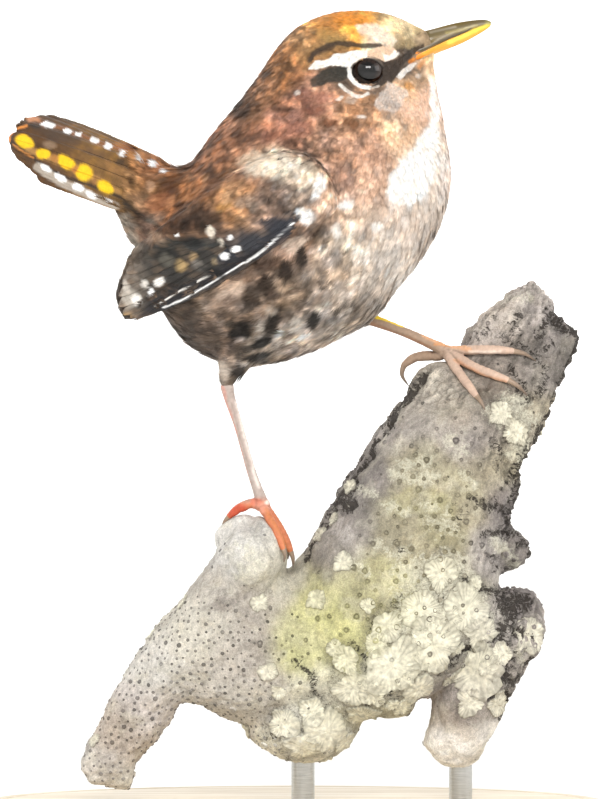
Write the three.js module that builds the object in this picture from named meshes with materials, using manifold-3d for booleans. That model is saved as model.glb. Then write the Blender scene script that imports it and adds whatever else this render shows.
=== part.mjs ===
// Wren (Troglodytes troglodytes), life size, standing astride a short cut length of a broken, forked branch on a plain
// display stand. Millimetres, +Z up, the bird facing +X, its right side towards -Y. The origin is the middle of the
// stand's underside.
//
// The side profile is drawn on a grid whose unit is GRID mm: x to the right, y down, as on squared paper. The functions
// gx and gz turn grid units into millimetres. Widths across the bird (along Y) are given in the same grid units for the
// body and in millimetres for legs, toes and wood.
import * as THREE from 'three';
import { mergeVertices } from 'three/addons/utils/BufferGeometryUtils.js';
import Module from 'manifold-3d';

const wasm = await Module();
wasm.setup();

// ---------------------------------------------------------------- driving dimensions
const GRID = 1 / 5.8;          // mm for one grid unit
const GRID_X0 = 295;           // grid x that lies over the origin
const GRID_Y0 = 793;           // grid y of the lowest point of the wood
const WOOD_LIFT = 6.5;         // height of that lowest point above the floor, mm
const GAP = 0.3;               // clearance between neighbouring pieces, mm
const SECTION_POWER = 2.15;    // superellipse power of the body's cross sections
const EYE_R = 3.25;            // eyeball radius, mm
const EYE_AT = [367, 72];      // eye centre on the grid
const EYE_Y = 4.7;             // eye centre from the midline, mm
const LID_R = 2.65, LID_FLARE = 0.55; // radius of the opening between the lids, and how much wider it is at the skin, mm
const WING_PROUD = 0.9;        // how far the folded wing stands out from the flank, mm
const WING_THICK = 2.6;        // folded wing thickness over the forearm, mm
const WING_TIP_THICK = 1.3;    // thickness of the stacked primaries at the tip, mm
const TAIL_THICK = 1.7;        // closed tail, mm
const BASE_RX = 54, BASE_RY = 33, BASE_H = 5, BASE_CHAMFER = 0.8;
const ROD_R = 2, ROD_SINK = 3; // stand rods, mm

const gx = (x) => (x - GRID_X0) * GRID;
const gz = (y) => (GRID_Y0 - y) * GRID + WOOD_LIFT;
const at = (x, y, across = 0) => new THREE.Vector3(gx(x), across, gz(y));

// ---------------------------------------------------------------- solids
function toSolid(geometry) {
  const g = geometry.clone();
  g.deleteAttribute('normal');
  g.deleteAttribute('uv');
  const m = mergeVertices(g, 1e-4);
  return new wasm.Manifold(new wasm.Mesh({
    numProp: 3,
    vertProperties: new Float32Array(m.attributes.position.array),
    triVerts: new Uint32Array(m.index.array),
  }));
}

function toGeometry(solid) {
  const m = solid.getMesh(), n = m.numProp;
  const v = new Float32Array(m.numVert * 3);
  for (let i = 0; i < m.numVert; i++) for (let k = 0; k < 3; k++) v[i * 3 + k] = m.vertProperties[i * n + k];
  const g = new THREE.BufferGeometry();
  g.setAttribute('position', new THREE.BufferAttribute(v, 3));
  g.setIndex(new THREE.BufferAttribute(new Uint32Array(m.triVerts), 1));
  g.computeVertexNormals();
  return g;
}

// The largest body of a solid, without the slivers that a cut leaves.
const main = (solid) => solid.decompose().sort((a, b) => b.volume() - a.volume())[0];

// A closed skin over rings of equal count, with a fan at each end, facing out.
function ringSkin(rings) {
  const n = rings[0].length, position = [], index = [];
  for (const ring of rings) for (const p of ring) position.push(p.x, p.y, p.z);
  for (let i = 0; i + 1 < rings.length; i++) {
    for (let j = 0; j < n; j++) {
      const a = i * n + j, b = i * n + (j + 1) % n;
      index.push(a, b, b + n, a, b + n, a + n);
    }
  }
  for (const [r, flip] of [[0, true], [rings.length - 1, false]]) {
    const c = rings[r].reduce((s, p) => s.add(p), new THREE.Vector3()).divideScalar(n);
    position.push(c.x, c.y, c.z);
    const m = position.length / 3 - 1;
    for (let j = 0; j < n; j++) {
      const a = r * n + j, b = r * n + (j + 1) % n;
      index.push(...(flip ? [m, b, a] : [m, a, b]));
    }
  }
  let volume = 0;
  const p = (i) => new THREE.Vector3(...position.slice(i * 3, i * 3 + 3));
  for (let i = 0; i < index.length; i += 3) volume += p(index[i]).dot(p(index[i + 1]).cross(p(index[i + 2])));
  if (volume < 0) for (let i = 0; i < index.length; i += 3) [index[i + 1], index[i + 2]] = [index[i + 2], index[i + 1]];
  const g = new THREE.BufferGeometry();
  g.setAttribute('position', new THREE.Float32BufferAttribute(position, 3));
  g.setIndex(index);
  return g;
}

const curve = (points) => new THREE.CatmullRomCurve3(points, false, 'centripetal');
const power = (c, e) => Math.sign(c) * Math.abs(c) ** e;

// Stations are [dorsal x, dorsal y, ventral x, ventral y, half width], all on the grid.
function stationCurves(stations) {
  const dorsal = curve(stations.map((s) => at(s[0], s[1])));
  const ventral = curve(stations.map((s) => at(s[2], s[3])));
  const width = curve(stations.map((s, i) => new THREE.Vector3(i, s[4] * GRID, 0)));
  return (t) => ({ d: dorsal.getPoint(t), v: ventral.getPoint(t), w: Math.max(width.getPoint(t).y, 0.2) });
}

function profileLoft(stations, steps, around, grow = 0) {
  const section = stationCurves(stations), rings = [];
  for (let i = 0; i <= steps; i++) {
    const { d, v, w } = section(i / steps), half = d.clone().sub(v).multiplyScalar(0.5), mid = d.clone().add(v).multiplyScalar(0.5);
    half.setLength(half.length() + grow);
    rings.push(Array.from({ length: around }, (_, j) => {
      const a = (j / around) * 2 * Math.PI, e = 2 / SECTION_POWER;
      const p = mid.clone().addScaledVector(half, power(Math.cos(a), e));
      p.y += (w + grow) * power(Math.sin(a), e);
      return p;
    }));
  }
  return ringSkin(rings);
}

// A tapering, bending limb: knots are [x, y on the grid, across mm, half height mm, half depth mm].
function limb(knots, steps, around, grow = 0, rough = 0) {
  const line = curve(knots.map((k) => at(k[0], k[1], k[2])));
  const size = curve(knots.map((k, i) => new THREE.Vector3(i, k[3], k[4] ?? k[3])));
  const rings = [];
  for (let i = 0; i <= steps; i++) {
    const t = i / steps, c = line.getPoint(t), s = size.getPoint(t), dir = line.getTangent(t);
    const side = new THREE.Vector3(0, 1, 0).addScaledVector(dir, -dir.y).normalize();
    const up = new THREE.Vector3().crossVectors(side, dir).normalize();
    rings.push(Array.from({ length: around }, (_, j) => {
      const a = (j / around) * 2 * Math.PI;
      const r = 1 + rough * (0.6 * Math.sin(3 * a + 5 * t * knots.length) + 0.4 * Math.sin(5 * a - 3.1 * t * knots.length));
      return c.clone().addScaledVector(up, Math.max(s.y + grow, 0.08) * Math.cos(a) * r)
        .addScaledVector(side, Math.max(s.z + grow, 0.08) * Math.sin(a) * r);
    }));
  }
  return ringSkin(rings);
}

// An ellipsoid: centre on the grid and across, radii in mm.
function ball([x, y, across], [rx, ry, rz], grow = 0, columns = 18, rows = 12) {
  const g = new THREE.SphereGeometry(1, columns, rows);
  g.rotateX(Math.PI / 2);
  g.scale(rx + grow, ry + grow, rz + grow);
  const c = at(x, y, across);
  return g.translate(c.x, c.y, c.z);
}

const join = (...geometries) => geometries.map(toSolid).reduce((a, b) => a.add(b));

// A block that fills the half space to the left of the way from a to b, as seen from the bird's right side.
function sideOf(a, b, offset = 0) {
  const p = at(...a), dir = at(...b).sub(p).normalize(), out = new THREE.Vector3(-dir.z, 0, dir.x);
  const g = new THREE.BoxGeometry(400, 400, 400).translate(0, 0, 200 + offset);
  return toSolid(g.applyMatrix4(new THREE.Matrix4().makeBasis(dir, new THREE.Vector3(0, 1, 0), out).setPosition(p)));
}

// ---------------------------------------------------------------- the bird's profile
const HEAD = [
  [430.5, 31, 437, 51.5, 9],
  [423, 27, 436, 62, 16.5],
  [410, 20.5, 432, 76, 25],
  [396, 14, 421, 92, 32.5],
  [377, 9.5, 405, 110, 39],
  [355, 8, 385, 124, 44],
  [331, 11, 362, 133, 48.5],
  [309, 18.5, 338, 139, 50],
  [289, 31, 315, 139, 47],
  [271, 50, 292, 135, 38],
  [258, 70, 272, 126, 24],
  [252, 88, 258, 110, 8],
];
const BODY = [
  [352, 40, 424, 62, 9],
  [325, 22, 437, 72, 25],
  [298, 27, 441, 98, 40],
  [277, 44, 447, 121, 53],
  [261, 65, 452, 146, 65],
  [246, 86, 455, 172, 76],
  [230, 107, 452, 201, 87],
  [213, 128, 442, 231, 96],
  [198, 149, 424, 260, 103],
  [184, 170, 401, 289, 107],
  [172, 190, 375, 318, 107],
  [161, 210, 338, 342, 102],
  [152, 230, 296, 360, 92],
  [146, 250, 251, 368, 76],
  [144, 270, 211, 361, 56],
  [148, 288, 181, 342, 34],
  [156, 302, 167, 322, 12],
];
const RUMP = [
  [238, 140, 232, 290, 62],
  [208, 150, 178, 284, 56],
  [187, 162, 149, 262, 46],
  [171, 163, 133, 240, 35],
  [155, 170, 118, 220, 24],
  [140, 182, 105, 205, 12],
];

// Half the body's width at a place of the side view, in mm; 0 outside the profile.
const bodySection = stationCurves(BODY);
function halfWidth(p) {
  let best = 0;
  for (let i = 0; i <= 120; i++) {
    const { d, v, w } = bodySection(i / 120), half = d.clone().sub(v).multiplyScalar(0.5), mid = d.clone().add(v).multiplyScalar(0.5);
    const r = p.clone().sub(mid), c = r.dot(half) / half.lengthSq(), off = Math.hypot(r.x - half.x * c, r.z - half.z * c);
    if (Math.abs(c) < 1 && off < 0.8) best = Math.max(best, w * (1 - Math.abs(c) ** SECTION_POWER) ** (1 / SECTION_POWER));
  }
  return best;
}

// ---------------------------------------------------------------- folded wing
// Stations from the wrist to the tip: [upper x, upper y, lower x, lower y, least distance from the midline mm].
const WING = [
  [330, 178, 336, 207, 13.2],
  [314, 159, 322, 219, 14.2],
  [286, 151, 300, 234, 14.8],
  [254, 161, 272, 248, 14.8],
  [222, 181, 240, 264, 14.3],
  [192, 202, 210, 281, 13.2],
  [166, 223, 184, 296, 11.8],
  [142, 247, 160, 309, 10.2],
  [125, 272, 141, 318, 8.9],
  [117, 297, 126, 319, 8.2],
];
function wing(side, grow = 0) {
  const upper = curve(WING.map((s) => at(s[0], s[1]))), lower = curve(WING.map((s) => at(s[2], s[3])));
  const least = curve(WING.map((s, i) => new THREE.Vector3(i, s[4], 0)));
  const steps = 12, across = 6, rings = [];
  for (let i = 0; i <= steps; i++) {
    const t = i / steps, u = upper.getPoint(t), l = lower.getPoint(t), floor = least.getPoint(t).y;
    const chord = l.clone().sub(u), len = chord.length(), dir = chord.clone().normalize();
    const along = upper.getTangent(t).multiplyScalar(i === 0 ? -grow : i === steps ? grow : 0);
    const thick = THREE.MathUtils.lerp(WING_THICK, WING_TIP_THICK, t), outer = [], inner = [];
    for (let j = 0; j <= across; j++) {
      const v = j / across, p = u.clone().addScaledVector(dir, -grow + v * (len + 2 * grow)).add(along);
      const w = halfWidth(u.clone().addScaledVector(dir, v * len)), y = (w ** 6 + floor ** 6) ** (1 / 6) + WING_PROUD - 0.9 * (2 * v - 1) ** 4;
      const edge = 0.35 + 0.65 * Math.sqrt(Math.max(0, 1 - (2 * v - 1) ** 4));
      outer.push(new THREE.Vector3(p.x, side * (y + grow), p.z));
      inner.push(new THREE.Vector3(p.x, side * (y - thick * edge - grow), p.z));
    }
    rings.push([...outer, ...inner.reverse()]);
  }
  return ringSkin(rings);
}

// ---------------------------------------------------------------- cocked tail, turned so that its upper side shows
// Stations from root to tip: [upper x, upper y, lower x, lower y, upper edge across mm, lower edge across mm].
const TAIL = [
  [190, 178, 158, 226, 2.6, -3.6],
  [160, 157, 127, 214, 3.4, -4.8],
  [118, 141, 92, 196, 3.9, -5.4],
  [82, 129, 58, 178, 4.0, -5.2],
  [52, 120, 32, 163, 3.6, -4.2],
  [34, 117, 16, 153, 2.8, -2.8],
  [24, 122, 10, 143, 1.4, -1.2],
];
function tail(grow = 0) {
  const upper = curve(TAIL.map((s) => at(s[0], s[1], s[4]))), lower = curve(TAIL.map((s) => at(s[2], s[3], s[5])));
  const steps = 10, across = 6, rings = [];
  for (let i = 0; i <= steps; i++) {
    const t = i / steps, u = upper.getPoint(t), l = lower.getPoint(t), chord = l.clone().sub(u), len = chord.length(), dir = chord.clone().normalize();
    const axis = upper.getTangent(t).add(lower.getTangent(t)).normalize(), up = new THREE.Vector3().crossVectors(axis, dir).normalize();
    const along = axis.clone().multiplyScalar(i === 0 ? -grow : i === steps ? grow : 0), outer = [], inner = [];
    for (let j = 0; j <= across; j++) {
      const v = j / across, c = (2 * v - 1) ** 2, edge = 0.45 + 0.55 * Math.sqrt(1 - c * c);
      const p = u.clone().addScaledVector(dir, -grow + v * (len + 2 * grow)).add(along).addScaledVector(up, 0.9 * (1 - c));
      outer.push(p.clone().addScaledVector(up, TAIL_THICK / 2 * edge + grow));
      inner.push(p.clone().addScaledVector(up, -TAIL_THICK / 2 * edge - grow));
    }
    rings.push([...outer, ...inner.reverse()]);
  }
  return ringSkin(rings);
}

// ---------------------------------------------------------------- bill
// Stations from face to tip: [ridge x, ridge y, cutting edge x, cutting edge y, lower edge x, lower edge y, half width mm].
const BILL = [
  [414, 36, 409, 60, 414, 66, 2.0],
  [430, 30.5, 429, 50.5, 436, 54, 1.75],
  [445, 26, 445, 42.5, 450, 48.5, 1.35],
  [460, 22.6, 460, 36, 464, 42.5, 1.0],
  [474, 20.6, 474, 30, 477, 35.5, 0.72],
  [485, 20.2, 485, 26, 486.5, 29.5, 0.5],
  [491, 22, 491, 24, 490.5, 26.3, 0.26],
];
const MOUTH = 0.9; // half the gap between the two halves of the bill, on the grid
function bill(upper, grow = 0) {
  return profileLoft(BILL.map((s) => (upper
    ? [s[0], s[1], s[2], s[3] - MOUTH, s[6] / GRID]
    : [s[2], s[3] + MOUTH, s[4], s[5], 0.9 * s[6] / GRID])), 9, 10, grow);
}

// ---------------------------------------------------------------- legs and feet
// Knots: [x, y on the grid, across mm, radius mm]. side is -1 for the right leg, 1 for the left.
const THIGH = {
  '-1': [[278, 300, -9.8, 4.3], [256, 330, -9.6, 4.2], [239, 353, -8.8, 3.5], [230, 371, -7.8, 2.5], [227, 384, -7.1, 1.8], [227, 391, -6.9, 1.2]],
  '1': [[314, 282, 11.2, 4.4], [332, 299, 10.6, 4.2], [349, 311, 9.4, 3.3], [363, 319, 8.0, 2.3], [373, 322, 7.1, 1.6], [379, 324, 6.7, 1.1]],
};
const TARSUS = {
  '-1': [[227, 383, -7.1, 1.05], [229, 393, -6.9, 1.0], [239, 425, -6.5, 0.78], [251, 468, -6.2, 0.78], [257, 486, -6.1, 0.86], [260.5, 496, -6.0, 1.0]],
  '1': [[363, 317, 7.7, 1.05], [376, 322, 6.9, 1.0], [400, 331, 6.3, 0.84], [420, 339.5, 5.8, 0.86], [432, 345, 5.4, 0.92], [440, 348.5, 5.2, 1.0]],
};
const TOES = {
  '-1': [
    [[262, 503, -6.0, 1.0], [252, 502, -6.2, 0.88], [243, 505, -6.4, 0.86], [236, 509, -6.5, 0.76], [230, 514, -6.5, 0.54], [225, 520, -6.5, 0.34], [222, 528, -6.5, 0.12]],
    [[262, 503, -6.0, 1.05], [271, 514, -6.0, 0.84], [279, 526, -6.0, 0.8], [286, 539, -6.0, 0.74], [290, 548, -6.0, 0.56], [293, 557, -6.0, 0.36], [293, 566, -6.0, 0.12]],
    [[262, 503, -6.0, 1.0], [268, 514, -7.7, 0.8], [275, 526, -9.2, 0.76], [280, 537, -10.2, 0.68], [283, 545, -10.7, 0.5], [285, 552, -11.0, 0.32], [284, 559, -11.0, 0.12]],
    [[262, 503, -6.0, 1.0], [269, 514, -4.4, 0.8], [276, 526, -3.0, 0.76], [282, 537, -2.2, 0.68], [286, 545, -1.8, 0.5], [288, 552, -1.6, 0.32], [288, 559, -1.5, 0.12]],
  ],
  '1': [
    [[447, 353, 5.2, 1.0], [437, 357, 5.9, 0.92], [425, 357, 6.4, 0.88], [413, 360, 6.8, 0.8], [405, 366, 6.9, 0.6], [402.5, 376, 6.9, 0.38], [409, 387, 6.6, 0.12]],
    [[447, 353, 5.2, 1.05], [462, 351, 3.4, 0.86], [480, 350, 1.1, 0.82], [498, 350, 0.4, 0.76], [512, 351, 0.3, 0.56], [525, 354, 0.3, 0.36], [536, 361, 0.2, 0.12]],
    [[447, 353, 5.2, 1.0], [458, 358, 2.6, 0.88], [474, 367, -0.7, 0.82], [492, 374, -2.5, 0.78], [506, 379, -3.2, 0.58], [518, 386, -3.6, 0.38], [527, 395, -4.0, 0.12]],
    [[447, 353, 5.2, 1.0], [451, 361, 2.2, 0.86], [460, 374, -1.0, 0.8], [469, 386, -4.1, 0.74], [475, 394, -5.6, 0.54], [481, 402, -6.6, 0.34], [485, 412, -7.2, 0.12]],
  ],
};
const foot = (side, grow = 0) => TOES[side].map((k) => toSolid(limb(k, 6, 6, grow))).reduce((a, b) => a.add(b))
  .add(toSolid(ball(TOES[side][0][0].slice(0, 3), [1.5, 1.4, 1.3], grow, 8, 6)));

// ---------------------------------------------------------------- branch
// Stations: [one edge x, y, other edge x, y, half depth mm, middle across mm].
const WOOD_UP = [
  [352, 722, 410, 714, 6, 0], [300, 706, 432, 694, 11, 0], [262, 668, 478, 664, 13, 0], [262, 622, 506, 618, 13.8, 0], [287, 574, 500, 580, 13.6, 0.4],
  [322, 515, 510, 535, 13, 1], [354, 458, 523, 490, 12.2, 1.8], [384, 418, 538, 446, 11.4, 2.8], [413, 392, 551, 416, 10.2, 4.2],
  [444, 372, 563, 388, 8.4, 6.2], [458, 352, 574, 362, 7.4, 7.8], [466, 331, 581, 338, 7, 8.6], [484, 307, 566, 316, 6.2, 9], [505, 292, 551, 299, 4.2, 9.3], [521, 284, 539, 288, 1.6, 9.5],
];
const WOOD_DOWN = [
  [345, 585, 350, 706, 9, -0.5], [294, 574, 300, 724, 11.4, -1], [262, 548, 250, 724, 11.2, -1.8], [232, 545, 216, 714, 10.6, -2.6], [205, 562, 196, 704, 9.6, -3],
  [170, 608, 184, 702, 8.4, -3], [138, 650, 171, 720, 7, -3], [113, 690, 155, 742, 6.1, -3], [96, 725, 141, 762, 5.4, -3], [81, 754, 134, 781, 4.6, -3], [80, 772, 128, 790, 3, -3],
];
const WOOD_STUB = [[462, 626, 528, 632, 9, 1], [444, 664, 524, 672, 9, 1], [434, 696, 511, 702, 8.2, 1], [427, 722, 500, 730, 7.2, 1], [423, 744, 485, 755, 5.8, 1], [440, 764, 467, 770, 2.6, 1]];
const KNOBS = [
  [[248, 556, -5.6], [6.9, 9.6, 7.6]],    // under the right foot
  [[302, 716, -0.5], [10.4, 10, 8.2]],    // swelling below the fork
  [[512, 552, 2], [3.6, 6, 2.8]],
  [[503, 634, 1.5], [7.6, 9, 8]],
  [[444, 397, 4.4], [6.4, 6.4, 6.1]],     // lip under the left foot
];
function woodLoft(stations, steps, around, rough = 0.05) {
  const one = curve(stations.map((s) => at(s[0], s[1], s[5]))), other = curve(stations.map((s) => at(s[2], s[3], s[5])));
  const deep = curve(stations.map((s, i) => new THREE.Vector3(i, s[4], 0))), rings = [];
  for (let i = 0; i <= steps; i++) {
    const t = i / steps, a = one.getPoint(t), b = other.getPoint(t), mid = a.clone().add(b).multiplyScalar(0.5), half = a.sub(b).multiplyScalar(0.5);
    rings.push(Array.from({ length: around }, (_, j) => {
      const u = (j / around) * 2 * Math.PI, lump = 1 + rough * (Math.sin(3 * u + 11 * t) + 0.7 * Math.sin(5 * u - 17 * t));
      const p = mid.clone().addScaledVector(half, power(Math.cos(u), 0.9));
      p.y += deep.getPoint(t).y * power(Math.sin(u), 0.85) * lump;
      return p;
    }));
  }
  return ringSkin(rings);
}
function branch() {
  const made = join(woodLoft(WOOD_UP, 14, 14), woodLoft(WOOD_DOWN, 11, 12), woodLoft(WOOD_STUB, 6, 10));
  return KNOBS.reduce((s, [c, r]) => s.add(toSolid(ball(c, r, 0, 10, 7))), made);
}

// ---------------------------------------------------------------- stand
const RODS = [[303, 0], [461, 1]];
const ROD_TOP = 748; // grid height that the rods reach inside the wood
function rod([x, y], grow = 0) {
  const low = BASE_H - ROD_SINK - grow, high = gz(ROD_TOP) + grow;
  const g = new THREE.CylinderGeometry(ROD_R + grow, ROD_R + grow, high - low, 16);
  return g.rotateX(Math.PI / 2).translate(gx(x), y, (high + low) / 2);
}
function base() {
  const c = BASE_CHAMFER, profile = [[0, 0], [BASE_RX - c, 0], [BASE_RX, c], [BASE_RX, BASE_H - c], [BASE_RX - c, BASE_H], [0, BASE_H]];
  const g = new THREE.LatheGeometry(profile.map(([r, z]) => new THREE.Vector2(r, z)), 36).rotateX(Math.PI / 2);
  return RODS.reduce((s, r) => s.subtract(toSolid(rod(r, GAP))), toSolid(g.scale(1, BASE_RY / BASE_RX, 1)));
}

// ---------------------------------------------------------------- assembly
const SIDES = [['right', -1], ['left', 1]];
const eye = (side, grow = 0) => ball([...EYE_AT, side * EYE_Y], [EYE_R, EYE_R, EYE_R], grow, 12, 9);
function socket(side) {
  const rim = EYE_Y + Math.sqrt(EYE_R ** 2 - LID_R ** 2), deep = 3, c = at(...EYE_AT, side * (rim - 0.4 + deep / 2));
  const g = new THREE.CylinderGeometry(LID_R + LID_FLARE * deep, LID_R, deep, 14);
  return (side < 0 ? g.rotateX(Math.PI) : g).translate(c.x, c.y, c.z);
}

let flesh = join(profileLoft(HEAD, 13, 20), profileLoft(BODY, 18, 24), profileLoft(RUMP, 6, 12));
for (const [, side] of SIDES) flesh = flesh.subtract(toSolid(eye(side, GAP))).subtract(toSolid(socket(side))).subtract(toSolid(wing(side, GAP)));
flesh = flesh.subtract(toSolid(tail(GAP))).subtract(toSolid(bill(true, GAP))).subtract(toSolid(bill(false, GAP)));

// Parting lines on the side view, each from the back to the breast.
const HEAD_LINE = [[236, 96], [470, 92]], NECK_LINE = [[190, 148], [480, 158]], RUMP_LINE = [[196, 120], [138, 300]];
const before = (line) => sideOf(line[0], line[1], GAP / 2), after = (line) => sideOf(line[1], line[0], GAP / 2);

const COLOURS = {
  crown: ['#8a5a2b', 0.85], cheek: ['#8f6648', 0.85], flank: ['#a58c74', 0.85], rump: ['#7a4a2a', 0.85],
  wing: ['#4a3a2e', 0.8], tail: ['#7c5730', 0.8], eye: ['#0c0a09', 0.05], maxilla: ['#6f6a5a', 0.45],
  mandible: ['#e0a126', 0.45], leg: ['#c08562', 0.6], wood: ['#8d897c', 0.95], base: ['#dcd5c8', 0.5], rod: ['#9a9a98', 0.35],
};
const group = new THREE.Group();
function node(name, solid, finish, metalness = 0) {
  const [color, roughness] = COLOURS[finish];
  const mesh = new THREE.Mesh(toGeometry(solid), new THREE.MeshStandardMaterial({ color, roughness, metalness }));
  mesh.name = name;
  group.add(mesh);
}

node('head', main(flesh.intersect(before(HEAD_LINE))), 'crown');
node('neck', main(flesh.intersect(after(HEAD_LINE)).intersect(before(NECK_LINE))), 'cheek');
node('trunk', main(flesh.intersect(after(NECK_LINE)).intersect(before(RUMP_LINE))), 'flank');
node('rump', main(flesh.intersect(after(NECK_LINE)).intersect(after(RUMP_LINE))), 'rump');
node('tail', toSolid(tail()), 'tail');
node('bill_upper', toSolid(bill(true)), 'maxilla');
node('bill_lower', toSolid(bill(false)), 'mandible');

let perch = branch();
for (const [name, side] of SIDES) {
  node(`eye_${name}`, toSolid(eye(side)), 'eye');
  node(`wing_${name}`, toSolid(wing(side)), 'wing');
  const cutBody = toSolid(profileLoft(BODY, 18, 24, GAP)), cutWing = toSolid(wing(side, GAP));
  node(`thigh_${name}`, main(toSolid(limb(THIGH[side], 7, 12)).subtract(cutBody).subtract(cutWing)), 'flank');
  const shank = main(toSolid(limb(TARSUS[side], 8, 8)).subtract(toSolid(limb(THIGH[side], 7, 12, GAP))).subtract(cutBody));
  node(`leg_${name}`, shank, 'leg');
  node(`foot_${name}`, main(foot(side).subtract(toSolid(limb(TARSUS[side], 8, 8, GAP)))), 'leg');
  perch = perch.subtract(foot(side, GAP));
}
for (const r of RODS) perch = perch.subtract(toSolid(rod(r, GAP)));
node('perch', main(perch), 'wood');

node('stand_base', base(), 'base');
RODS.forEach((r, i) => node(`stand_rod_${i + 1}`, toSolid(rod(r)), 'rod', 0.9));

export default group;
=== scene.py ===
"""Looks of a life-size wren on a cut length of broken, lichened wood, on a plain display stand.

Shapes are made in millimetres and turned into metres when a mesh is created. The side profile lies on a grid of
1/5.8 mm: x to the right, y down, as on squared paper, the same grid that the solids are drawn on.
"""
import math
import bpy
import numpy as np
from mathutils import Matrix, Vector
from mathutils.bvhtree import BVHTree


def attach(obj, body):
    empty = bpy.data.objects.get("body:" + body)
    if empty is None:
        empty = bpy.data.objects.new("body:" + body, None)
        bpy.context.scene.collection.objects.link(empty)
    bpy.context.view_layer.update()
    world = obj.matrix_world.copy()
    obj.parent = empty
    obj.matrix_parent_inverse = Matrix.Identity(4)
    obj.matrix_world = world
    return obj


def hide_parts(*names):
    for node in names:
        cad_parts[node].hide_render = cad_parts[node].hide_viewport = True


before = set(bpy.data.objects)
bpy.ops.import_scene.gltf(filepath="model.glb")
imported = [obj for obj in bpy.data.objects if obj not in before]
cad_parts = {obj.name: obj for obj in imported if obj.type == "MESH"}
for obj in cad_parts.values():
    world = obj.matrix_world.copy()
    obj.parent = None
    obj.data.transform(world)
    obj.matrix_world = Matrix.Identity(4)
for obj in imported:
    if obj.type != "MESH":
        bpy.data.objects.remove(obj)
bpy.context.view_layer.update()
MM = 0.001
GRID = 1 / 5.8


# ------------------------------------------------------------------ small tools
def gx(x):
    return (np.asarray(x, float) - 295) * GRID


def gz(y):
    return (793 - np.asarray(y, float)) * GRID + 6.5


def at(x, y, across=0.0):
    x, y, across = np.broadcast_arrays(np.asarray(x, float), np.asarray(y, float), np.asarray(across, float))
    return np.stack([gx(x), across, gz(y)], -1)


def grid_of(p):
    return p[..., 0] * 5.8 + 295, 793 - (p[..., 2] - 6.5) * 5.8


def unit(v):
    return v / np.maximum(np.linalg.norm(v, axis=-1, keepdims=True), 1e-9)


def smooth(a, b, x):
    t = np.clip((x - a) / (b - a), 0, 1)
    return t * t * (3 - 2 * t)


def lin(code):
    c = np.array([int(code[i:i + 2], 16) / 255 for i in (1, 3, 5)])
    return np.where(c <= 0.04045, c / 12.92, ((c + 0.055) / 1.055) ** 2.4)


def cells(ix, iy, iz, seed):
    n = (ix * 374761393 + iy * 668265263 + iz * 1440662683 + seed * 974634777) & 0xFFFFFFFF
    n = ((n ^ (n >> 13)) * 1274126177) & 0xFFFFFFFF
    n = ((n ^ (n >> 16)) * 2246822519) & 0xFFFFFFFF
    return ((n ^ (n >> 15)) & 0xFFFFFF) / float(0xFFFFFF)


def noise(p, scale=1.0, seed=0):
    """Smooth value noise from -1 to 1 at points p, with cells of 1/scale."""
    q = np.asarray(p, float) * scale
    i = np.floor(q).astype(np.int64)
    f = q - i
    f = f * f * (3 - 2 * f)
    out = 0
    for a in (0, 1):
        for b in (0, 1):
            for c in (0, 1):
                w = (f[..., 0] if a else 1 - f[..., 0]) * (f[..., 1] if b else 1 - f[..., 1]) * (f[..., 2] if c else 1 - f[..., 2])
                out = out + w * cells(i[..., 0] + a, i[..., 1] + b, i[..., 2] + c, seed)
    return out * 2 - 1


def fbm(p, scale=1.0, seed=0, octaves=3, gain=0.5):
    total, amp, out = 0.0, 1.0, 0
    for k in range(octaves):
        out = out + amp * noise(p, scale * 2.03 ** k, seed + 17 * k)
        total += amp
        amp *= gain
    return out / total


class Curve:
    """Centripetal Catmull-Rom curve through points, evaluated with an even share of t for each span."""

    def __init__(self, pts):
        self.p = np.array(pts, float)

    def at(self, t):
        P, n = self.p, len(self.p)
        t = np.clip(np.atleast_1d(np.asarray(t, float)), 0, 1) * (n - 1)
        i = np.clip(np.floor(t).astype(int), 0, n - 2)
        w = (t - i)[:, None]
        p1, p2 = P[i], P[i + 1]
        p0 = np.where((i > 0)[:, None], P[np.maximum(i - 1, 0)], 2 * P[0] - P[1])
        p3 = np.where((i + 2 < n)[:, None], P[np.minimum(i + 2, n - 1)], 2 * P[-1] - P[-2])
        d0 = (((p1 - p0) ** 2).sum(1) ** 0.25)[:, None]
        d1 = (((p2 - p1) ** 2).sum(1) ** 0.25)[:, None]
        d2 = (((p3 - p2) ** 2).sum(1) ** 0.25)[:, None]
        d1 = np.where(d1 < 1e-4, 1, d1)
        d0 = np.where(d0 < 1e-4, d1, d0)
        d2 = np.where(d2 < 1e-4, d1, d2)
        t1 = ((p1 - p0) / d0 - (p2 - p0) / (d0 + d1) + (p2 - p1) / d1) * d1
        t2 = ((p2 - p1) / d1 - (p3 - p1) / (d1 + d2) + (p3 - p2) / d2) * d1
        return p1 + t1 * w + (-3 * p1 + 3 * p2 - 2 * t1 - t2) * w ** 2 + (2 * p1 - 2 * p2 + t1 + t2) * w ** 3

    def tangent(self, t, step=1e-3):
        t = np.atleast_1d(np.asarray(t, float))
        return unit(self.at(np.clip(t + step, 0, 1)) - self.at(np.clip(t - step, 0, 1)))


def power(c, e):
    return np.sign(c) * np.abs(c) ** e


def ring_faces(rings, around, first=0, caps=True):
    """Quads between rings of equal count, and a fan at each end to two centre points that follow the rings."""
    i, j = np.meshgrid(np.arange(rings - 1), np.arange(around), indexing="ij")
    a, b = i * around + j, i * around + (j + 1) % around
    quads = np.stack([a, b, b + around, a + around], -1).reshape(-1, 4) + first
    if not caps:
        return [quads]
    j = np.arange(around)
    k = (j + 1) % around
    lo, hi = rings * around, rings * around + 1
    last = (rings - 1) * around
    tris = np.concatenate([np.stack([np.full(around, lo), k, j], -1), np.stack([np.full(around, hi), last + j, last + k], -1)])
    return [quads, tris + first]


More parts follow.
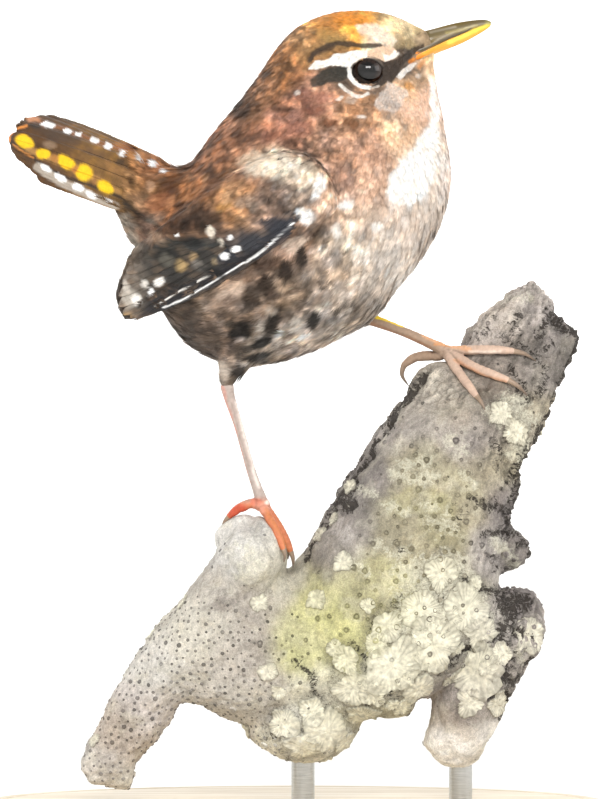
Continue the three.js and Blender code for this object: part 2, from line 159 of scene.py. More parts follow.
def closed_rings(rings):
    """A closed shell over an array of rings (rings, around, 3), facing out."""
    r, a, _ = rings.shape
    v = np.concatenate([rings.reshape(-1, 3), rings[0].mean(0)[None], rings[-1].mean(0)[None]])
    f = ring_faces(r, a)
    return facing_out(v, f)


def facing_out(v, faces):
    volume = 0
    for f in faces:
        for k in range(1, f.shape[1] - 1):
            volume += np.einsum("ij,ij->i", v[f[:, 0]], np.cross(v[f[:, k]], v[f[:, k + 1]])).sum()
    return v, ([f[:, ::-1] for f in faces] if volume < 0 else faces)


def join(parts):
    vs, fs, n = [], [], 0
    for v, faces in parts:
        vs.append(v)
        fs += [f + n for f in faces]
        n += len(v)
    quads = [f for f in fs if f.shape[1] == 4]
    tris = [f for f in fs if f.shape[1] == 3]
    return np.concatenate(vs), [np.concatenate(g) for g in (quads, tris) if g]


def raw_mesh(name, v, faces, scale):
    me = bpy.data.meshes.new(name)
    me.vertices.add(len(v))
    me.vertices.foreach_set("co", (np.asarray(v) * scale).astype(np.float32).ravel())
    loops = np.concatenate([f.ravel() for f in faces]).astype(np.int32)
    sizes = np.concatenate([np.full(len(f), f.shape[1]) for f in faces])
    me.loops.add(len(loops))
    me.loops.foreach_set("vertex_index", loops)
    me.polygons.add(len(sizes))
    me.polygons.foreach_set("loop_start", np.concatenate([[0], np.cumsum(sizes)[:-1]]).astype(np.int32))
    me.polygons.foreach_set("use_smooth", np.ones(len(sizes), bool))
    me.update(calc_edges=True)
    return me


def piece(name, v, faces, material, slot=None, replaces=(), colour=None, extra=None, uv=None, flat=False, run=None):
    """A finished piece of the bird or its stand, from millimetres."""
    me = raw_mesh(name, v, faces, MM)
    if flat:
        me.polygons.foreach_set("use_smooth", np.zeros(len(me.polygons), bool))
    if colour is not None:
        a = me.color_attributes.new("tint", "FLOAT_COLOR", "POINT")
        a.data.foreach_set("color", np.concatenate([np.clip(colour, 0, 1), np.ones((len(v), 1))], 1).astype(np.float32).ravel())
    if extra is not None:
        a = me.attributes.new("lie", "FLOAT_VECTOR", "POINT")
        a.data.foreach_set("vector", np.asarray(extra, np.float32).ravel())
    if run is not None:
        a = me.attributes.new("run", "FLOAT_VECTOR", "POINT")
        a.data.foreach_set("vector", np.asarray(run, np.float32).ravel())
    if uv is not None:
        layer = me.uv_layers.new(name="OFBake", do_init=False)
        index = np.concatenate([f.ravel() for f in faces])
        layer.uv.foreach_set("vector", np.asarray(uv, np.float32)[index].ravel())
    ob = bpy.data.objects.new(name, me)
    bpy.context.scene.collection.objects.link(ob)
    me.materials.append(material)
    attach(ob, "root")
    if replaces:
        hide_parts(*replaces)
    return ob


def remesh(parts, voxel):
    """One skin round overlapping closed shells."""
    v, faces = join(parts)
    me = raw_mesh("tmp", v, faces, 1.0)
    ob = bpy.data.objects.new("tmp", me)
    bpy.context.scene.collection.objects.link(ob)
    m = ob.modifiers.new("r", "REMESH")
    m.mode, m.voxel_size, m.adaptivity = "VOXEL", voxel, 0
    out = bpy.data.meshes.new_from_object(ob.evaluated_get(bpy.context.evaluated_depsgraph_get()))
    co = np.zeros(len(out.vertices) * 3, np.float32)
    out.vertices.foreach_get("co", co)
    total = np.zeros(len(out.polygons), np.int32)
    out.polygons.foreach_get("loop_total", total)
    index = np.zeros(len(out.loops), np.int32)
    out.loops.foreach_get("vertex_index", index)
    start = np.concatenate([[0], np.cumsum(total)[:-1]])
    quads = np.stack([index[start[total == 4] + k] for k in range(4)], -1)
    made = [quads]
    if (total == 3).any():
        made.append(np.stack([index[start[total == 3] + k] for k in range(3)], -1))
    bpy.data.objects.remove(ob)
    bpy.data.meshes.remove(out)
    bpy.data.meshes.remove(me)
    return co.reshape(-1, 3).astype(float), made


def edges_of(faces):
    e = np.concatenate([np.stack([f[:, k], f[:, (k + 1) % f.shape[1]]], -1) for f in faces for k in range(f.shape[1])])
    e.sort(axis=1)
    return np.unique(e, axis=0)


def relax(v, faces, times, amount=0.5, back=0.0, weight=None):
    e = edges_of(faces)
    count = np.bincount(e.ravel(), minlength=len(v))[:, None]
    for _ in range(times):
        for share in ((amount, -back) if back else (amount,)):
            s = np.stack([np.bincount(e[:, 0], v[e[:, 1], k], len(v)) + np.bincount(e[:, 1], v[e[:, 0], k], len(v)) for k in range(3)], -1)
            move = (s / np.maximum(count, 1) - v) * share
            v = v + (move if weight is None else move * weight[:, None])
    return v


def normals(v, faces):
    n = np.zeros_like(v)
    for f in faces:
        fn = np.cross(v[f[:, 2]] - v[f[:, 0]], v[f[:, -1]] - v[f[:, 1]])
        for k in range(f.shape[1]):
            for c in range(3):
                n[:, c] += np.bincount(f[:, k], fn[:, c], len(v))
    return unit(n)


class Surface:
    """A mesh that things are laid on."""

    def __init__(self, v, faces, soften=6):
        self.v, self.faces = v, faces
        n = normals(v, faces)
        for _ in range(soften):
            n = unit(relax(n, faces, 1, 0.7))
        self.n = n
        polys = [row for f in faces for row in f.tolist()]
        self.face_n = np.concatenate([unit(n[f].mean(1)) for f in faces])
        self.tree = BVHTree.FromPolygons(v.tolist(), polys)

    def near(self, p):
        """Nearest points and their soft normals."""
        find = self.tree.find_nearest
        q, idx = np.empty((len(p), 3)), np.empty(len(p), int)
        for i, row in enumerate(p.tolist()):
            hit = find(row)
            q[i] = hit[0]
            idx[i] = hit[2]
        return q, self.face_n[idx]

    def depth(self, p):
        """Signed distance, above 0 outside."""
        q, n = self.near(p)
        return ((p - q) * n).sum(1)


# ------------------------------------------------------------------ node materials
class Nodes:
    def __init__(self, name):
        self.m = bpy.data.materials.new(name)
        self.m.use_nodes = True
        self.t = self.m.node_tree
        self.shader = self.t.nodes["Principled BSDF"]

    def new(self, kind, **values):
        n = self.t.nodes.new(kind)
        for k, x in values.items():
            setattr(n, k, x)
        return n

    def link(self, a, b):
        self.t.links.new(a, b)

    def put(self, socket, value):
        if hasattr(value, "links"):
            self.link(value, socket)
        else:
            socket.default_value = value

    def math(self, op, a, b=0.0, c=0.0, clamp=False):
        n = self.new("ShaderNodeMath", operation=op, use_clamp=clamp)
        for s, x in zip(n.inputs, (a, b, c)):
            self.put(s, x)
        return n.outputs[0]

    def mix(self, kind, fac, a, b):
        n = self.new("ShaderNodeMix", data_type="RGBA", blend_type=kind)
        self.put(n.inputs[0], fac)
        for s, x in ((n.inputs[6], a), (n.inputs[7], b)):
            self.put(s, x if hasattr(x, "links") else (*x, 1))
        return n.outputs[2]

    def attribute(self, name, kind="Vector"):
        return self.new("ShaderNodeAttribute", attribute_name=name).outputs[kind]

    def place(self):
        return self.new("ShaderNodeTexCoord").outputs["Object"]

    def noise(self, scale, detail=3, rough=0.55, vector=None, distortion=0.0):
        n = self.new("ShaderNodeTexNoise")
        self.put(n.inputs["Vector"], vector if vector is not None else self.place())
        n.inputs["Scale"].default_value = scale
        n.inputs["Detail"].default_value = detail
        n.inputs["Roughness"].default_value = rough
        n.inputs["Distortion"].default_value = distortion
        return n.outputs["Fac"]

    def range(self, x, a, b, c, d):
        n = self.new("ShaderNodeMapRange")
        for s, y in zip(n.inputs, (x, a, b, c, d)):
            self.put(s, y)
        return n.outputs[0]

    def stretch(self, vector, x, y, z):
        n = self.new("ShaderNodeVectorMath", operation="MULTIPLY")
        self.put(n.inputs[0], vector)
        n.inputs[1].default_value = (x, y, z)
        return n.outputs[0]

    def ramp(self, x, stops):
        n = self.new("ShaderNodeValToRGB")
        self.put(n.inputs[0], x)
        el = n.color_ramp.elements
        while len(el) > 1:
            el.remove(el[-1])
        el[0].position, el[0].color = stops[0][0], (*lin(stops[0][1]), 1)
        for pos, code in stops[1:]:
            e = el.new(pos)
            e.color = (*lin(code), 1)
        return n.outputs[0]

    def bump(self, height, strength, distance, normal=None):
        n = self.new("ShaderNodeBump")
        self.put(n.inputs["Height"], height)
        n.inputs["Strength"].default_value = strength
        n.inputs["Distance"].default_value = distance
        if normal is not None:
            self.link(normal, n.inputs["Normal"])
        return n.outputs["Normal"]

    def set(self, **values):
        for k, x in values.items():
            self.put(self.shader.inputs[k.replace("_", " ")], x)
        return self.m


def shades(n, colour, low=0.86, high=1.14, scale=1800.0, detail=3):
    """colour times a fine uneven tone."""
    f = n.range(n.noise(scale, detail), 0.3, 0.7, low, high)
    c = n.new("ShaderNodeCombineColor")
    for k in range(3):
        n.link(f, c.inputs[k])
    return n.mix("MULTIPLY", 1.0, colour, c.outputs[0])


def feather_material(name, rough=0.72, barbs=1.0, strength=0.5, distance=0.00006, low=0.88, high=1.12):
    n = Nodes(name)
    tint, lie = n.attribute("tint", "Color"), n.new("ShaderNodeSeparateXYZ")
    n.link(n.attribute("lie"), lie.inputs[0])
    # lie: x counts the barbs along the shaft, y runs across the vane, z is a random number for each feather
    wave = n.math("SINE", n.math("MULTIPLY", lie.outputs[0], 6.2832 * barbs))
    fine = n.noise(2600.0, 2)
    height = n.math("ADD", n.math("MULTIPLY", wave, 0.5), fine)
    tone = n.range(wave, -1, 1, 0.93, 1.05)
    c = n.new("ShaderNodeCombineColor")
    for k in range(3):
        n.link(tone, c.inputs[k])
    colour = n.mix("MULTIPLY", 1.0, shades(n, tint, low, high, 1500.0), c.outputs[0])
    m = n.set(Base_Color=colour, Roughness=n.range(n.noise(900.0, 2), 0.3, 0.7, rough - 0.08, rough + 0.08), Normal=n.bump(height, strength, distance))
    n.shader.inputs["Specular IOR Level"].default_value = 0.25
    n.shader.inputs["Sheen Weight"].default_value = 0.08
    n.shader.inputs["Sheen Roughness"].default_value = 0.5
    return m


def skin_material():
    n = Nodes("skin_under_feathers")
    colour = shades(n, n.attribute("tint", "Color"), 0.8, 1.1, 1400.0)
    n.set(Base_Color=colour, Roughness=n.range(n.noise(1200.0, 2), 0.3, 0.7, 0.8, 0.95), Normal=n.bump(n.noise(2200.0, 3), 0.5, 0.0001))
    n.shader.inputs["Specular IOR Level"].default_value = 0.15
    return n.m


def tinted_material(name, rough, scale=1500.0, bump=0.3, distance=0.00005, specular=0.4, low=0.85, high=1.15, along=None, coat=0.0):
    n = Nodes(name)
    v = n.place() if along is None else n.stretch(n.place(), *along)
    f = n.range(n.noise(scale, 4, vector=v), 0.3, 0.7, low, high)
    c = n.new("ShaderNodeCombineColor")
    for k in range(3):
        n.link(f, c.inputs[k])
    colour = n.mix("MULTIPLY", 1.0, n.attribute("tint", "Color"), c.outputs[0])
    n.set(Base_Color=colour, Roughness=n.range(n.noise(scale * 0.6, 3, vector=v), 0.3, 0.7, rough - 0.08, rough + 0.1), Normal=n.bump(n.noise(scale * 1.3, 4, vector=v), bump, distance))
    n.shader.inputs["Specular IOR Level"].default_value = specular
    n.shader.inputs["Coat Weight"].default_value = coat
    n.shader.inputs["Coat Roughness"].default_value = 0.15
    return n.m


# ------------------------------------------------------------------ the bird's profile, as in the solids
POWER = 2.15
EYE_R, EYE_AT, EYE_Y = 3.25, (367, 72), 4.7
HEAD = [
    [430.5, 31, 437, 51.5, 9], [423, 27, 436, 62, 16.5], [410, 20.5, 432, 76, 25], [396, 14, 421, 92, 32.5], [377, 9.5, 405, 110, 39],
    [355, 8, 385, 124, 44], [331, 11, 362, 133, 48.5], [309, 18.5, 338, 139, 50], [289, 31, 315, 139, 47], [271, 50, 292, 135, 38],
    [258, 70, 272, 126, 24], [252, 88, 258, 110, 8],
]
BODY = [
    [352, 40, 424, 62, 9], [325, 22, 437, 72, 25], [298, 27, 441, 98, 40], [277, 44, 447, 121, 53], [261, 65, 452, 146, 65], [246, 86, 455, 172, 76],
    [230, 107, 452, 201, 87], [213, 128, 442, 231, 96], [198, 149, 424, 260, 103], [184, 170, 401, 289, 107], [172, 190, 375, 318, 107],
    [161, 210, 338, 342, 102], [152, 230, 296, 360, 92], [146, 250, 251, 368, 76], [144, 270, 211, 361, 56], [148, 288, 181, 342, 34], [156, 302, 167, 322, 12],
]
RUMP = [
    [238, 140, 232, 290, 62], [208, 150, 178, 284, 56], [187, 162, 149, 262, 46], [171, 163, 133, 240, 35], [155, 170, 118, 220, 24], [140, 182, 105, 205, 12],
]
WING = [
    [330, 178, 336, 207, 13.2], [314, 159, 322, 219, 14.2], [286, 151, 300, 234, 14.8], [254, 161, 272, 248, 14.8], [222, 181, 240, 264, 14.3],
    [192, 202, 210, 281, 13.2], [166, 223, 184, 296, 11.8], [142, 247, 160, 309, 10.2], [125, 272, 141, 318, 8.9], [117, 297, 126, 319, 8.2],
]
TAIL = [
    [190, 178, 158, 226, 2.6, -3.6], [160, 157, 127, 214, 3.4, -4.8], [118, 141, 92, 196, 3.9, -5.4], [82, 129, 58, 178, 4.0, -5.2],
    [52, 120, 32, 163, 3.6, -4.2], [34, 117, 16, 153, 2.8, -2.8], [24, 122, 10, 143, 1.4, -1.2],
]
THIGH = {
    -1: [[278, 300, -9.8, 4.3], [256, 330, -9.6, 4.2], [239, 353, -8.8, 3.5], [230, 371, -7.8, 2.5], [227, 384, -7.1, 1.8], [227, 391, -6.9, 1.2]],
    1: [[314, 282, 11.2, 4.4], [332, 299, 10.6, 4.2], [349, 311, 9.4, 3.3], [363, 319, 8.0, 2.3], [373, 322, 7.1, 1.6], [379, 324, 6.7, 1.1]],
}


def sections(stations, t):
    s = np.array(stations, float)
    d = Curve(at(s[:, 0], s[:, 1])).at(t)
    v = Curve(at(s[:, 2], s[:, 3])).at(t)
    w = Curve(np.stack([np.arange(len(s)), s[:, 4] * GRID, 0 * s[:, 4]], -1)).at(t)[:, 1]
    return d, v, np.maximum(w, 0.2)


def profile_loft(stations, steps, around):
    d, v, w = sections(stations, np.linspace(0, 1, steps + 1))
    half, mid = (d - v) / 2, (d + v) / 2
    a = np.arange(around) / around * 2 * np.pi
    e = 2 / POWER
    rings = mid[:, None] + half[:, None] * power(np.cos(a), e)[None, :, None]
    rings[:, :, 1] += w[:, None] * power(np.sin(a), e)[None]
    return closed_rings(rings)


def limb_frame(knots, t):
    k = np.array(knots, float)
    line = Curve(at(k[:, 0], k[:, 1], k[:, 2]))
    size = Curve(np.stack([np.arange(len(k)), k[:, 3], k[:, 3]], -1)).at(t)[:, 1]
    c, direction = line.at(t), line.tangent(t)
    side = unit(np.array([0.0, 1, 0]) - direction * direction[:, 1:2])
    up = unit(np.cross(side, direction))
    return c, direction, side, up, np.maximum(size, 0.08)


def limb(knots, steps, around, shape=None):
    t = np.linspace(0, 1, steps + 1)
    c, direction, side, up, size = limb_frame(knots, t)
    a = np.arange(around) / around * 2 * np.pi
    r = size[:, None] * (np.ones((steps + 1, around)) if shape is None else shape(t[:, None], a[None]))
    rings = c[:, None] + up[:, None] * (np.cos(a)[None] * r)[..., None] + side[:, None] * (np.sin(a)[None] * r)[..., None]
    return closed_rings(rings)


def half_width(p):
    """Half the body's width at places of the side view, mm, as the solids have it."""
    d, v, w = sections(BODY, np.linspace(0, 1, 241))
    half, mid = (d - v) / 2, (d + v) / 2
    best = np.zeros(len(p))
    for k in range(len(d)):
        r = p - mid[k]
        c = (r @ half[k]) / (half[k] @ half[k])
        off = np.hypot(r[:, 0] - half[k, 0] * c, r[:, 2] - half[k, 2] * c)
        ok = (np.abs(c) < 1) & (off < 0.8)
        y = w[k] * (1 - np.minimum(np.abs(c), 1) ** POWER) ** (1 / POWER)
        best = np.where(ok, np.maximum(best, y), best)
    return best


def wing_sheet(nt, nv, over=0.0, lift=0.0, edge=0.9, end=0.0):
    """Outer face of the folded wing, as (nt, nv, 3), y above 0: over widens it, end lengthens it, in shares."""
    s = np.array(WING, float)
    t = np.linspace(0, 1, nt)
    u, l = Curve(at(s[:, 0], s[:, 1])).at(t), Curve(at(s[:, 2], s[:, 3])).at(t)
    floor = Curve(np.stack([np.arange(len(s)), s[:, 4], 0 * s[:, 4]], -1)).at(t)[:, 1]
    if end:
        u = np.concatenate([u[:1] - (u[1:2] - u[:1]) * end * nt, u, u[-1:] + (u[-1:] - u[-2:-1]) * end * nt])
        l = np.concatenate([l[:1] - (l[1:2] - l[:1]) * end * nt, l, l[-1:] + (l[-1:] - l[-2:-1]) * end * nt])
        floor = np.concatenate([floor[:1], floor, floor[-1:]])
    v = np.linspace(-over, 1 + over, nv)
    p = u[:, None] + (l - u)[:, None] * v[None, :, None]
    inside = u[:, None] + (l - u)[:, None] * np.clip(v, 0, 1)[None, :, None]
    w = half_width(inside.reshape(-1, 3)).reshape(len(u), nv)
    p[..., 1] = (w ** 6 + floor[:, None] ** 6) ** (1 / 6) + 0.9 - edge * np.minimum(np.abs(2 * v - 1), 1.15)[None] ** 4 + lift
    return p


def sheet_faces(nu, nv, first=0):
    i, j = np.meshgrid(np.arange(nu - 1), np.arange(nv - 1), indexing="ij")
    a = i * nv + j
    return np.stack([a, a + 1, a + nv + 1, a + nv], -1).reshape(-1, 4) + first


def mirrored(v, faces):
    w = v.copy()
    w[:, 1] *= -1
    return w, [f[:, ::-1] for f in faces]


# ------------------------------------------------------------------ markings of the plumage
# Ground tones, as named places of the bird's side: x, y, reach on the grid, colour.
GROUND = [
    # the two pale forehead tones on the next line (#fbe0ae, #f6d5a0) hold a painted highlight over the forehead's buff
    (412, 24, 9, "#fbe0ae"), (392, 22, 9, "#f6d5a0"), (430, 40, 7, "#b9a184"),          # forehead
    (352, 17, 13, "#f0a648"), (326, 24, 12, "#dd9c55"), (330, 40, 10, "#b68c5c"), (303, 46, 12, "#a98057"), (376, 36, 8, "#f6dcc2"),  # crown
    (283, 62, 14, "#a2724b"), (266, 88, 13, "#745138"), (250, 110, 12, "#5a3f2c"),      # nape
    (318, 98, 13, "#cc9b80"), (350, 112, 13, "#ab8263"), (300, 112, 13, "#a37661"), (385, 98, 9, "#a98c75"), (335, 78, 9, "#6d5a4b"),  # cheek
    (392, 70, 8, "#5e5044"), (404, 92, 9, "#e9bf97"), (417, 115, 13, "#ecc5ab"), (430, 66, 7, "#ecc8a4"), (404, 135, 12, "#eac3a0"),    # lores, throat
    (285, 128, 15, "#a97862"), (330, 140, 15, "#bb9177"), (362, 152, 14, "#c59b81"), (370, 180, 15, "#c8a68f"), (345, 178, 13, "#cfa58d"),
    (425, 165, 13, "#f6eee6"), (447, 135, 10, "#f3ddcb"), (448, 180, 12, "#ecdcd0"), (428, 212, 16, "#d8c9bb"), (398, 225, 16, "#e1d0c2"),  # breast
    (360, 215, 16, "#d6bda9"), (325, 205, 13, "#b79a85"), (430, 245, 16, "#c4b5a8"), (395, 262, 20, "#e1d6cb"), (355, 250, 18, "#e8d8c7"),
    (365, 290, 20, "#bfb1a4"), (330, 320, 18, "#a5998e"), (325, 275, 18, "#b8a595"), (290, 250, 14, "#937764"), (290, 290, 18, "#968474"),   # belly
    (300, 345, 16, "#c9b7a9"), (255, 300, 18, "#817063"), (262, 345, 14, "#9d8f80"), (220, 300, 18, "#756456"), (225, 335, 16, "#6d5c50"),
    (190, 315, 16, "#605247"), (170, 290, 14, "#53473e"), (240, 270, 14, "#7c6453"), (205, 350, 12, "#615347"),
    (228, 378, 12, "#7e6f61"), (345, 300, 12, "#a09489"), (362, 318, 9, "#a79a8d"),      # thighs
    (232, 140, 14, "#a87658"), (210, 165, 14, "#9e6e50"), (250, 165, 13, "#ab8166"), (280, 165, 13, "#e9d5bd"), (306, 176, 9, "#eadbc9"),
    (232, 190, 13, "#a17855"), (270, 196, 12, "#7c6658"), (300, 196, 9, "#9c8a7c"), (190, 185, 12, "#8e5e39"), (195, 212, 12, "#533e30"),     # back, shoulder
    (165, 205, 11, "#83583a"), (150, 190, 9, "#87592f"), (150, 225, 11, "#735848"), (128, 215, 10, "#785d41"), (120, 240, 11, "#81664c"),   # rump, tail coverts
    (138, 255, 11, "#7b6d60"), (155, 270, 11, "#5f5349"),
    (148, 172, 8, "#a4724f"), (134, 168, 8, "#a0734b"), (132, 184, 9, "#a98057"), (146, 196, 8, "#b08a6a"), (116, 168, 9, "#8f6a3c"), (120, 188, 8, "#9c7546"),
]

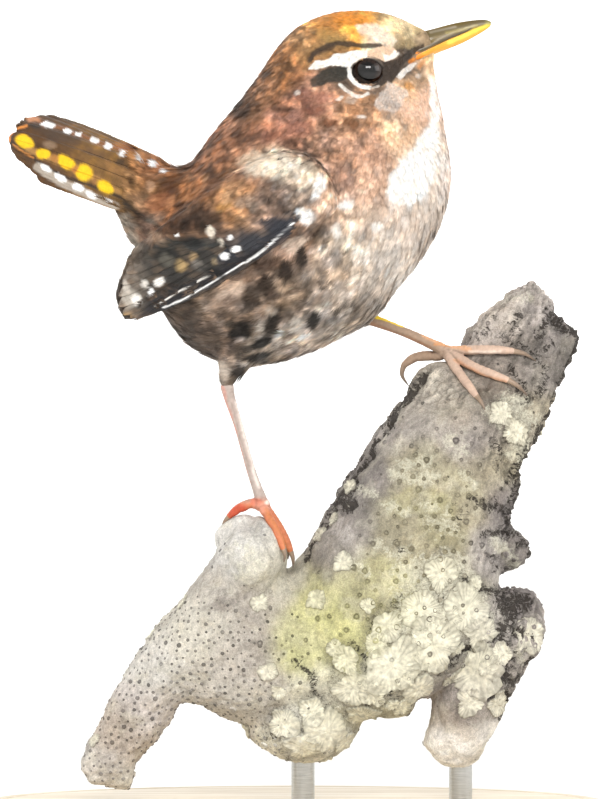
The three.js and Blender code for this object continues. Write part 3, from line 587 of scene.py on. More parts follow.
# Marks over the ground. Spots: ("o", x, y, reach x, reach y, turn, colour, strength, softness, wander).
# Bands: ("/", points, width, colour, strength, softness, wander). Areas: ("#", outline, colour, strength, softness, wander).
MARKS = [
    # throat and breast
    ("#", [(428, 74), (430, 103), (428, 126), (418, 134), (409, 150), (400, 160), (391, 172), (385, 190), (390, 202), (408, 205), (428, 190), (436, 165), (437, 140), (439, 110), (436, 84)], "#fdfaf5", 1.0, 5.0, 3.0),
    ("/", [(441, 82), (447, 120), (452, 160), (451, 195)], 9, "#ecd3c4", 0.55, 5, 2),
    ("o", 377, 226, 6, 5, 0, "#f8f4ee", 0.9, 0.5, 1.5), ("o", 336, 228, 4, 7, 0, "#f6f1ea", 0.9, 0.5, 1.5), ("o", 345, 204, 9, 4, 10, "#fbf6f0", 0.95, 0.5, 1.5),
    ("o", 318, 186, 6, 13, -12, "#fbf8f4", 0.95, 0.5, 2), ("o", 306, 214, 10, 6, -25, "#fbf8f4", 0.9, 0.5, 2),
    ("o", 343, 176, 9, 12, 20, "#c39a86", 0.4, 1, 3), ("o", 362, 196, 9, 8, 0, "#c7a28d", 0.4, 1, 3),
    # shoulder
    ("o", 268, 166, 25, 11, 12, "#f3e4cf", 0.75, 0.8, 5), ("o", 250, 158, 12, 6, 20, "#f0dcc2", 0.6, 0.8, 3), ("o", 262, 182, 10, 5, 10, "#8d6a55", 0.55, 0.8, 3),
    ("o", 297, 188, 12, 5, 10, "#7f7168", 0.5, 0.9, 3), ("o", 250, 202, 14, 6, 0, "#b6a291", 0.4, 0.9, 4), ("o", 226, 205, 9, 5, 0, "#b98a4c", 0.6, 0.9, 3),
    ("o", 238, 176, 10, 5, 20, "#62402f", 0.65, 0.6, 3.5), ("o", 214, 186, 8, 6, 30, "#6b4630", 0.65, 0.6, 3.5), ("o", 196, 196, 9, 6, 30, "#b47a4e", 0.6, 0.8, 4), ("o", 226, 196, 7, 5, 0, "#d0a67c", 0.6, 0.6, 3), ("o", 222, 158, 6, 4, 30, "#5f4132", 0.6, 0.6, 3), ("o", 205, 176, 5, 4, 30, "#b98a63", 0.6, 0.6, 3), ("o", 184, 204, 6, 5, 30, "#5a3d2b", 0.6, 0.6, 3),
    ("o", 276, 138, 12, 9, 0, "#8d5948", 0.45, 0.9, 4), ("o", 300, 130, 12, 7, 0, "#b9806c", 0.5, 0.9, 4), ("o", 255, 130, 10, 8, 30, "#6d4d3f", 0.45, 0.9, 4),
    # rear of the belly and the flank: blotches
    ("o", 302, 254, 5.5, 11, 14, "#221a14", 0.97, 0.42, 2.2), ("o", 323, 243, 3, 6, 0, "#4f4036", 0.85, 0.5, 1.6), ("o", 286, 268, 8, 10, 0, "#241b15", 0.95, 0.42, 2.6), ("o", 279, 258, 5, 4, 0, "#5b4a3f", 0.8, 0.5, 2),
    ("o", 315, 226, 4, 4, 0, "#7b6758", 0.7, 0.7, 2), ("o", 266, 285, 9, 12, 20, "#2c2119", 0.93, 0.45, 3), ("o", 252, 299, 8, 9, 20, "#30251c", 0.9, 0.45, 2.6), ("o", 276, 292, 6, 5, 0, "#54443a", 0.75, 0.5, 2),
    ("o", 294, 287, 7, 4.5, 0, "#49382c", 0.8, 0.5, 2.5), ("o", 315, 281, 6, 3.5, 0, "#6a5b4f", 0.7, 0.5, 2.2), ("o", 301, 301, 7, 4, 20, "#4d4036", 0.8, 0.5, 2.4), ("o", 322, 287, 3, 2.5, 0, "#5f5247", 0.7, 0.5, 1.4),
    ("o", 315, 317, 5.5, 11, -20, "#1d1a17", 0.97, 0.4, 2.2), ("o", 308, 309, 4, 3, 0, "#3a342e", 0.8, 0.5, 1.5), ("o", 336, 311, 3.4, 6, 0, "#413a33", 0.9, 0.45, 1.6), ("o", 345, 304, 5, 3.2, 0, "#574d44", 0.85, 0.5, 1.6),
    ("o", 354, 304, 3, 6, 10, "#554c44", 0.85, 0.5, 1.6), ("o", 372, 298, 7, 6, 0, "#8f867d", 0.45, 0.8, 3), ("o", 275, 319, 7, 17, -12, "#221d19", 0.95, 0.45, 2.6), ("o", 286, 330, 7, 4, 25, "#4a423a", 0.75, 0.5, 2.2),
    ("o", 243, 329, 11, 10, 0, "#171411", 0.97, 0.42, 3), ("o", 233, 322, 6, 5, 0, "#3b332c", 0.8, 0.5, 2.4), ("o", 262, 340, 12, 4.6, 22, "#191613", 0.97, 0.4, 1.8), ("o", 246, 346, 8, 3, 10, "#39322c", 0.85, 0.45, 1.6),
    ("o", 258, 354, 15, 4.2, 14, "#1c1916", 0.97, 0.4, 1.8), ("o", 246, 311, 6, 4, 20, "#3d332c", 0.8, 0.5, 2.2), ("o", 228, 300, 12, 6, 0, "#8d7463", 0.5, 0.8, 4),
    ("o", 234, 288, 13, 7, 20, "#d6bda9", 0.85, 0.6, 4), ("o", 216, 302, 9, 4, 20, "#c9ae99", 0.7, 0.6, 3), ("o", 268, 262, 12, 8, 25, "#4a382d", 0.75, 0.6, 3.5), ("o", 296, 243, 12, 6, 25, "#d8c4b3", 0.7, 0.6, 3), ("o", 272, 308, 6, 5, 0, "#c9b9a9", 0.7, 0.6, 2.5),
    ("o", 298, 322, 8, 9, 30, "#d6cdc2", 0.7, 0.6, 3), ("o", 262, 325, 4, 7, 0, "#c4b8ab", 0.8, 0.5, 2.4), ("o", 224, 314, 7, 5, 20, "#4a3e36", 0.7, 0.6, 3),
    ("o", 424, 256, 6, 12, 25, "#a29589", 0.55, 0.8, 3), ("o", 436, 222, 4, 10, 10, "#b5a69a", 0.5, 0.8, 3), ("/", [(395, 300), (350, 334), (300, 358), (262, 368)], 3, "#8c8178", 0.4, 3, 2),
    ("/", [(163, 300), (176, 325), (200, 350)], 5, "#4b4038", 0.6, 4, 2), ("o", 220, 372, 7, 14, 8, "#a3978a", 0.7, 0.7, 2), ("o", 238, 378, 6, 8, 0, "#50473f", 0.8, 0.7, 2),
    ("#", [(163, 300), (172, 292), (196, 300), (214, 316), (226, 336), (224, 356), (205, 354), (184, 338)], "#4c4037", 0.55, 6, 4), ("o", 226, 370, 5, 10, 0, "#d9cbbd", 0.75, 0.5, 1.6), ("o", 240, 370, 6, 7, 0, "#26211d", 0.9, 0.45, 1.8),
    # under the tail
    ("/", [(98, 190), (122, 202), (150, 219), (160, 226)], 4.5, "#2f2924", 0.85, 2.5, 1.5), ("o", 124, 232, 14, 11, 40, "#a4978a", 0.55, 0.9, 4), ("o", 142, 250, 10, 6, 30, "#4b433c", 0.6, 0.8, 3),
    ("o", 160, 199, 11, 8, 30, "#b07553", 0.6, 0.8, 4), ("o", 175, 190, 8, 6, 0, "#5d4031", 0.55, 0.8, 3), ("o", 158, 216, 9, 6, 20, "#9c8f81", 0.5, 0.9, 3),
    ("#", [(136.5, 161), (138, 155.5), (142, 158), (141, 163)], "#ffffff", 1.0, 1.0, 0.5), ("#", [(149, 166), (150, 160.5), (156.5, 163), (156, 168), (151, 168)], "#ffffff", 1.0, 1.0, 0.6), ("#", [(160.5, 172), (162.5, 168.5), (168, 171.5), (166, 173.5)], "#ffffff", 1.0, 1.0, 0.5),
    ("o", 142, 178, 9, 4, -25, "#7a5436", 0.55, 0.7, 3), ("o", 150, 186, 6, 4, 0, "#c9a384", 0.6, 0.7, 2.5), ("o", 166, 182, 7, 5, 20, "#5a3c29", 0.6, 0.6, 3), ("o", 172, 200, 6, 4, 30, "#c98d63", 0.6, 0.6, 3), ("o", 182, 178, 7, 5, 30, "#5d3f2d", 0.6, 0.6, 3),
    ("/", [(172, 290), (200, 279), (214, 273), (232, 262)], 5, "#2a2a2c", 0.95, 2, 0.5), ("o", 124, 222, 9, 6, 40, "#b3a899", 0.5, 0.8, 3), ("o", 134, 240, 7, 9, 20, "#c0b5a7", 0.5, 0.8, 3), ("o", 127, 252, 3, 8, 10, "#2f2a26", 0.7, 0.6, 1.5),
    ("o", 330, 296, 10, 7, 20, "#8b7e73", 0.6, 0.6, 4), ("o", 318, 298, 6, 5, 20, "#6a5c50", 0.6, 0.6, 3), ("o", 340, 286, 7, 4, 20, "#a2958a", 0.6, 0.6, 3), ("o", 166, 212, 6, 5, 30, "#5f412e", 0.7, 0.6, 3), ("o", 178, 216, 8, 4, 20, "#4b372a", 0.7, 0.6, 3), ("o", 215, 216, 13, 6, -10, "#4a382c", 0.75, 0.7, 4), ("o", 158, 236, 8, 5, 0, "#b59a82", 0.6, 0.8, 3),
    # head
    ("o", 350, 19, 17, 7, -8, "#ee9a3a", 0.8, 0.9, 3), ("o", 326, 27, 14, 8, -25, "#cf8d48", 0.6, 0.9, 3), ("o", 332, 38, 16, 8, -15, "#a98a52", 0.6, 0.9, 3), ("o", 305, 58, 9, 12, 20, "#a07a50", 0.5, 0.9, 3),
    # the pale forehead spot (#fde6bd) on the next line is a painted highlight
    ("o", 300, 76, 10, 9, 0, "#8a5e45", 0.5, 0.9, 3), ("o", 318, 50, 8, 6, 0, "#b58c5a", 0.5, 0.9, 2), ("o", 404, 21, 16, 7, 15, "#fde6bd", 0.7, 0.9, 3),
    ("#", [(356, 27), (366, 24), (376, 26), (386, 33), (396, 41), (390, 43), (380, 42), (370, 38), (362, 35)], "#f7e3d0", 0.85, 4, 2),
    ("o", 399, 44, 7, 4, 20, "#9a8768", 0.8, 0.8, 1.5), ("o", 409, 46, 8, 4, -25, "#a8926b", 0.8, 0.8, 1.5), ("o", 398, 36, 5, 3, 0, "#b7a284", 0.6, 0.8, 1.5),
    ("o", 307, 96, 10, 8, 0, "#95604f", 0.55, 0.9, 3), ("o", 325, 97, 9, 7, 0, "#a56b5a", 0.6, 0.9, 3), ("o", 316, 110, 10, 6, 0, "#8d5546", 0.5, 0.9, 3), ("o", 300, 116, 9, 7, 0, "#a17363", 0.5, 0.9, 3),
    ("o", 330, 124, 8, 5, 10, "#7d4c31", 0.65, 0.8, 3), ("o", 349, 123, 7, 5, 0, "#8a5836", 0.55, 0.8, 3), ("o", 354, 109, 9, 4, -15, "#9b6a44", 0.6, 0.8, 2.5), ("o", 339, 108, 5, 4, 0, "#584032", 0.55, 0.8, 2),
    ("o", 374, 99, 8, 5, -20, "#9c7350", 0.6, 0.8, 2.5), ("o", 352, 100, 7, 4, 10, "#b6a79a", 0.6, 0.8, 2),
    ("#", [(378, 96), (388, 82), (400, 86), (410, 92), (407, 98), (398, 107), (392, 110), (384, 108), (374, 106)], "#dccdc2", 0.78, 3.5, 3.0), ("o", 392, 103, 9, 3.5, -20, "#a89a90", 0.6, 0.7, 2), ("o", 409, 85, 5, 4, -30, "#cf9350", 0.75, 0.8, 1.5),
    ("/", [(310, 60), (316, 52), (326, 47), (338, 44.5), (352, 45), (366, 47.5), (380, 47)], 5.4, "#43372d", 0.92, 2.6, 1.2), ("/", [(311, 58), (320, 52), (334, 48)], 4.5, "#4a3c32", 0.7, 3, 1.5),
    ("#", [(351, 67.5), (349, 79), (341, 81), (330, 82), (322, 86), (312, 87), (311, 80), (316, 76), (322, 71.5), (335, 68)], "#3c3933", 0.93, 2.6, 1.4),
    ("#", [(382, 61), (392, 61), (404, 54), (414, 47), (424, 44), (424, 49), (411, 58), (402, 66), (396, 76), (392, 84), (387, 82), (384, 84), (378, 87), (370, 88), (376, 83), (383, 76)], "#413730", 0.93, 2.2, 1.0),
    ("#", [(308, 69.5), (315, 62), (322, 61.5), (329, 59.5), (334, 55), (344, 53.5), (350, 51.5), (367, 51.5), (368, 57.5), (358, 60), (352.5, 65), (350, 68), (343, 67.5), (331, 66), (322, 69), (316, 70)], "#f8f4ec", 1.0, 1.3, 0.7),
    ("#", [(366, 52), (375, 49.5), (386, 46.5), (394, 48.5), (399, 53), (394, 58), (385, 62), (380, 59.5), (373, 58), (367, 58)], "#edccaf", 1.0, 1.6, 0.8),
    ("#", [(382, 54), (389, 56), (394, 49.5), (399.5, 54), (394, 58.5), (385, 62)], "#fbf5ec", 0.95, 1.2, 0.6),
    ("#", [(396, 77), (402, 70), (411, 63), (417, 64), (408, 72), (400, 80)], "#f8f1ea", 0.95, 1.4, 0.7),
    ("/", [(410, 62), (414, 60)], 4.0, "#e58d33", 0.9, 1.8, 0.6), ("/", [(419, 68), (424, 62), (431, 56)], 4, "#e3a36a", 0.7, 2, 0.8),
    ("/", [(348.5, 70), (349.5, 77), (354, 83), (361, 87), (369, 88)], 4.2, "#faf6f0", 1.0, 1.3, 0.5), ("/", [(370, 88.5), (378, 86.5)], 2.2, "#d9cdc2", 0.7, 1.5, 0.5),
    ("/", [(340, 85), (345, 91), (353, 95.5), (362, 96.5), (368, 94)], 3.4, "#f3ebe2", 0.9, 1.6, 0.8), ("/", [(345, 86), (352, 91.5), (362, 93)], 2.2, "#75675b", 0.75, 1.4, 0.6), ("/", [(372, 93), (385, 87)], 3, "#6d5c50", 0.6, 2, 1),
    ("o", 339, 98.5, 4, 2, 20, "#efe5db", 0.8, 0.7, 0.8), ("o", 361, 116.5, 4.5, 1.8, -8, "#f1e3d8", 0.8, 0.7, 0.8), ("o", 298, 93, 3, 2.5, 30, "#eaddd2", 0.7, 0.7, 0.8), ("o", 417, 76, 2.5, 2, 0, "#f6ebe0", 0.7, 0.7, 0.6),
]


def inside_outline(x, y, pts):
    """Signed distance to a closed outline, below 0 inside."""
    p = np.array(pts, float)
    q = np.roll(p, -1, axis=0)
    best, inside = np.full(x.shape, 1e9), np.zeros(x.shape, bool)
    for (ax, ay), (bx, by) in zip(p, q):
        dx, dy = bx - ax, by - ay
        t = np.clip(((x - ax) * dx + (y - ay) * dy) / (dx * dx + dy * dy), 0, 1)
        best = np.minimum(best, np.hypot(x - ax - t * dx, y - ay - t * dy))
        cross = ((ay > y) != (by > y)) & (x < (bx - ax) * (y - ay) / (by - ay + 1e-12) + ax)
        inside ^= cross
    return np.where(inside, -best, best)


def along_line(x, y, pts):
    p = np.array(pts, float)
    best = np.full(x.shape, 1e9)
    for (ax, ay), (bx, by) in zip(p[:-1], p[1:]):
        dx, dy = bx - ax, by - ay
        t = np.clip(((x - ax) * dx + (y - ay) * dy) / (dx * dx + dy * dy), 0, 1)
        best = np.minimum(best, np.hypot(x - ax - t * dx, y - ay - t * dy))
    return best


def paint(colour, p, marks, seed=5):
    """Lays marks over colours at points p, in millimetres."""
    x, y = grid_of(p)
    q = np.stack([p[:, 0], np.abs(p[:, 1]) * 0.6, p[:, 2]], -1)
    wx, wy = fbm(q, 0.55, seed, 3), fbm(q, 0.55, seed + 40, 3)
    for m in marks:
        kind = m[0]
        if kind == "o":
            _, cx, cy, rx, ry, turn, code, strength, soft, wander = m
            reach = max(rx, ry) * (1 + soft) + wander + 2
            k = np.nonzero((np.abs(x - cx) < reach) & (np.abs(y - cy) < reach))[0]
            if not len(k):
                continue
            dx, dy = x[k] + wx[k] * wander * 2 - cx, y[k] + wy[k] * wander * 2 - cy
            a = math.radians(turn)
            u, v = (dx * math.cos(a) - dy * math.sin(a)) / rx, (dx * math.sin(a) + dy * math.cos(a)) / ry
            f = 1 - smooth(1 - soft * 0.5, 1 + soft * 0.5, np.hypot(u, v))
        else:
            if kind == "/":
                _, pts, width, code, strength, soft, wander = m
                width = width / 2
            else:
                _, pts, code, strength, soft, wander = m
                width = 0
            a = np.array(pts, float)
            r = width + soft + wander * 2 + 2
            k = np.nonzero((x > a[:, 0].min() - r) & (x < a[:, 0].max() + r) & (y > a[:, 1].min() - r) & (y < a[:, 1].max() + r))[0]
            if not len(k):
                continue
            xx, yy = x[k] + wx[k] * wander * 2, y[k] + wy[k] * wander * 2
            d = along_line(xx, yy, pts) - width if kind == "/" else inside_outline(xx, yy, pts)
            f = 1 - smooth(-soft / 2, soft / 2, d)
        colour[k] += (lin(code) - colour[k]) * (f * strength)[:, None]
    return colour


def plumage(p, wander=1.0):
    """Colour of the plumage at points p, in millimetres."""
    p = np.asarray(p, float)
    x, y = grid_of(p)
    q = np.stack([p[:, 0], np.abs(p[:, 1]) * 0.7, p[:, 2]], -1)
    x = x + wander * 7 * fbm(q, 0.33, 3, 3)
    y = y + wander * 7 * fbm(q, 0.33, 9, 3)
    total, colour = np.full(len(p), 1e-9), np.zeros((len(p), 3))
    for gx0, gy0, reach, code in GROUND:
        w = np.exp(-((x - gx0) ** 2 + (y - gy0) ** 2) / (2 * (reach * 0.8) ** 2)) + 1e-6 / (1 + ((x - gx0) ** 2 + (y - gy0) ** 2) / 900) ** 3
        total += w
        colour += w[:, None] * np.sqrt(lin(code))
    colour = (colour / total[:, None]) ** 2
    # a grained, uneven tone over all of it, stronger on the back than on the breast
    calm = np.maximum(smooth(335, 385, x) * smooth(118, 150, y), smooth(392, 412, x) * smooth(84, 104, y))
    face = smooth(128, 108, y) * smooth(300, 325, x)
    k = 1 - 0.75 * calm - 0.35 * face
    warm = fbm(q, 0.55, 77, 2)
    tone = np.exp(k * (1.55 * fbm(q, 0.42, 21, 3) + 1.2 * fbm(q, 1.15, 27, 2)) - 0.03 * k)
    colour = colour * tone[:, None] * np.stack([1 + 0.10 * warm * k, np.ones(len(p)), 1 - 0.16 * warm * k], -1)
    return paint(np.clip(colour, 0, 1), p, MARKS)


# ------------------------------------------------------------------ skin under the feathers
BODY_LOFTS = [profile_loft(HEAD, 60, 64), profile_loft(BODY, 90, 96), profile_loft(RUMP, 40, 48)]
THIGH_LOFTS = [limb(THIGH[s], 28, 28) for s in (-1, 1)]
skin_v, skin_f = remesh(BODY_LOFTS + THIGH_LOFTS, 0.55)
skin_v = relax(skin_v, skin_f, 10, 0.5)
sx, sy = grid_of(skin_v)
n = normals(skin_v, skin_f)
near_bill = smooth(46, 4, np.hypot(sx - 434, (sy - 44)))
on_head = smooth(135, 100, sy) * smooth(255, 300, sx)
on_thigh = smooth(352, 372, sy) * smooth(262, 245, sx)
on_left_thigh = smooth(345, 360, sx) * smooth(296, 308, sy)
coat = 0.95 - 0.42 * on_head - 0.25 * near_bill - 0.35 * np.maximum(on_thigh, on_left_thigh)
skin_v = skin_v - n * coat[:, None]
skin_v = relax(skin_v, skin_f, 3, 0.4)


BILL = [
    [413, 34, 409, 60, 413, 66, 2.5], [430, 30.0, 429, 50.5, 436, 54, 2.0], [445, 26, 445, 42.5, 450, 48.5, 1.35], [460, 22.6, 460, 36, 464, 42.5, 1.0],
    [474, 20.6, 474, 30, 477, 35.5, 0.72], [485, 20.2, 485, 26, 486.5, 29.5, 0.5], [491, 22, 491, 24, 490.5, 26.3, 0.26],
]


def bill_band(x, y):
    """Half width of the bill at a place of the side view, mm, and how far up or down from its middle the place is, in half heights."""
    b = np.array(BILL)
    top, low = np.interp(x, b[:, 0], b[:, 1]), np.interp(x, b[:, 4], b[:, 5])
    return np.interp(x, b[:, 0], b[:, 6]), (y - (top + low) / 2) / np.maximum((low - top) / 2, 1)


def taper(v):
    """Narrows the face to the sides of the bill."""
    x, y = grid_of(v)
    half, c = bill_band(x, y)
    goal = half * np.sqrt(np.maximum(1 - np.clip(c, -0.96, 0.96) ** 2, 0)) ** 0.8 - 0.12 + 0.9 * smooth(0.95, 1.9, np.abs(c))
    w = smooth(399, 417, x) * smooth(2.1, 1.2, np.abs(c))
    out = v.copy()
    out[:, 1] = np.sign(v[:, 1]) * (np.abs(v[:, 1]) + np.minimum(np.maximum(goal, 0.3) - np.abs(v[:, 1]), 0) * w)
    return out


skin_v = relax(taper(skin_v), skin_f, 2, 0.3, weight=smooth(395, 410, grid_of(skin_v)[0]))

def socket(v):
    """Sinks the skin behind the eyeball, inside the rim of the lids."""
    x, y = grid_of(v)
    e = np.hypot((x - EYE_AT[0]) / 15.2, (y - EYE_AT[1]) / 12.6)
    rho2 = ((x - EYE_AT[0]) ** 2 + (y - EYE_AT[1]) ** 2) * GRID ** 2
    deep = EYE_Y + np.sqrt(np.maximum(EYE_R ** 2 - rho2, 0)) - 0.5
    w = smooth(1.24, 1.02, e) * (np.abs(v[:, 1]) > 3)
    out = v.copy()
    out[:, 1] = np.sign(v[:, 1]) * (np.abs(v[:, 1]) + (np.minimum(np.abs(v[:, 1]), deep) - np.abs(v[:, 1])) * w)
    return out


whole_skin = skin_v
skin_v = socket(skin_v)

# What feathers lie on: the skin with the two folded wings' inner mass, which stands up under the coverts.
FLIGHT_AREA = [(306, 206), (297, 222), (272, 250), (240, 266), (210, 283), (184, 298), (160, 311), (141, 321), (116, 322), (110, 297), (120, 272), (134, 252), (152, 238), (176, 230), (200, 228), (225, 222),
               (250, 222), (270, 216), (288, 208)]
WING_LOW = 0.95  # depth of the wing's inner mass under its outer face, mm


def wing_mass(depth, proud=0.0):
    top = wing_sheet(36, 16, over=-0.03, lift=-depth)
    low = top.copy()
    if proud:
        x, y = grid_of(top.reshape(-1, 3))
        top[..., 1] += (proud * smooth(-7, 5, inside_outline(x, y, FLIGHT_AREA)) * smooth(120, 150, x)).reshape(top.shape[:2])
    low[..., 1] -= 1.2 + 2.4 * np.linspace(1, 0, 36)[:, None] ** 0.6
    rings = np.concatenate([top, low[:, ::-1]], 1)
    return closed_rings(rings)


def tail_sheet(nt, nv, over, lift, end):
    s = np.array(TAIL, float)
    t = np.linspace(0, 1, nt)
    U, Lw = Curve(at(s[:, 0], s[:, 1], s[:, 4])), Curve(at(s[:, 2], s[:, 3], s[:, 5]))
    u, l = U.at(t), Lw.at(t)
    axis = unit(U.tangent(t) + Lw.tangent(t))
    u = np.concatenate([u[:1] - (u[1:2] - u[:1]) * end[0] * nt, u, u[-1:] + (u[-1:] - u[-2:-1]) * end[1] * nt])
    l = np.concatenate([l[:1] - (l[1:2] - l[:1]) * end[0] * nt, l, l[-1:] + (l[-1:] - l[-2:-1]) * end[1] * nt])
    axis = np.concatenate([axis[:1], axis, axis[-1:]])
    chord = l - u
    up = unit(np.cross(axis, unit(chord)))
    v = np.linspace(-over, 1 + over, nv)
    return u[:, None] + chord[:, None] * v[None, :, None] + up[:, None] * (0.9 * (1 - np.minimum((2 * v - 1) ** 2, 1.6)) + lift)[None, :, None]


def tail_core():
    """The base of the tail, under the coverts that lie over it."""
    top, low = tail_sheet(40, 16, -0.04, 0.62, (0, 0))[1:24], tail_sheet(40, 16, -0.04, -1.0, (0, 0))[1:24]
    return closed_rings(np.concatenate([top, low[:, ::-1]], 1))


wing_core = wing_mass(WING_LOW)
covert_core = wing_mass(WING_LOW, 1.12)
bed_v, bed_f = remesh([(whole_skin, skin_f), covert_core, mirrored(*covert_core), tail_core()], 0.45)
bed_v = relax(bed_v, bed_f, 14, 0.5)
bx, by = grid_of(bed_v)
bed_n = normals(bed_v, bed_f)
bed_v = bed_v + bed_n * (1.25 * np.exp(-((bx - 133) / 15) ** 2 - ((by - 240) / 22) ** 2) * smooth(0.75, 0.25, np.abs(bed_n[:, 1])))[:, None]
BED = Surface(bed_v, bed_f, 10)
SKIN = Surface(skin_v, skin_f, 4)

# ------------------------------------------------------------------ how the plumage lies
# Lie of the feathers: x, y, reach on the grid, direction x, y.
LIE = [
    (428, 27, 12, -1, -0.35), (402, 17, 16, -1, -0.15), (370, 9, 18, -1, -0.02), (335, 11, 18, -0.97, 0.2), (309, 19, 16, -0.85, 0.5), (289, 31, 16, -0.72, 0.7),
    (272, 52, 18, -0.6, 0.8), (258, 80, 22, -0.55, 0.83), (240, 98, 25, -0.6, 0.8), (215, 128, 30, -0.6, 0.8), (190, 162, 22, -0.68, 0.73),
    (414, 40, 10, -1, -0.05), (402, 50, 10, -1, 0.02), (385, 38, 12, -1, 0.02), (350, 35, 15, -0.97, 0.15), (315, 45, 16, -0.88, 0.4), (396, 66, 8, -1, 0.2),
    (402, 80, 9, -0.8, 0.5), (340, 72, 14, -0.97, 0.2), (310, 80, 16, -0.85, 0.5), (350, 95, 13, -0.9, 0.42), (378, 100, 12, -0.8, 0.6), (320, 110, 18, -0.75, 0.65),
    (285, 100, 18, -0.6, 0.8), (345, 130, 20, -0.6, 0.8), (300, 140, 22, -0.6, 0.8),
    (434, 60, 8, -0.45, 0.9), (422, 82, 12, -0.35, 1), (408, 110, 15, -0.35, 1), (434, 100, 14, 0.05, 1), (425, 130, 18, -0.05, 1), (395, 140, 18, -0.35, 1),
    (447, 140, 18, 0.08, 1), (452, 172, 20, 0, 1), (430, 180, 22, -0.1, 1), (400, 190, 25, -0.25, 1), (365, 180, 25, -0.45, 0.9), (335, 170, 20, -0.6, 0.8),
    (448, 215, 18, -0.25, 1), (427, 250, 22, -0.6, 0.8), (402, 282, 22, -0.75, 0.65), (375, 314, 20, -0.88, 0.48), (340, 340, 20, -0.95, 0.3), (297, 360, 20, -1, 0.1),
    (252, 368, 16, -1, 0.0), (395, 230, 25, -0.4, 0.92), (350, 230, 28, -0.55, 0.85), (360, 270, 28, -0.7, 0.7), (320, 290, 28, -0.8, 0.6), (300, 250, 25, -0.7, 0.7),
    (280, 320, 28, -0.9, 0.4), (240, 310, 28, -0.9, 0.3), (260, 280, 25, -0.8, 0.5), (220, 340, 22, -0.95, 0.1), (200, 345, 16, -0.9, -0.3), (190, 300, 22, -0.95, 0),
    (175, 320, 14, -0.8, -0.5), (160, 300, 14, -0.7, -0.7), (150, 280, 16, -0.7, -0.7), (140, 255, 18, -0.75, -0.6), (120, 230, 18, -0.85, -0.45),
    (172, 170, 13, -0.95, -0.2), (155, 180, 13, -0.92, -0.38), (140, 190, 14, -0.92, -0.42), (148, 212, 14, -0.92, -0.4), (166, 200, 14, -0.95, -0.2),
    (195, 190, 20, -0.8, 0.5), (220, 170, 22, -0.7, 0.7), (250, 150, 22, -0.65, 0.75), (180, 220, 20, -0.93, 0.2), (160, 240, 18, -0.9, -0.2),
    (275, 160, 22, -0.75, 0.65), (300, 180, 18, -0.7, 0.7), (260, 190, 22, -0.9, 0.42), (230, 200, 22, -0.92, 0.36), (314, 205, 14, -0.65, 0.75),
]
# Length of the feathers, mm: x, y, reach on the grid, length.
LONG = [
    (438, 45, 8, 0.65), (426, 29, 9, 0.85), (402, 18, 12, 1.15), (370, 12, 14, 1.4), (335, 14, 14, 1.65), (305, 30, 14, 2.0), (280, 50, 14, 2.5), (262, 80, 16, 3.1),
    (240, 100, 18, 3.7), (407, 45, 9, 0.85), (386, 40, 10, 1.05), (350, 38, 12, 1.3), (320, 50, 12, 1.65), (398, 66, 8, 0.75), (386, 86, 8, 0.95), (367, 72, 12, 0.75),
    (345, 80, 8, 0.95), (320, 80, 12, 1.55), (350, 100, 12, 1.35), (325, 105, 14, 1.9), (300, 100, 14, 2.4), (380, 107, 10, 1.35), (432, 60, 8, 0.8), (421, 80, 10, 1.1),
    (411, 105, 12, 1.6), (427, 120, 14, 2.0), (400, 140, 15, 2.5), (360, 137, 15, 2.7), (320, 142, 16, 3.1), (285, 132, 16, 3.3), (447, 150, 15, 2.8), (430, 180, 18, 3.3),
    (400, 190, 18, 3.5), (365, 180, 18, 3.3), (335, 178, 15, 3.1), (446, 215, 18, 3.9), (410, 230, 20, 4.3), (370, 230, 20, 4.3), (420, 260, 18, 4.7), (380, 280, 20, 5.1),
    (340, 250, 20, 4.9), (330, 300, 22, 5.5), (290, 270, 20, 5.2), (280, 330, 20, 5.6), (240, 300, 20, 5.4), (230, 345, 16, 4.4), (200, 320, 16, 5.2), (180, 290, 16, 5.0),
    (155, 270, 14, 4.6), (140, 240, 14, 4.3), (118, 220, 12, 4.2), (215, 140, 18, 4.1), (190, 170, 16, 4.0), (230, 170, 18, 4.3), (260, 170, 18, 4.3), (290, 170, 14, 3.4),
    (312, 190, 12, 2.9), (260, 195, 14, 3.0), (220, 200, 16, 3.4), (285, 200, 10, 2.6), (240, 215, 12, 2.9), (190, 218, 12, 3.4), (170, 185, 12, 4.4), (150, 182, 10, 5.6), (148, 195, 12, 5.6), (165, 215, 12, 4.4), (168, 168, 10, 4.6),
]
THIGH_LINES = {s: limb_frame(THIGH[s], np.linspace(0, 1, 40)) for s in (-1, 1)}


def blend_places(x, y, places, width):
    """Weighted mean of the values that named places hold, with the reach of each."""
    total, out = np.zeros(len(x)), np.zeros((len(x), width))
    for place in places:
        px, py, reach = place[:3]
        d2 = (x - px) ** 2 + (y - py) ** 2
        w = np.exp(-d2 / (2 * reach * reach)) + 1e-7 / (1 + d2 / 400) ** 2
        total += w
        out += w[:, None] * np.array(place[3:], float)
    return out / total[:, None]


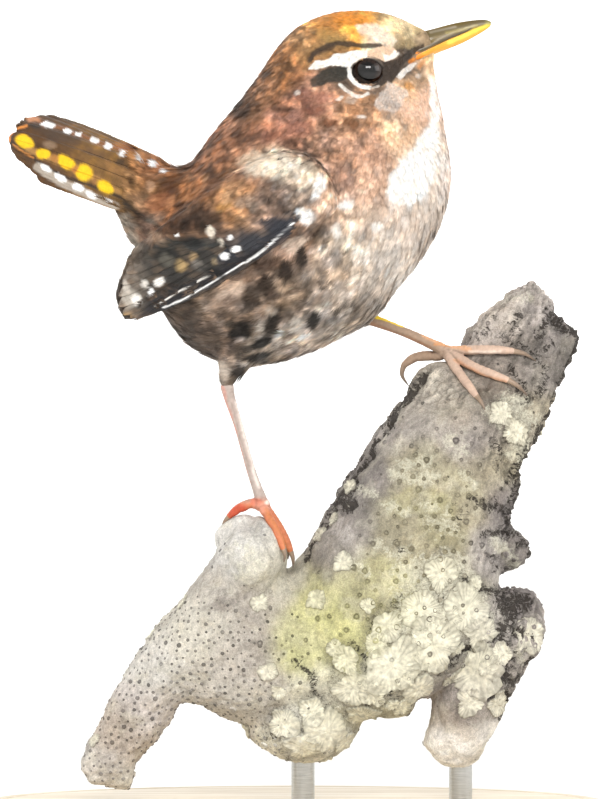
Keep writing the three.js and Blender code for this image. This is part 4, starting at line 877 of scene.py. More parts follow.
def lie_at(p, n):
    """Direction in which a feather lies at points of the skin with normals n, and its length, mm."""
    x, y = grid_of(p)
    d = blend_places(x, y, LIE, 2)
    d = d / np.maximum(np.hypot(d[:, 0], d[:, 1]), 1e-6)[:, None]
    # the stream parts round the eye
    ex, ey = x - EYE_AT[0], y - EYE_AT[1]
    r2 = np.maximum(ex * ex + ey * ey, 17.0 ** 2)
    rx, ry = ex / np.sqrt(ex * ex + ey * ey + 1e-6), ey / np.sqrt(ex * ex + ey * ey + 1e-6)
    dot = d[:, 0] * rx + d[:, 1] * ry
    k = 16.5 ** 2 / r2 * (y < 130)
    d = np.stack([d[:, 0] - k * (2 * dot * rx - d[:, 0]), d[:, 1] - k * (2 * dot * ry - d[:, 1])], -1)
    v = np.stack([d[:, 0], np.zeros(len(p)), -d[:, 1]], -1)
    length = blend_places(x, y, LONG, 1)[:, 0]
    on = np.zeros(len(p))
    for s in (-1, 1):
        c, direction, _, _, size = THIGH_LINES[s]
        dist = np.linalg.norm(p[:, None] - c[None], axis=-1)
        j = (dist / size).argmin(1)
        near = dist[np.arange(len(p)), j] / size[j]
        w = smooth(1.5, 1.1, near) * smooth(0.42, 0.62, j / 39.0) * (p[:, 1] * s > 3)
        v = v * (1 - w[:, None]) + direction[j] * w[:, None]
        length = length * (1 - w) + w * (2.6 - 1.5 * smooth(0.5, 1, j / 39.0))
        on = np.maximum(on, w)
    v = v + 0.0 * n
    v = v - n * (v * n).sum(1, keepdims=True)
    weak = np.linalg.norm(v, axis=1) < 0.15
    v[weak] += np.cross(n[weak], [0, 1.0, 0]) * 0.2
    return unit(v), length, on


def scatter(surface, spacing, seed, tries=14, allowed=None):
    """Points spread over a surface, no two nearer than the spacing that a function gives them."""
    rng = np.random.default_rng(seed)
    v = surface.v
    quads = surface.faces[0]
    tri = np.concatenate([quads[:, [0, 1, 2]], quads[:, [0, 2, 3]]]) if quads.shape[1] == 4 else quads
    if len(surface.faces) > 1:
        tri = np.concatenate([tri, surface.faces[1]])
    a, b, c = v[tri[:, 0]], v[tri[:, 1]], v[tri[:, 2]]
    nrm = np.cross(b - a, c - a)
    area = np.linalg.norm(nrm, axis=1) / 2
    centre = (a + b + c) / 3
    s = spacing(centre, unit(nrm))
    weight = np.where(s > 0, area / np.maximum(s, 0.05) ** 2, 0)
    if allowed is not None:
        weight = weight * allowed(centre, unit(nrm))
    count = int(weight.sum() * tries * 0.75)
    pick = np.sort(rng.choice(len(tri), count, p=weight / weight.sum()))
    rng.shuffle(pick)
    r1, r2 = np.sqrt(rng.random(count)), rng.random(count)
    p = a[pick] * (1 - r1)[:, None] + b[pick] * (r1 * (1 - r2))[:, None] + c[pick] * (r1 * r2)[:, None]
    rad = s[pick]
    cell = rad.max()
    kept = []
    P, R = p.tolist(), (rad * rad).tolist()
    # points go into cells of their own spacing class, and look only at classes next to their own
    level = np.maximum(np.ceil(np.log2(cell / rad) - 1e-9), 0).astype(int).tolist()
    top = max(level)
    size = [cell / 2 ** k for k in range(top + 1)]
    grids = [dict() for _ in range(top + 1)]

    def free(x, y, z, r2, lv0):
        for lv in (lv0, lv0 + 1, lv0 - 1):
            if lv < 0 or lv > top:
                continue
            g, h = grids[lv], size[lv]
            reach = 2 if lv > lv0 else 1
            cx, cy, cz = int(x // h), int(y // h), int(z // h)
            for ax in range(cx - reach, cx + reach + 1):
                for ay in range(cy - reach, cy + reach + 1):
                    for az in range(cz - reach, cz + reach + 1):
                        for (ux, uy, uz) in g.get((ax, ay, az), ()):
                            if (ux - x) ** 2 + (uy - y) ** 2 + (uz - z) ** 2 < r2:
                                return False
        return True

    for i in range(count):
        x, y, z = P[i]
        if free(x, y, z, R[i], level[i]):
            kept.append(i)
            h = size[level[i]]
            grids[level[i]].setdefault((int(x // h), int(y // h), int(z // h)), []).append((x, y, z))
    return p[kept]


def drape(surface, root, direction, length, width, rows):
    """Lays a strip from each root along its direction: points and normals (feather, row, 3 across, 3)."""
    count = len(root)
    P, N = np.empty((count, rows, 3, 3)), np.empty((count, rows, 3, 3))
    p, n = surface.near(root)
    d = unit(direction - n * (direction * n).sum(1, keepdims=True))
    for r in range(rows):
        side = unit(np.cross(n, d))
        P[:, r, 1], N[:, r, 1] = p, n
        for k, s in ((0, -0.5), (2, 0.5)):
            q, m = surface.near(p + side * (s * width)[:, None])
            P[:, r, k], N[:, r, k] = q, m
        if r + 1 < rows:
            q, m = surface.near(p + d * (length / (rows - 1))[:, None])
            d = unit(q - p)
            d = unit(d - m * (d * m).sum(1, keepdims=True))
            p, n = q, m
    return P, N


def on_strip(P, N, u, v):
    """Points and normals at u from 0 to 1 along, v from -1 to 1 across, for each feather; u, v are (feather, k)."""
    rows = P.shape[1]
    t = np.clip(u, 0, 1) * (rows - 1)
    i = np.clip(np.floor(t).astype(int), 0, rows - 2)
    f = (t - i)[..., None]
    k = np.arange(len(P))[:, None]
    out = []
    for A in (P, N):
        row = A[k, i] * (1 - f[..., None]) + A[k, i + 1] * f[..., None]
        q = v[..., None]
        out.append(row[:, :, 0] * (q * (q - 1) / 2) + row[:, :, 1] * (1 - q * q) + row[:, :, 2] * (q * (q + 1) / 2))
    return out[0], unit(out[1])


def feather_plan(n):
    """Topology of a soft feather with n barbs a side, closed near the shaft and loose at the edge: along, across, fringe
    weight and barb number of each vertex, and its faces."""
    i = np.arange(n + 1) / n
    base = 0.01 + 0.74 * i
    tip_u = 0.25 + 0.75 * i ** 0.82
    half = (0.10 + 0.90 * (1 - i ** 2.4) ** 0.75) * smooth(-0.35, 0.35, i) ** 0.8
    u, v, fringe, bar = [base], [np.zeros(n + 1)], [np.zeros(n + 1)], [i * n]
    rows = {}
    count = n + 1
    for s in (-1, 1):
        q = 0.52
        u.append(base + (tip_u - base) * q ** 1.15)
        v.append(s * half * q)
        fringe.append(np.full(n + 1, 0.25))
        bar.append(i * n)
        rows[s, "e"] = count + np.arange(n + 1)
        count += n + 1
        j = (np.arange(n) + 0.5) / n
        th = (0.10 + 0.90 * (1 - j ** 2.4) ** 0.75) * smooth(-0.35, 0.35, j) ** 0.8
        u.append(0.25 + 0.75 * j ** 0.82 + 0.03)
        v.append(s * th)
        fringe.append(np.ones(n))
        bar.append(np.arange(n) + 0.5)
        rows[s, "t"] = count + np.arange(n)
        count += n
    quads, tris = [], []
    a = np.arange(n)
    shaft = np.arange(n + 1)
    for s in (-1, 1):
        hi = rows[s, "e"]
        q = np.stack([shaft[a], shaft[a + 1], hi[a + 1], hi[a]], -1)
        quads.append(q if s < 0 else q[:, ::-1])
        t = np.stack([hi[a], hi[a + 1], rows[s, "t"][a]], -1)
        tris.append(t if s < 0 else t[:, ::-1])
    return np.concatenate(u), np.concatenate(v), np.concatenate(fringe), np.concatenate(bar), np.concatenate(quads), np.concatenate(tris)


SPINE = [(444, 42), (405, 58), (352, 80), (330, 130), (312, 190), (285, 245), (225, 285), (165, 285), (120, 235)]


def unwrap(p):
    """Place on the skin's own unwrap: how far along the spine, and how far round it."""
    x, y = grid_of(p)
    pts = np.array(SPINE, float)
    seg = np.diff(pts, axis=0)
    seg_len = np.hypot(seg[:, 0], seg[:, 1])
    start = np.concatenate([[0], np.cumsum(seg_len)])
    best, s, h = np.full(len(p), 1e9), np.zeros(len(p)), np.zeros(len(p))
    for k in range(len(seg)):
        t = np.clip(((x - pts[k, 0]) * seg[k, 0] + (y - pts[k, 1]) * seg[k, 1]) / seg_len[k] ** 2, 0, 1)
        dx, dy = x - pts[k, 0] - t * seg[k, 0], y - pts[k, 1] - t * seg[k, 1]
        d = np.hypot(dx, dy)
        side = seg[k, 0] * dy - seg[k, 1] * dx
        hit = d < best
        best = np.where(hit, d, best)
        s = np.where(hit, start[k] + t * seg_len[k], s)
        h = np.where(hit, np.sign(side) * d, h)
    return s / start[-1], np.arctan2(p[:, 1] * 5.8, h) / (2 * np.pi) + 0.5


def feathers(root, direction, length, width, surface, seed, barbs, lift0=0.03, lift1=0.14, camber=0.10, fringe=0.22, rows=6, colour=None, tone=0.075, bars=0.0):
    """Soft feathers at roots. Returns vertices, faces, colours, lie and bake map, feather by feather in one block."""
    rng = np.random.default_rng(seed)
    k = len(root)
    P, N = drape(surface, root, direction, length, width * 1.0, rows)
    u0, v0, fr, bar, quads, tris = feather_plan(barbs)
    m = len(u0)
    jitter = rng.normal(0, 1, (k, m)) * fr[None]
    u = u0[None] + jitter * 0.035
    v = np.broadcast_to(v0[None], (k, m)) * (1 + rng.normal(0, 0.10, (k, m)) * fr[None])
    v = v + rng.normal(0, 0.10, (k, 1)) * u0[None] ** 1.5  # a slight bend to one side
    q, n = on_strip(P, N, u, v)
    over = np.clip(u - 1, 0, 1)
    top = (length * lift1)[:, None] * (0.85 + 0.3 * rng.random((k, 1)))
    h = lift0 + top * np.clip(u, 0, 1.1) ** 1.25 - camber * (width[:, None] * 0.5) * v ** 2 * (0.4 + 0.6 * u)
    h = h + rng.normal(0, 0.05, (k, 1)) * width[:, None] * v + rng.normal(0, 1, (k, m)) * 0.012 * fr[None] * length[:, None]
    p = q + n * h[..., None]
    p = p + (P[:, -1, 1] - P[:, -2, 1])[:, None] * (over * (P.shape[1] - 1))[..., None]
    p = p.reshape(-1, 3)
    base = np.arange(k)[:, None, None] * m
    F = [(quads[None] + base).reshape(-1, 4), (tris[None] + base).reshape(-1, 3)]
    mix = 0.80
    at_root = np.repeat(P[:, P.shape[1] // 2, 1], m, 0)
    c = (colour or plumage)(p * mix + at_root * (1 - mix))
    each = (1 + rng.normal(0, tone, (k, 1))) * (1 + (0.03 + 0.06 * fr[None]) * rng.normal(0, 1, (k, m)))
    # painted shade: each feather is darker towards its root, where the feathers lying over it shade it
    shade = 0.80 + 0.24 * np.clip(u, 0, 1)  # darker towards the root
    shade = shade * (1 - 0.10 * (np.abs(v0) < 0.02))  # the shaft shows as a thin darker line
    if bars:
        shade = shade * (1 - bars * smooth(0.2, 0.8, np.sin((u * length[:, None]) * 4.2 + rng.random((k, 1)) * 1.2)) * smooth(0.3, 0.6, u))
    c = c * (each * shade).reshape(-1, 1)
    warm = rng.normal(0, 0.03, (k, 1)) * np.ones((1, m))
    c = c * np.stack([1 + warm.ravel(), np.ones(k * m), 1 - warm.ravel()], -1)
    lie = np.stack([np.broadcast_to(bar[None], (k, m)).ravel(), v.ravel(), np.repeat(rng.random(k), m)], -1)
    us, ut = unwrap(root)
    patch = np.stack([us[:, None] + v * 0.0015, ut[:, None] + (u - 0.5) * 0.003], -1).reshape(-1, 2)
    return p, F, np.clip(c, 0, 1), lie, patch, m


# ------------------------------------------------------------------ the coat
EYE_RING = (16.6, 14.2)   # half size of the bare ring round the eye, grid units


def bare(p, n):
    """True where no small feathers grow."""
    x, y = grid_of(p)
    out = (((x - EYE_AT[0]) / EYE_RING[0]) ** 2 + ((y - EYE_AT[1]) / EYE_RING[1]) ** 2 < 1) & (np.abs(p[:, 1]) > 3.5)
    half, c = bill_band(x, y)
    out |= (x > 411) & (np.abs(c) < 1) & (np.abs(p[:, 1]) < half * np.sqrt(np.maximum(1 - np.minimum(c * c, 1), 0)) + 0.10)
    out |= (inside_outline(x, y, FLIGHT_AREA) < -2) & (np.abs(p[:, 1]) > 9) & (np.abs(n[:, 1]) > 0.3)
    out |= (x < 112) & (y < 232)
    out |= (x < 150) & (y < 220 + 0.46 * (x - 148))
    return out


def spacing(p, n):
    d, length, on = lie_at(p, n)
    s = 0.215 * length + 0.02
    return np.where(bare(p, n), -1, s)


PIECES = {}


def put(name, p, faces, c, lie, uv, m, keep):
    """Adds the kept feathers of a block to a named coat piece."""
    if not keep.any():
        return
    k = len(keep)
    pick = np.nonzero(keep)[0]
    new = -np.ones(k, int)
    new[pick] = np.arange(len(pick))
    faces_out = []
    for f in faces:
        per = len(f) // k
        g = f.reshape(k, per, f.shape[1])[pick]
        g = g - (pick * m)[:, None, None] + (np.arange(len(pick)) * m)[:, None, None]
        faces_out.append(g.reshape(-1, f.shape[1]))

    def rows(a):
        return a.reshape(k, m, -1)[pick].reshape(-1, a.shape[-1])
    PIECES.setdefault(name, []).append((rows(p), faces_out, rows(c), rows(lie), rows(uv)))


def region(root):
    """Coat piece that each root belongs to."""
    s, t = unwrap(root)
    side = np.where(root[:, 1] < 0, "right", "left")
    where = np.select([s < 0.17, s < 0.34, s < 0.52, s < 0.70, s < 0.86], ["face", "crown_and_cheek", "neck_and_breast", "back_and_flank", "belly"], "rump")
    return np.char.add(np.char.add(where.astype("U20"), "_"), side)


roots = scatter(BED, spacing, 11, tries=9)
_, root_n = BED.near(roots)
lie_dir, lie_len, on_leg = lie_at(roots, root_n)
rng0 = np.random.default_rng(4)
lie_dir = unit(lie_dir + np.cross(root_n, lie_dir) * rng0.normal(0, 0.10, (len(roots), 1)))
lie_len = lie_len * rng0.uniform(0.86, 1.14, len(roots))
where = region(roots)
for lo, hi, barbs, rows_n in ((0, 1.25, 7, 4), (1.25, 2.1, 10, 5), (2.1, 3.4, 15, 5), (3.4, 9, 22, 6)):
    k = np.nonzero((lie_len >= lo) & (lie_len < hi))[0]
    if not len(k):
        continue
    L = lie_len[k] * 1.08
    W = L * (0.66 - 0.12 * smooth(1.5, 4, L))
    tall = 0.15 - 0.02 * smooth(1.5, 4.5, L)
    made = feathers(roots[k], lie_dir[k], L, W, BED, 100 + barbs, barbs, lift0=0.02, lift1=tall, rows=rows_n, bars=0.20 if lo > 2 else 0.0)
    for name in np.unique(where[k]):
        put(str(name), *made, where[k] == name)

# ------------------------------------------------------------------ flight feathers
class Sheet:
    """A face seen from the side, on which vanes are laid: height across the bird at each place of the grid."""

    def __init__(self, pts, sign=1):
        nu, nv = pts.shape[:2]
        self.v = pts.reshape(-1, 3)
        f = sheet_faces(nu, nv)
        n = normals(self.v, [f])
        if (n[:, 1] * sign).sum() < 0:
            n = -n
        for _ in range(4):
            n = unit(relax(n, [f], 1, 0.6))
        self.face_n, self.sign = unit(n[f].mean(1)), sign
        self.tree = BVHTree.FromPolygons(self.v.tolist(), f.tolist())

    def at(self, x, y):
        X, Z = gx(x).ravel().tolist(), gz(y).ravel().tolist()
        out, nn = np.empty((len(X), 3)), np.empty((len(X), 3))
        far, to = 60.0 * self.sign, (0, -self.sign, 0)
        for i in range(len(X)):
            hit = self.tree.ray_cast((X[i], far, Z[i]), to)
            if hit[0] is None:
                mid = self.tree.find_nearest((X[i], out[i - 1][1] if i else 10.0 * self.sign, Z[i]))
                out[i] = (X[i], mid[0][1], Z[i])
                nn[i] = self.face_n[mid[2]]
            else:
                out[i] = hit[0]
                nn[i] = self.face_n[hit[2]]
        return out.reshape(*np.shape(x), 3), nn.reshape(*np.shape(x), 3)


def vane(sheet, root, bend, tip, width, outer_share=0.5, height=0.0, tilt=0.1, camber=0.06, nu=56, nv=8, blunt=0.16, seed=1, rise=0.0, thick=0.10, outer=1, notch=0.02, shaft=0.10):
    """One closed vane with its shaft. width is in mm; the outer web lies on the side that outer gives: 1 for the side to
    the right of the way from root to tip as drawn on the grid with y down, -1 for the other."""
    rng = np.random.default_rng(seed)
    root, bend, tip = (np.array(a, float) for a in (root, bend, tip))
    u = np.linspace(0, 1, nu)
    u = 1 - (1 - u) ** 1.25
    c = (1 - u)[:, None] ** 2 * root + 2 * (u * (1 - u))[:, None] * bend + u[:, None] ** 2 * tip
    d = 2 * (1 - u)[:, None] * (bend - root) + 2 * u[:, None] * (tip - bend)
    d /= np.hypot(d[:, 0], d[:, 1])[:, None]
    side = np.stack([-d[:, 1], d[:, 0]], -1) * outer
    v = np.linspace(-1, 1, nv + 1)
    body = smooth(-0.12, 0.22, u) ** 0.8
    end = np.sqrt(np.maximum(1 - (np.clip((u - (1 - blunt)) / blunt, 0, 1)) ** 2.2, 0))
    w = width * 5.8 / 2 * body * np.maximum(end, 0.02)
    share = np.where(v > 0, 2 * outer_share, 2 * (1 - outer_share))
    ragged = 1 + notch * (rng.normal(0, 1, (nu, 1)) * (np.abs(v)[None] > 0.99) + 0.6 * np.sin(u * 37 + seed)[:, None] * (np.abs(v)[None] > 0.99))
    q = c[:, None] + side[:, None] * (w[:, None] * v[None] * share[None] * ragged)[..., None]
    p, n = sheet.at(q[..., 0], q[..., 1])
    h = height + tilt * v[None] + rise * u[:, None] ** 2 - camber * v[None] ** 2 * np.ones((nu, 1))
    # the face of the sheet carries a low ridge at the shaft
    top, low = p + n * h[..., None], p + n * (h - thick)[..., None]
    low[:, 0], low[:, -1] = low[:, 0] * 0.3 + top[:, 0] * 0.7, low[:, -1] * 0.3 + top[:, -1] * 0.7
    m = nv + 1
    f = sheet_faces(nu, m)
    back = sheet_faces(nu, m, nu * m)[:, ::-1]
    i = np.arange(nu - 1)
    j = np.arange(m - 1)
    off = nu * m
    rim = [np.stack([i * m + off, (i + 1) * m + off, (i + 1) * m, i * m], -1),
           np.stack([i * m + m - 1, (i + 1) * m + m - 1, (i + 1) * m + m - 1 + off, i * m + m - 1 + off], -1),
           np.stack([j, j + 1, j + 1 + off, j + off], -1),
           np.stack([(nu - 1) * m + j + off, (nu - 1) * m + j + 1 + off, (nu - 1) * m + j + 1, (nu - 1) * m + j], -1)]
    faces = [np.concatenate([f[:, ::-1], back[:, ::-1]] + rim)]
    verts = np.concatenate([top.reshape(-1, 3), low.reshape(-1, 3)])
    U = np.broadcast_to(u[:, None], (nu, m))
    V = np.broadcast_to(v[None], (nu, m))
    length = np.hypot(*(tip - root)) / 5.8
    bar = U * length * 3.2 + np.abs(V) * width * 1.1
    info = {"u": np.tile(U.ravel(), 2), "v": np.tile(V.ravel(), 2), "under": np.repeat([0, 1], nu * m),
            "lie": np.stack([np.tile(bar.ravel(), 2), np.tile(V.ravel(), 2), np.full(2 * nu * m, rng.random())], -1)}
    verts, faces = facing_out(verts, faces)
    # the shaft: a thin tapering rod let into the face
    cp, cn = sheet.at(c[:, 0], c[:, 1])
    r = shaft * (1 - 0.8 * u)
    e = np.linspace(0, 2 * np.pi, 6)[:-1]
    sd = unit(np.cross(cn, unit(np.gradient(cp, axis=0))))
    hh = height + rise * u ** 2
    rings = (cp + cn * hh[:, None])[:, None] + sd[:, None] * (np.cos(e)[None] * r[:, None])[..., None] + cn[:, None] * (np.sin(e)[None] * r[:, None] * 0.8)[..., None]
    sv, sf = closed_rings(rings)
    sinfo = {"u": np.concatenate([np.repeat(u, 5), [0, 1]]), "v": np.zeros(len(sv)), "under": np.full(len(sv), 2), "lie": np.tile([0.25, 0, 0.5], (len(sv), 1))}
    return (verts, faces, info), (sv, sf, sinfo)


def gather(items):
    """Joins (verts, faces, colour, lie) blocks."""
    vs, fs, cs, ls, n = [], [], [], [], 0
    for v, faces, c, lie in items:
        vs.append(v)
        cs.append(c)
        ls.append(lie)
        fs += [f + n for f in faces]
        n += len(v)
    quads = [f for f in fs if f.shape[1] == 4]
    tris = [f for f in fs if f.shape[1] == 3]
    return np.concatenate(vs), [np.concatenate(g) for g in (quads, tris) if g], np.concatenate(cs), np.concatenate(ls)


WING_MARKS = [
    ("#", [(150, 300), (180, 287), (214, 268), (240, 254), (262, 238), (286, 222), (296, 224), (272, 250), (240, 268), (190, 298), (160, 312), (140, 316)], "#26252a", 0.72, 5, 1.5),
    ("/", [(163, 303), (186, 291), (214, 276), (242, 260), (268, 243), (286, 228)], 4.6, "#1d1b20", 0.95, 1.8, 0.6),
    ("/", [(165, 306), (187, 296), (220, 276), (254, 256), (271, 242), (283, 231), (294, 221)], 1.7, "#ffffff", 1.0, 0.8, 0.35),
    ("/", [(156, 305), (176, 292), (190, 285), (210, 273.5)], 1.6, "#f6f2ec", 1.0, 0.8, 0.4),
    ("o", 226, 254, 4, 4, 20, "#ffffff", 1.0, 0.35, 0.6), ("o", 237, 247, 5, 3, 20, "#ffffff", 1.0, 0.35, 0.6), ("o", 178, 233, 3, 3, 0, "#fbfaf8", 1.0, 0.4, 0.4),
    ("o", 231, 236, 2.5, 3, 0, "#fbfaf8", 1.0, 0.4, 0.4), ("o", 212, 230, 3.5, 8, 12, "#e9dfcf", 0.85, 0.6, 1.2), ("o", 223, 241, 2, 4, 20, "#d8cfc0", 0.8, 0.6, 1),
    ("o", 182, 264, 6, 5, -20, "#b99c6b", 0.85, 0.8, 2), ("o", 194, 255, 5, 4, 0, "#a98e67", 0.7, 0.8, 2), ("o", 216, 260, 4, 4, 0, "#9f8c6d", 0.6, 0.8, 2),
    ("o", 161, 280, 6, 4, 35, "#f7f3ee", 1.0, 0.5, 0.8), ("o", 152, 292, 2.5, 5.5, -12, "#ffffff", 1.0, 0.5, 0.6), ("o", 131, 297, 8, 9, 10, "#d5cec2", 0.5, 0.8, 2), ("o", 137, 299, 5, 6, 10, "#f4efe8", 0.95, 0.5, 0.8),
    ("o", 146, 283, 3, 5, 20, "#e9e4dc", 0.8, 0.5, 0.8), ("o", 128, 286, 3, 6, 20, "#cfc6bb", 0.7, 0.6, 1), ("o", 126, 318, 10, 6, 20, "#b08f62", 0.7, 0.9, 2),
    ("o", 152, 244, 8, 4, -30, "#3c3a38", 0.6, 0.8, 2), ("o", 200, 243, 20, 6, -5, "#35383a", 0.6, 0.8, 3), ("o", 276, 226, 20, 9, -28, "#25272f", 0.85, 0.7, 3), ("o", 252, 240, 12, 8, -28, "#2c2d33", 0.7, 0.8, 3), ("o", 166, 256, 14, 9, -25, "#141311", 0.9, 0.8, 3), ("o", 201, 265, 9, 4.5, -28, "#8f8880", 0.65, 0.8, 3), ("o", 178, 245, 12, 4, -28, "#24221f", 0.6, 0.8, 3), ("o", 150, 262, 8, 6, -20, "#3a3733", 0.6, 0.8, 3), ("o", 191, 240, 13, 5, -8, "#121211", 0.9, 0.8, 2), ("o", 158, 238, 7, 4, 0, "#b59a82", 0.6, 0.8, 2), ("o", 214, 271, 15, 4, -28, "#08080a", 0.85, 0.7, 2),
    ("o", 168, 259, 8, 5, -30, "#6f6a5f", 0.5, 0.9, 3), ("o", 200, 268, 9, 4, -28, "#33312f", 0.6, 0.8, 3),
]


def wing_colour(v, kind, u, across, under, seed):
    x, y = grid_of(v)
    ground = {"primary": "#3f3b37", "secondary": "#39362f", "tertial": "#74583f", "greater": "#3a3a3e", "cover": "#32333a"}[kind]
    rng = np.random.default_rng(seed)
    c = np.tile(lin(ground), (len(v), 1))
    tip = smooth(165, 128, x) * smooth(244, 262, y)
    c += (lin("#958779") - c) * (0.75 * tip * (0.7 + 0.3 * fbm(v, 0.8, 5, 2)))[:, None]
    L = {"primary": 5.2, "secondary": 4.6, "tertial": 3.6, "greater": 2.2, "cover": 2.0}[kind]
    bars = smooth(0.1, 0.75, np.sin(u * 2 * np.pi * L + 0.9 * np.abs(across) + rng.random() * 1.5 + 0.6 * fbm(v, 0.9, seed, 2)))
    pale = lin("#8b7159") if kind != "tertial" else lin("#a5774f")
    dark = lin("#2c2927") if kind != "tertial" else lin("#54402f")
    web = smooth(-0.2, 0.3, across)
    k = {"primary": 0.30, "secondary": 0.30, "tertial": 0.55, "greater": 0.18, "cover": 0.12}[kind]
    dim = smooth(300, 190, x) * smooth(236, 262, y + 0.25 * (x - 165)) * (1 - tip)
    c += (pale - c) * (bars * web * k)[:, None]
    c += (dark - c) * ((1 - bars) * k * 0.8)[:, None]
    c *= np.exp(0.55 * fbm(v, 0.7, 31, 3) + 0.25 * fbm(v, 2.0, 35, 2))[:, None] * (1 + 0.12 * (rng.random() - 0.5))
    # the upper edge of the wing takes the tone of the back
    edge = smooth(6, -8, inside_outline(x, y, [(134, 251), (176, 234), (211, 238), (253, 234), (300, 208), (294, 226), (240, 268), (157, 309), (116, 322), (112, 290)]) * -1)
    back = plumage(v)
    c += (back - c) * (edge * (0.85 if kind in ("tertial", "secondary", "greater") else 0.35))[:, None]
    c = c * (1 - 0.42 * dim)[:, None] * (1 + 0.22 * smooth(212, 196, x) * smooth(270, 262, y) * smooth(255, 262, y))[:, None]
    c = paint(np.clip(c, 0, 1), v, WING_MARKS, 5)
    c = np.where((under == 1)[:, None], c * 0.6 + lin("#8a7c70") * 0.4, c)
    c = np.where((under == 2)[:, None], c * 0.45, c)
    return np.clip(c, 0, 1)


WING_SHEET = Sheet(wing_sheet(64, 24, over=0.10, edge=0.9, end=0.03))


def wing_block(kind, seed, **how):
    out = []
    for v, f, info in vane(WING_SHEET, seed=seed, **how):
        q = v.copy()
        q[:, 1] = -q[:, 1]  # markings are the same on both wings
        out.append((v, f, wing_colour(v, kind, info["u"], info["v"], info["under"], seed), info["lie"]))
    return out


def lerp(a, b, t):
    return tuple(np.array(a, float) * (1 - t) + np.array(b, float) * t)


blocks = []
# primaries, from the outermost and lowest to the innermost
tips = [(170, 303), (153, 311), (141, 316), (131, 318), (124, 314), (119, 305), (118, 294), (121, 282), (126, 271)]
for k, tip in enumerate(tips):
    t = k / 8
    r = lerp((291, 227), (268, 214), t)
    b = lerp((236, 274), (192, 240), t)
    blocks += wing_block("primary", 10 + k, root=r, bend=b, tip=tip, width=2.3 + 0.6 * t, outer_share=0.4, height=-0.62 + 0.03 * k, tilt=0.12, nu=64, nv=8, blunt=0.13, outer=-1, rise=0.15)
tips = [(131, 262), (136, 254), (142, 248), (149, 243), (157, 239), (165, 236)]
for k, tip in enumerate(tips):
    t = k / 5
    r = lerp((262, 224), (250, 208), t)
    b = lerp((196, 244), (205, 222), t)
    blocks += wing_block("secondary", 30 + k, root=r, bend=b, tip=tip, width=2.9, outer_share=0.42, height=-0.36 + 0.03 * k, tilt=0.12, nu=48, nv=8, blunt=0.15, outer=-1)
for k, (r, b, tip, w) in enumerate([((262, 214), (212, 228), (166, 232), 3.6), ((258, 206), (215, 214), (176, 226), 4.0), ((252, 196), (218, 202), (188, 217), 4.2)]):
    blocks += wing_block("tertial", 50 + k, root=r, bend=b, tip=tip, width=w, outer_share=0.46, height=-0.12 + 0.07 * k, tilt=0.12, nu=44, nv=10, blunt=0.24, outer=-1)
# coverts over the bases of the flight feathers: a row of primary coverts, and one of greater coverts
for k in range(7):
    t = k / 6
    blocks += wing_block("cover", 70 + k, root=lerp((303, 214), (276, 222), t), bend=lerp((276, 238), (252, 240), t), tip=lerp((252, 257), (215, 262), t), width=2.5, outer_share=0.42, height=-0.40 + 0.02 * k, tilt=0.12, nu=30, nv=7, blunt=0.22, outer=-1)
for k in range(9):
    t = k / 8
    blocks += wing_block("greater", 90 + k, root=lerp((296, 211), (256, 194), t), bend=lerp((268, 232), (236, 208), t), tip=lerp((236, 254), (204, 222), t), width=3.0, outer_share=0.45, height=-0.16 + 0.03 * k, tilt=0.13, nu=30, nv=8, blunt=0.24, outer=-1)
for k in range(3):
    t = k / 2
    blocks += wing_block("cover", 110 + k, root=lerp((307, 211), (304, 216), t), bend=lerp((288, 226), (290, 230), t), tip=lerp((256, 240), (266, 246), t), width=2.4, outer_share=0.45, height=-0.05 - 0.10 * k, tilt=0.10, nu=26, nv=7, blunt=0.3, outer=-1)
core_v, core_f = wing_mass(WING_LOW)
wing_v, wing_f, wing_c, wing_l = gather(blocks + [(core_v, core_f, np.tile(lin("#3a332e"), (len(core_v), 1)), np.zeros((len(core_v), 3)))])

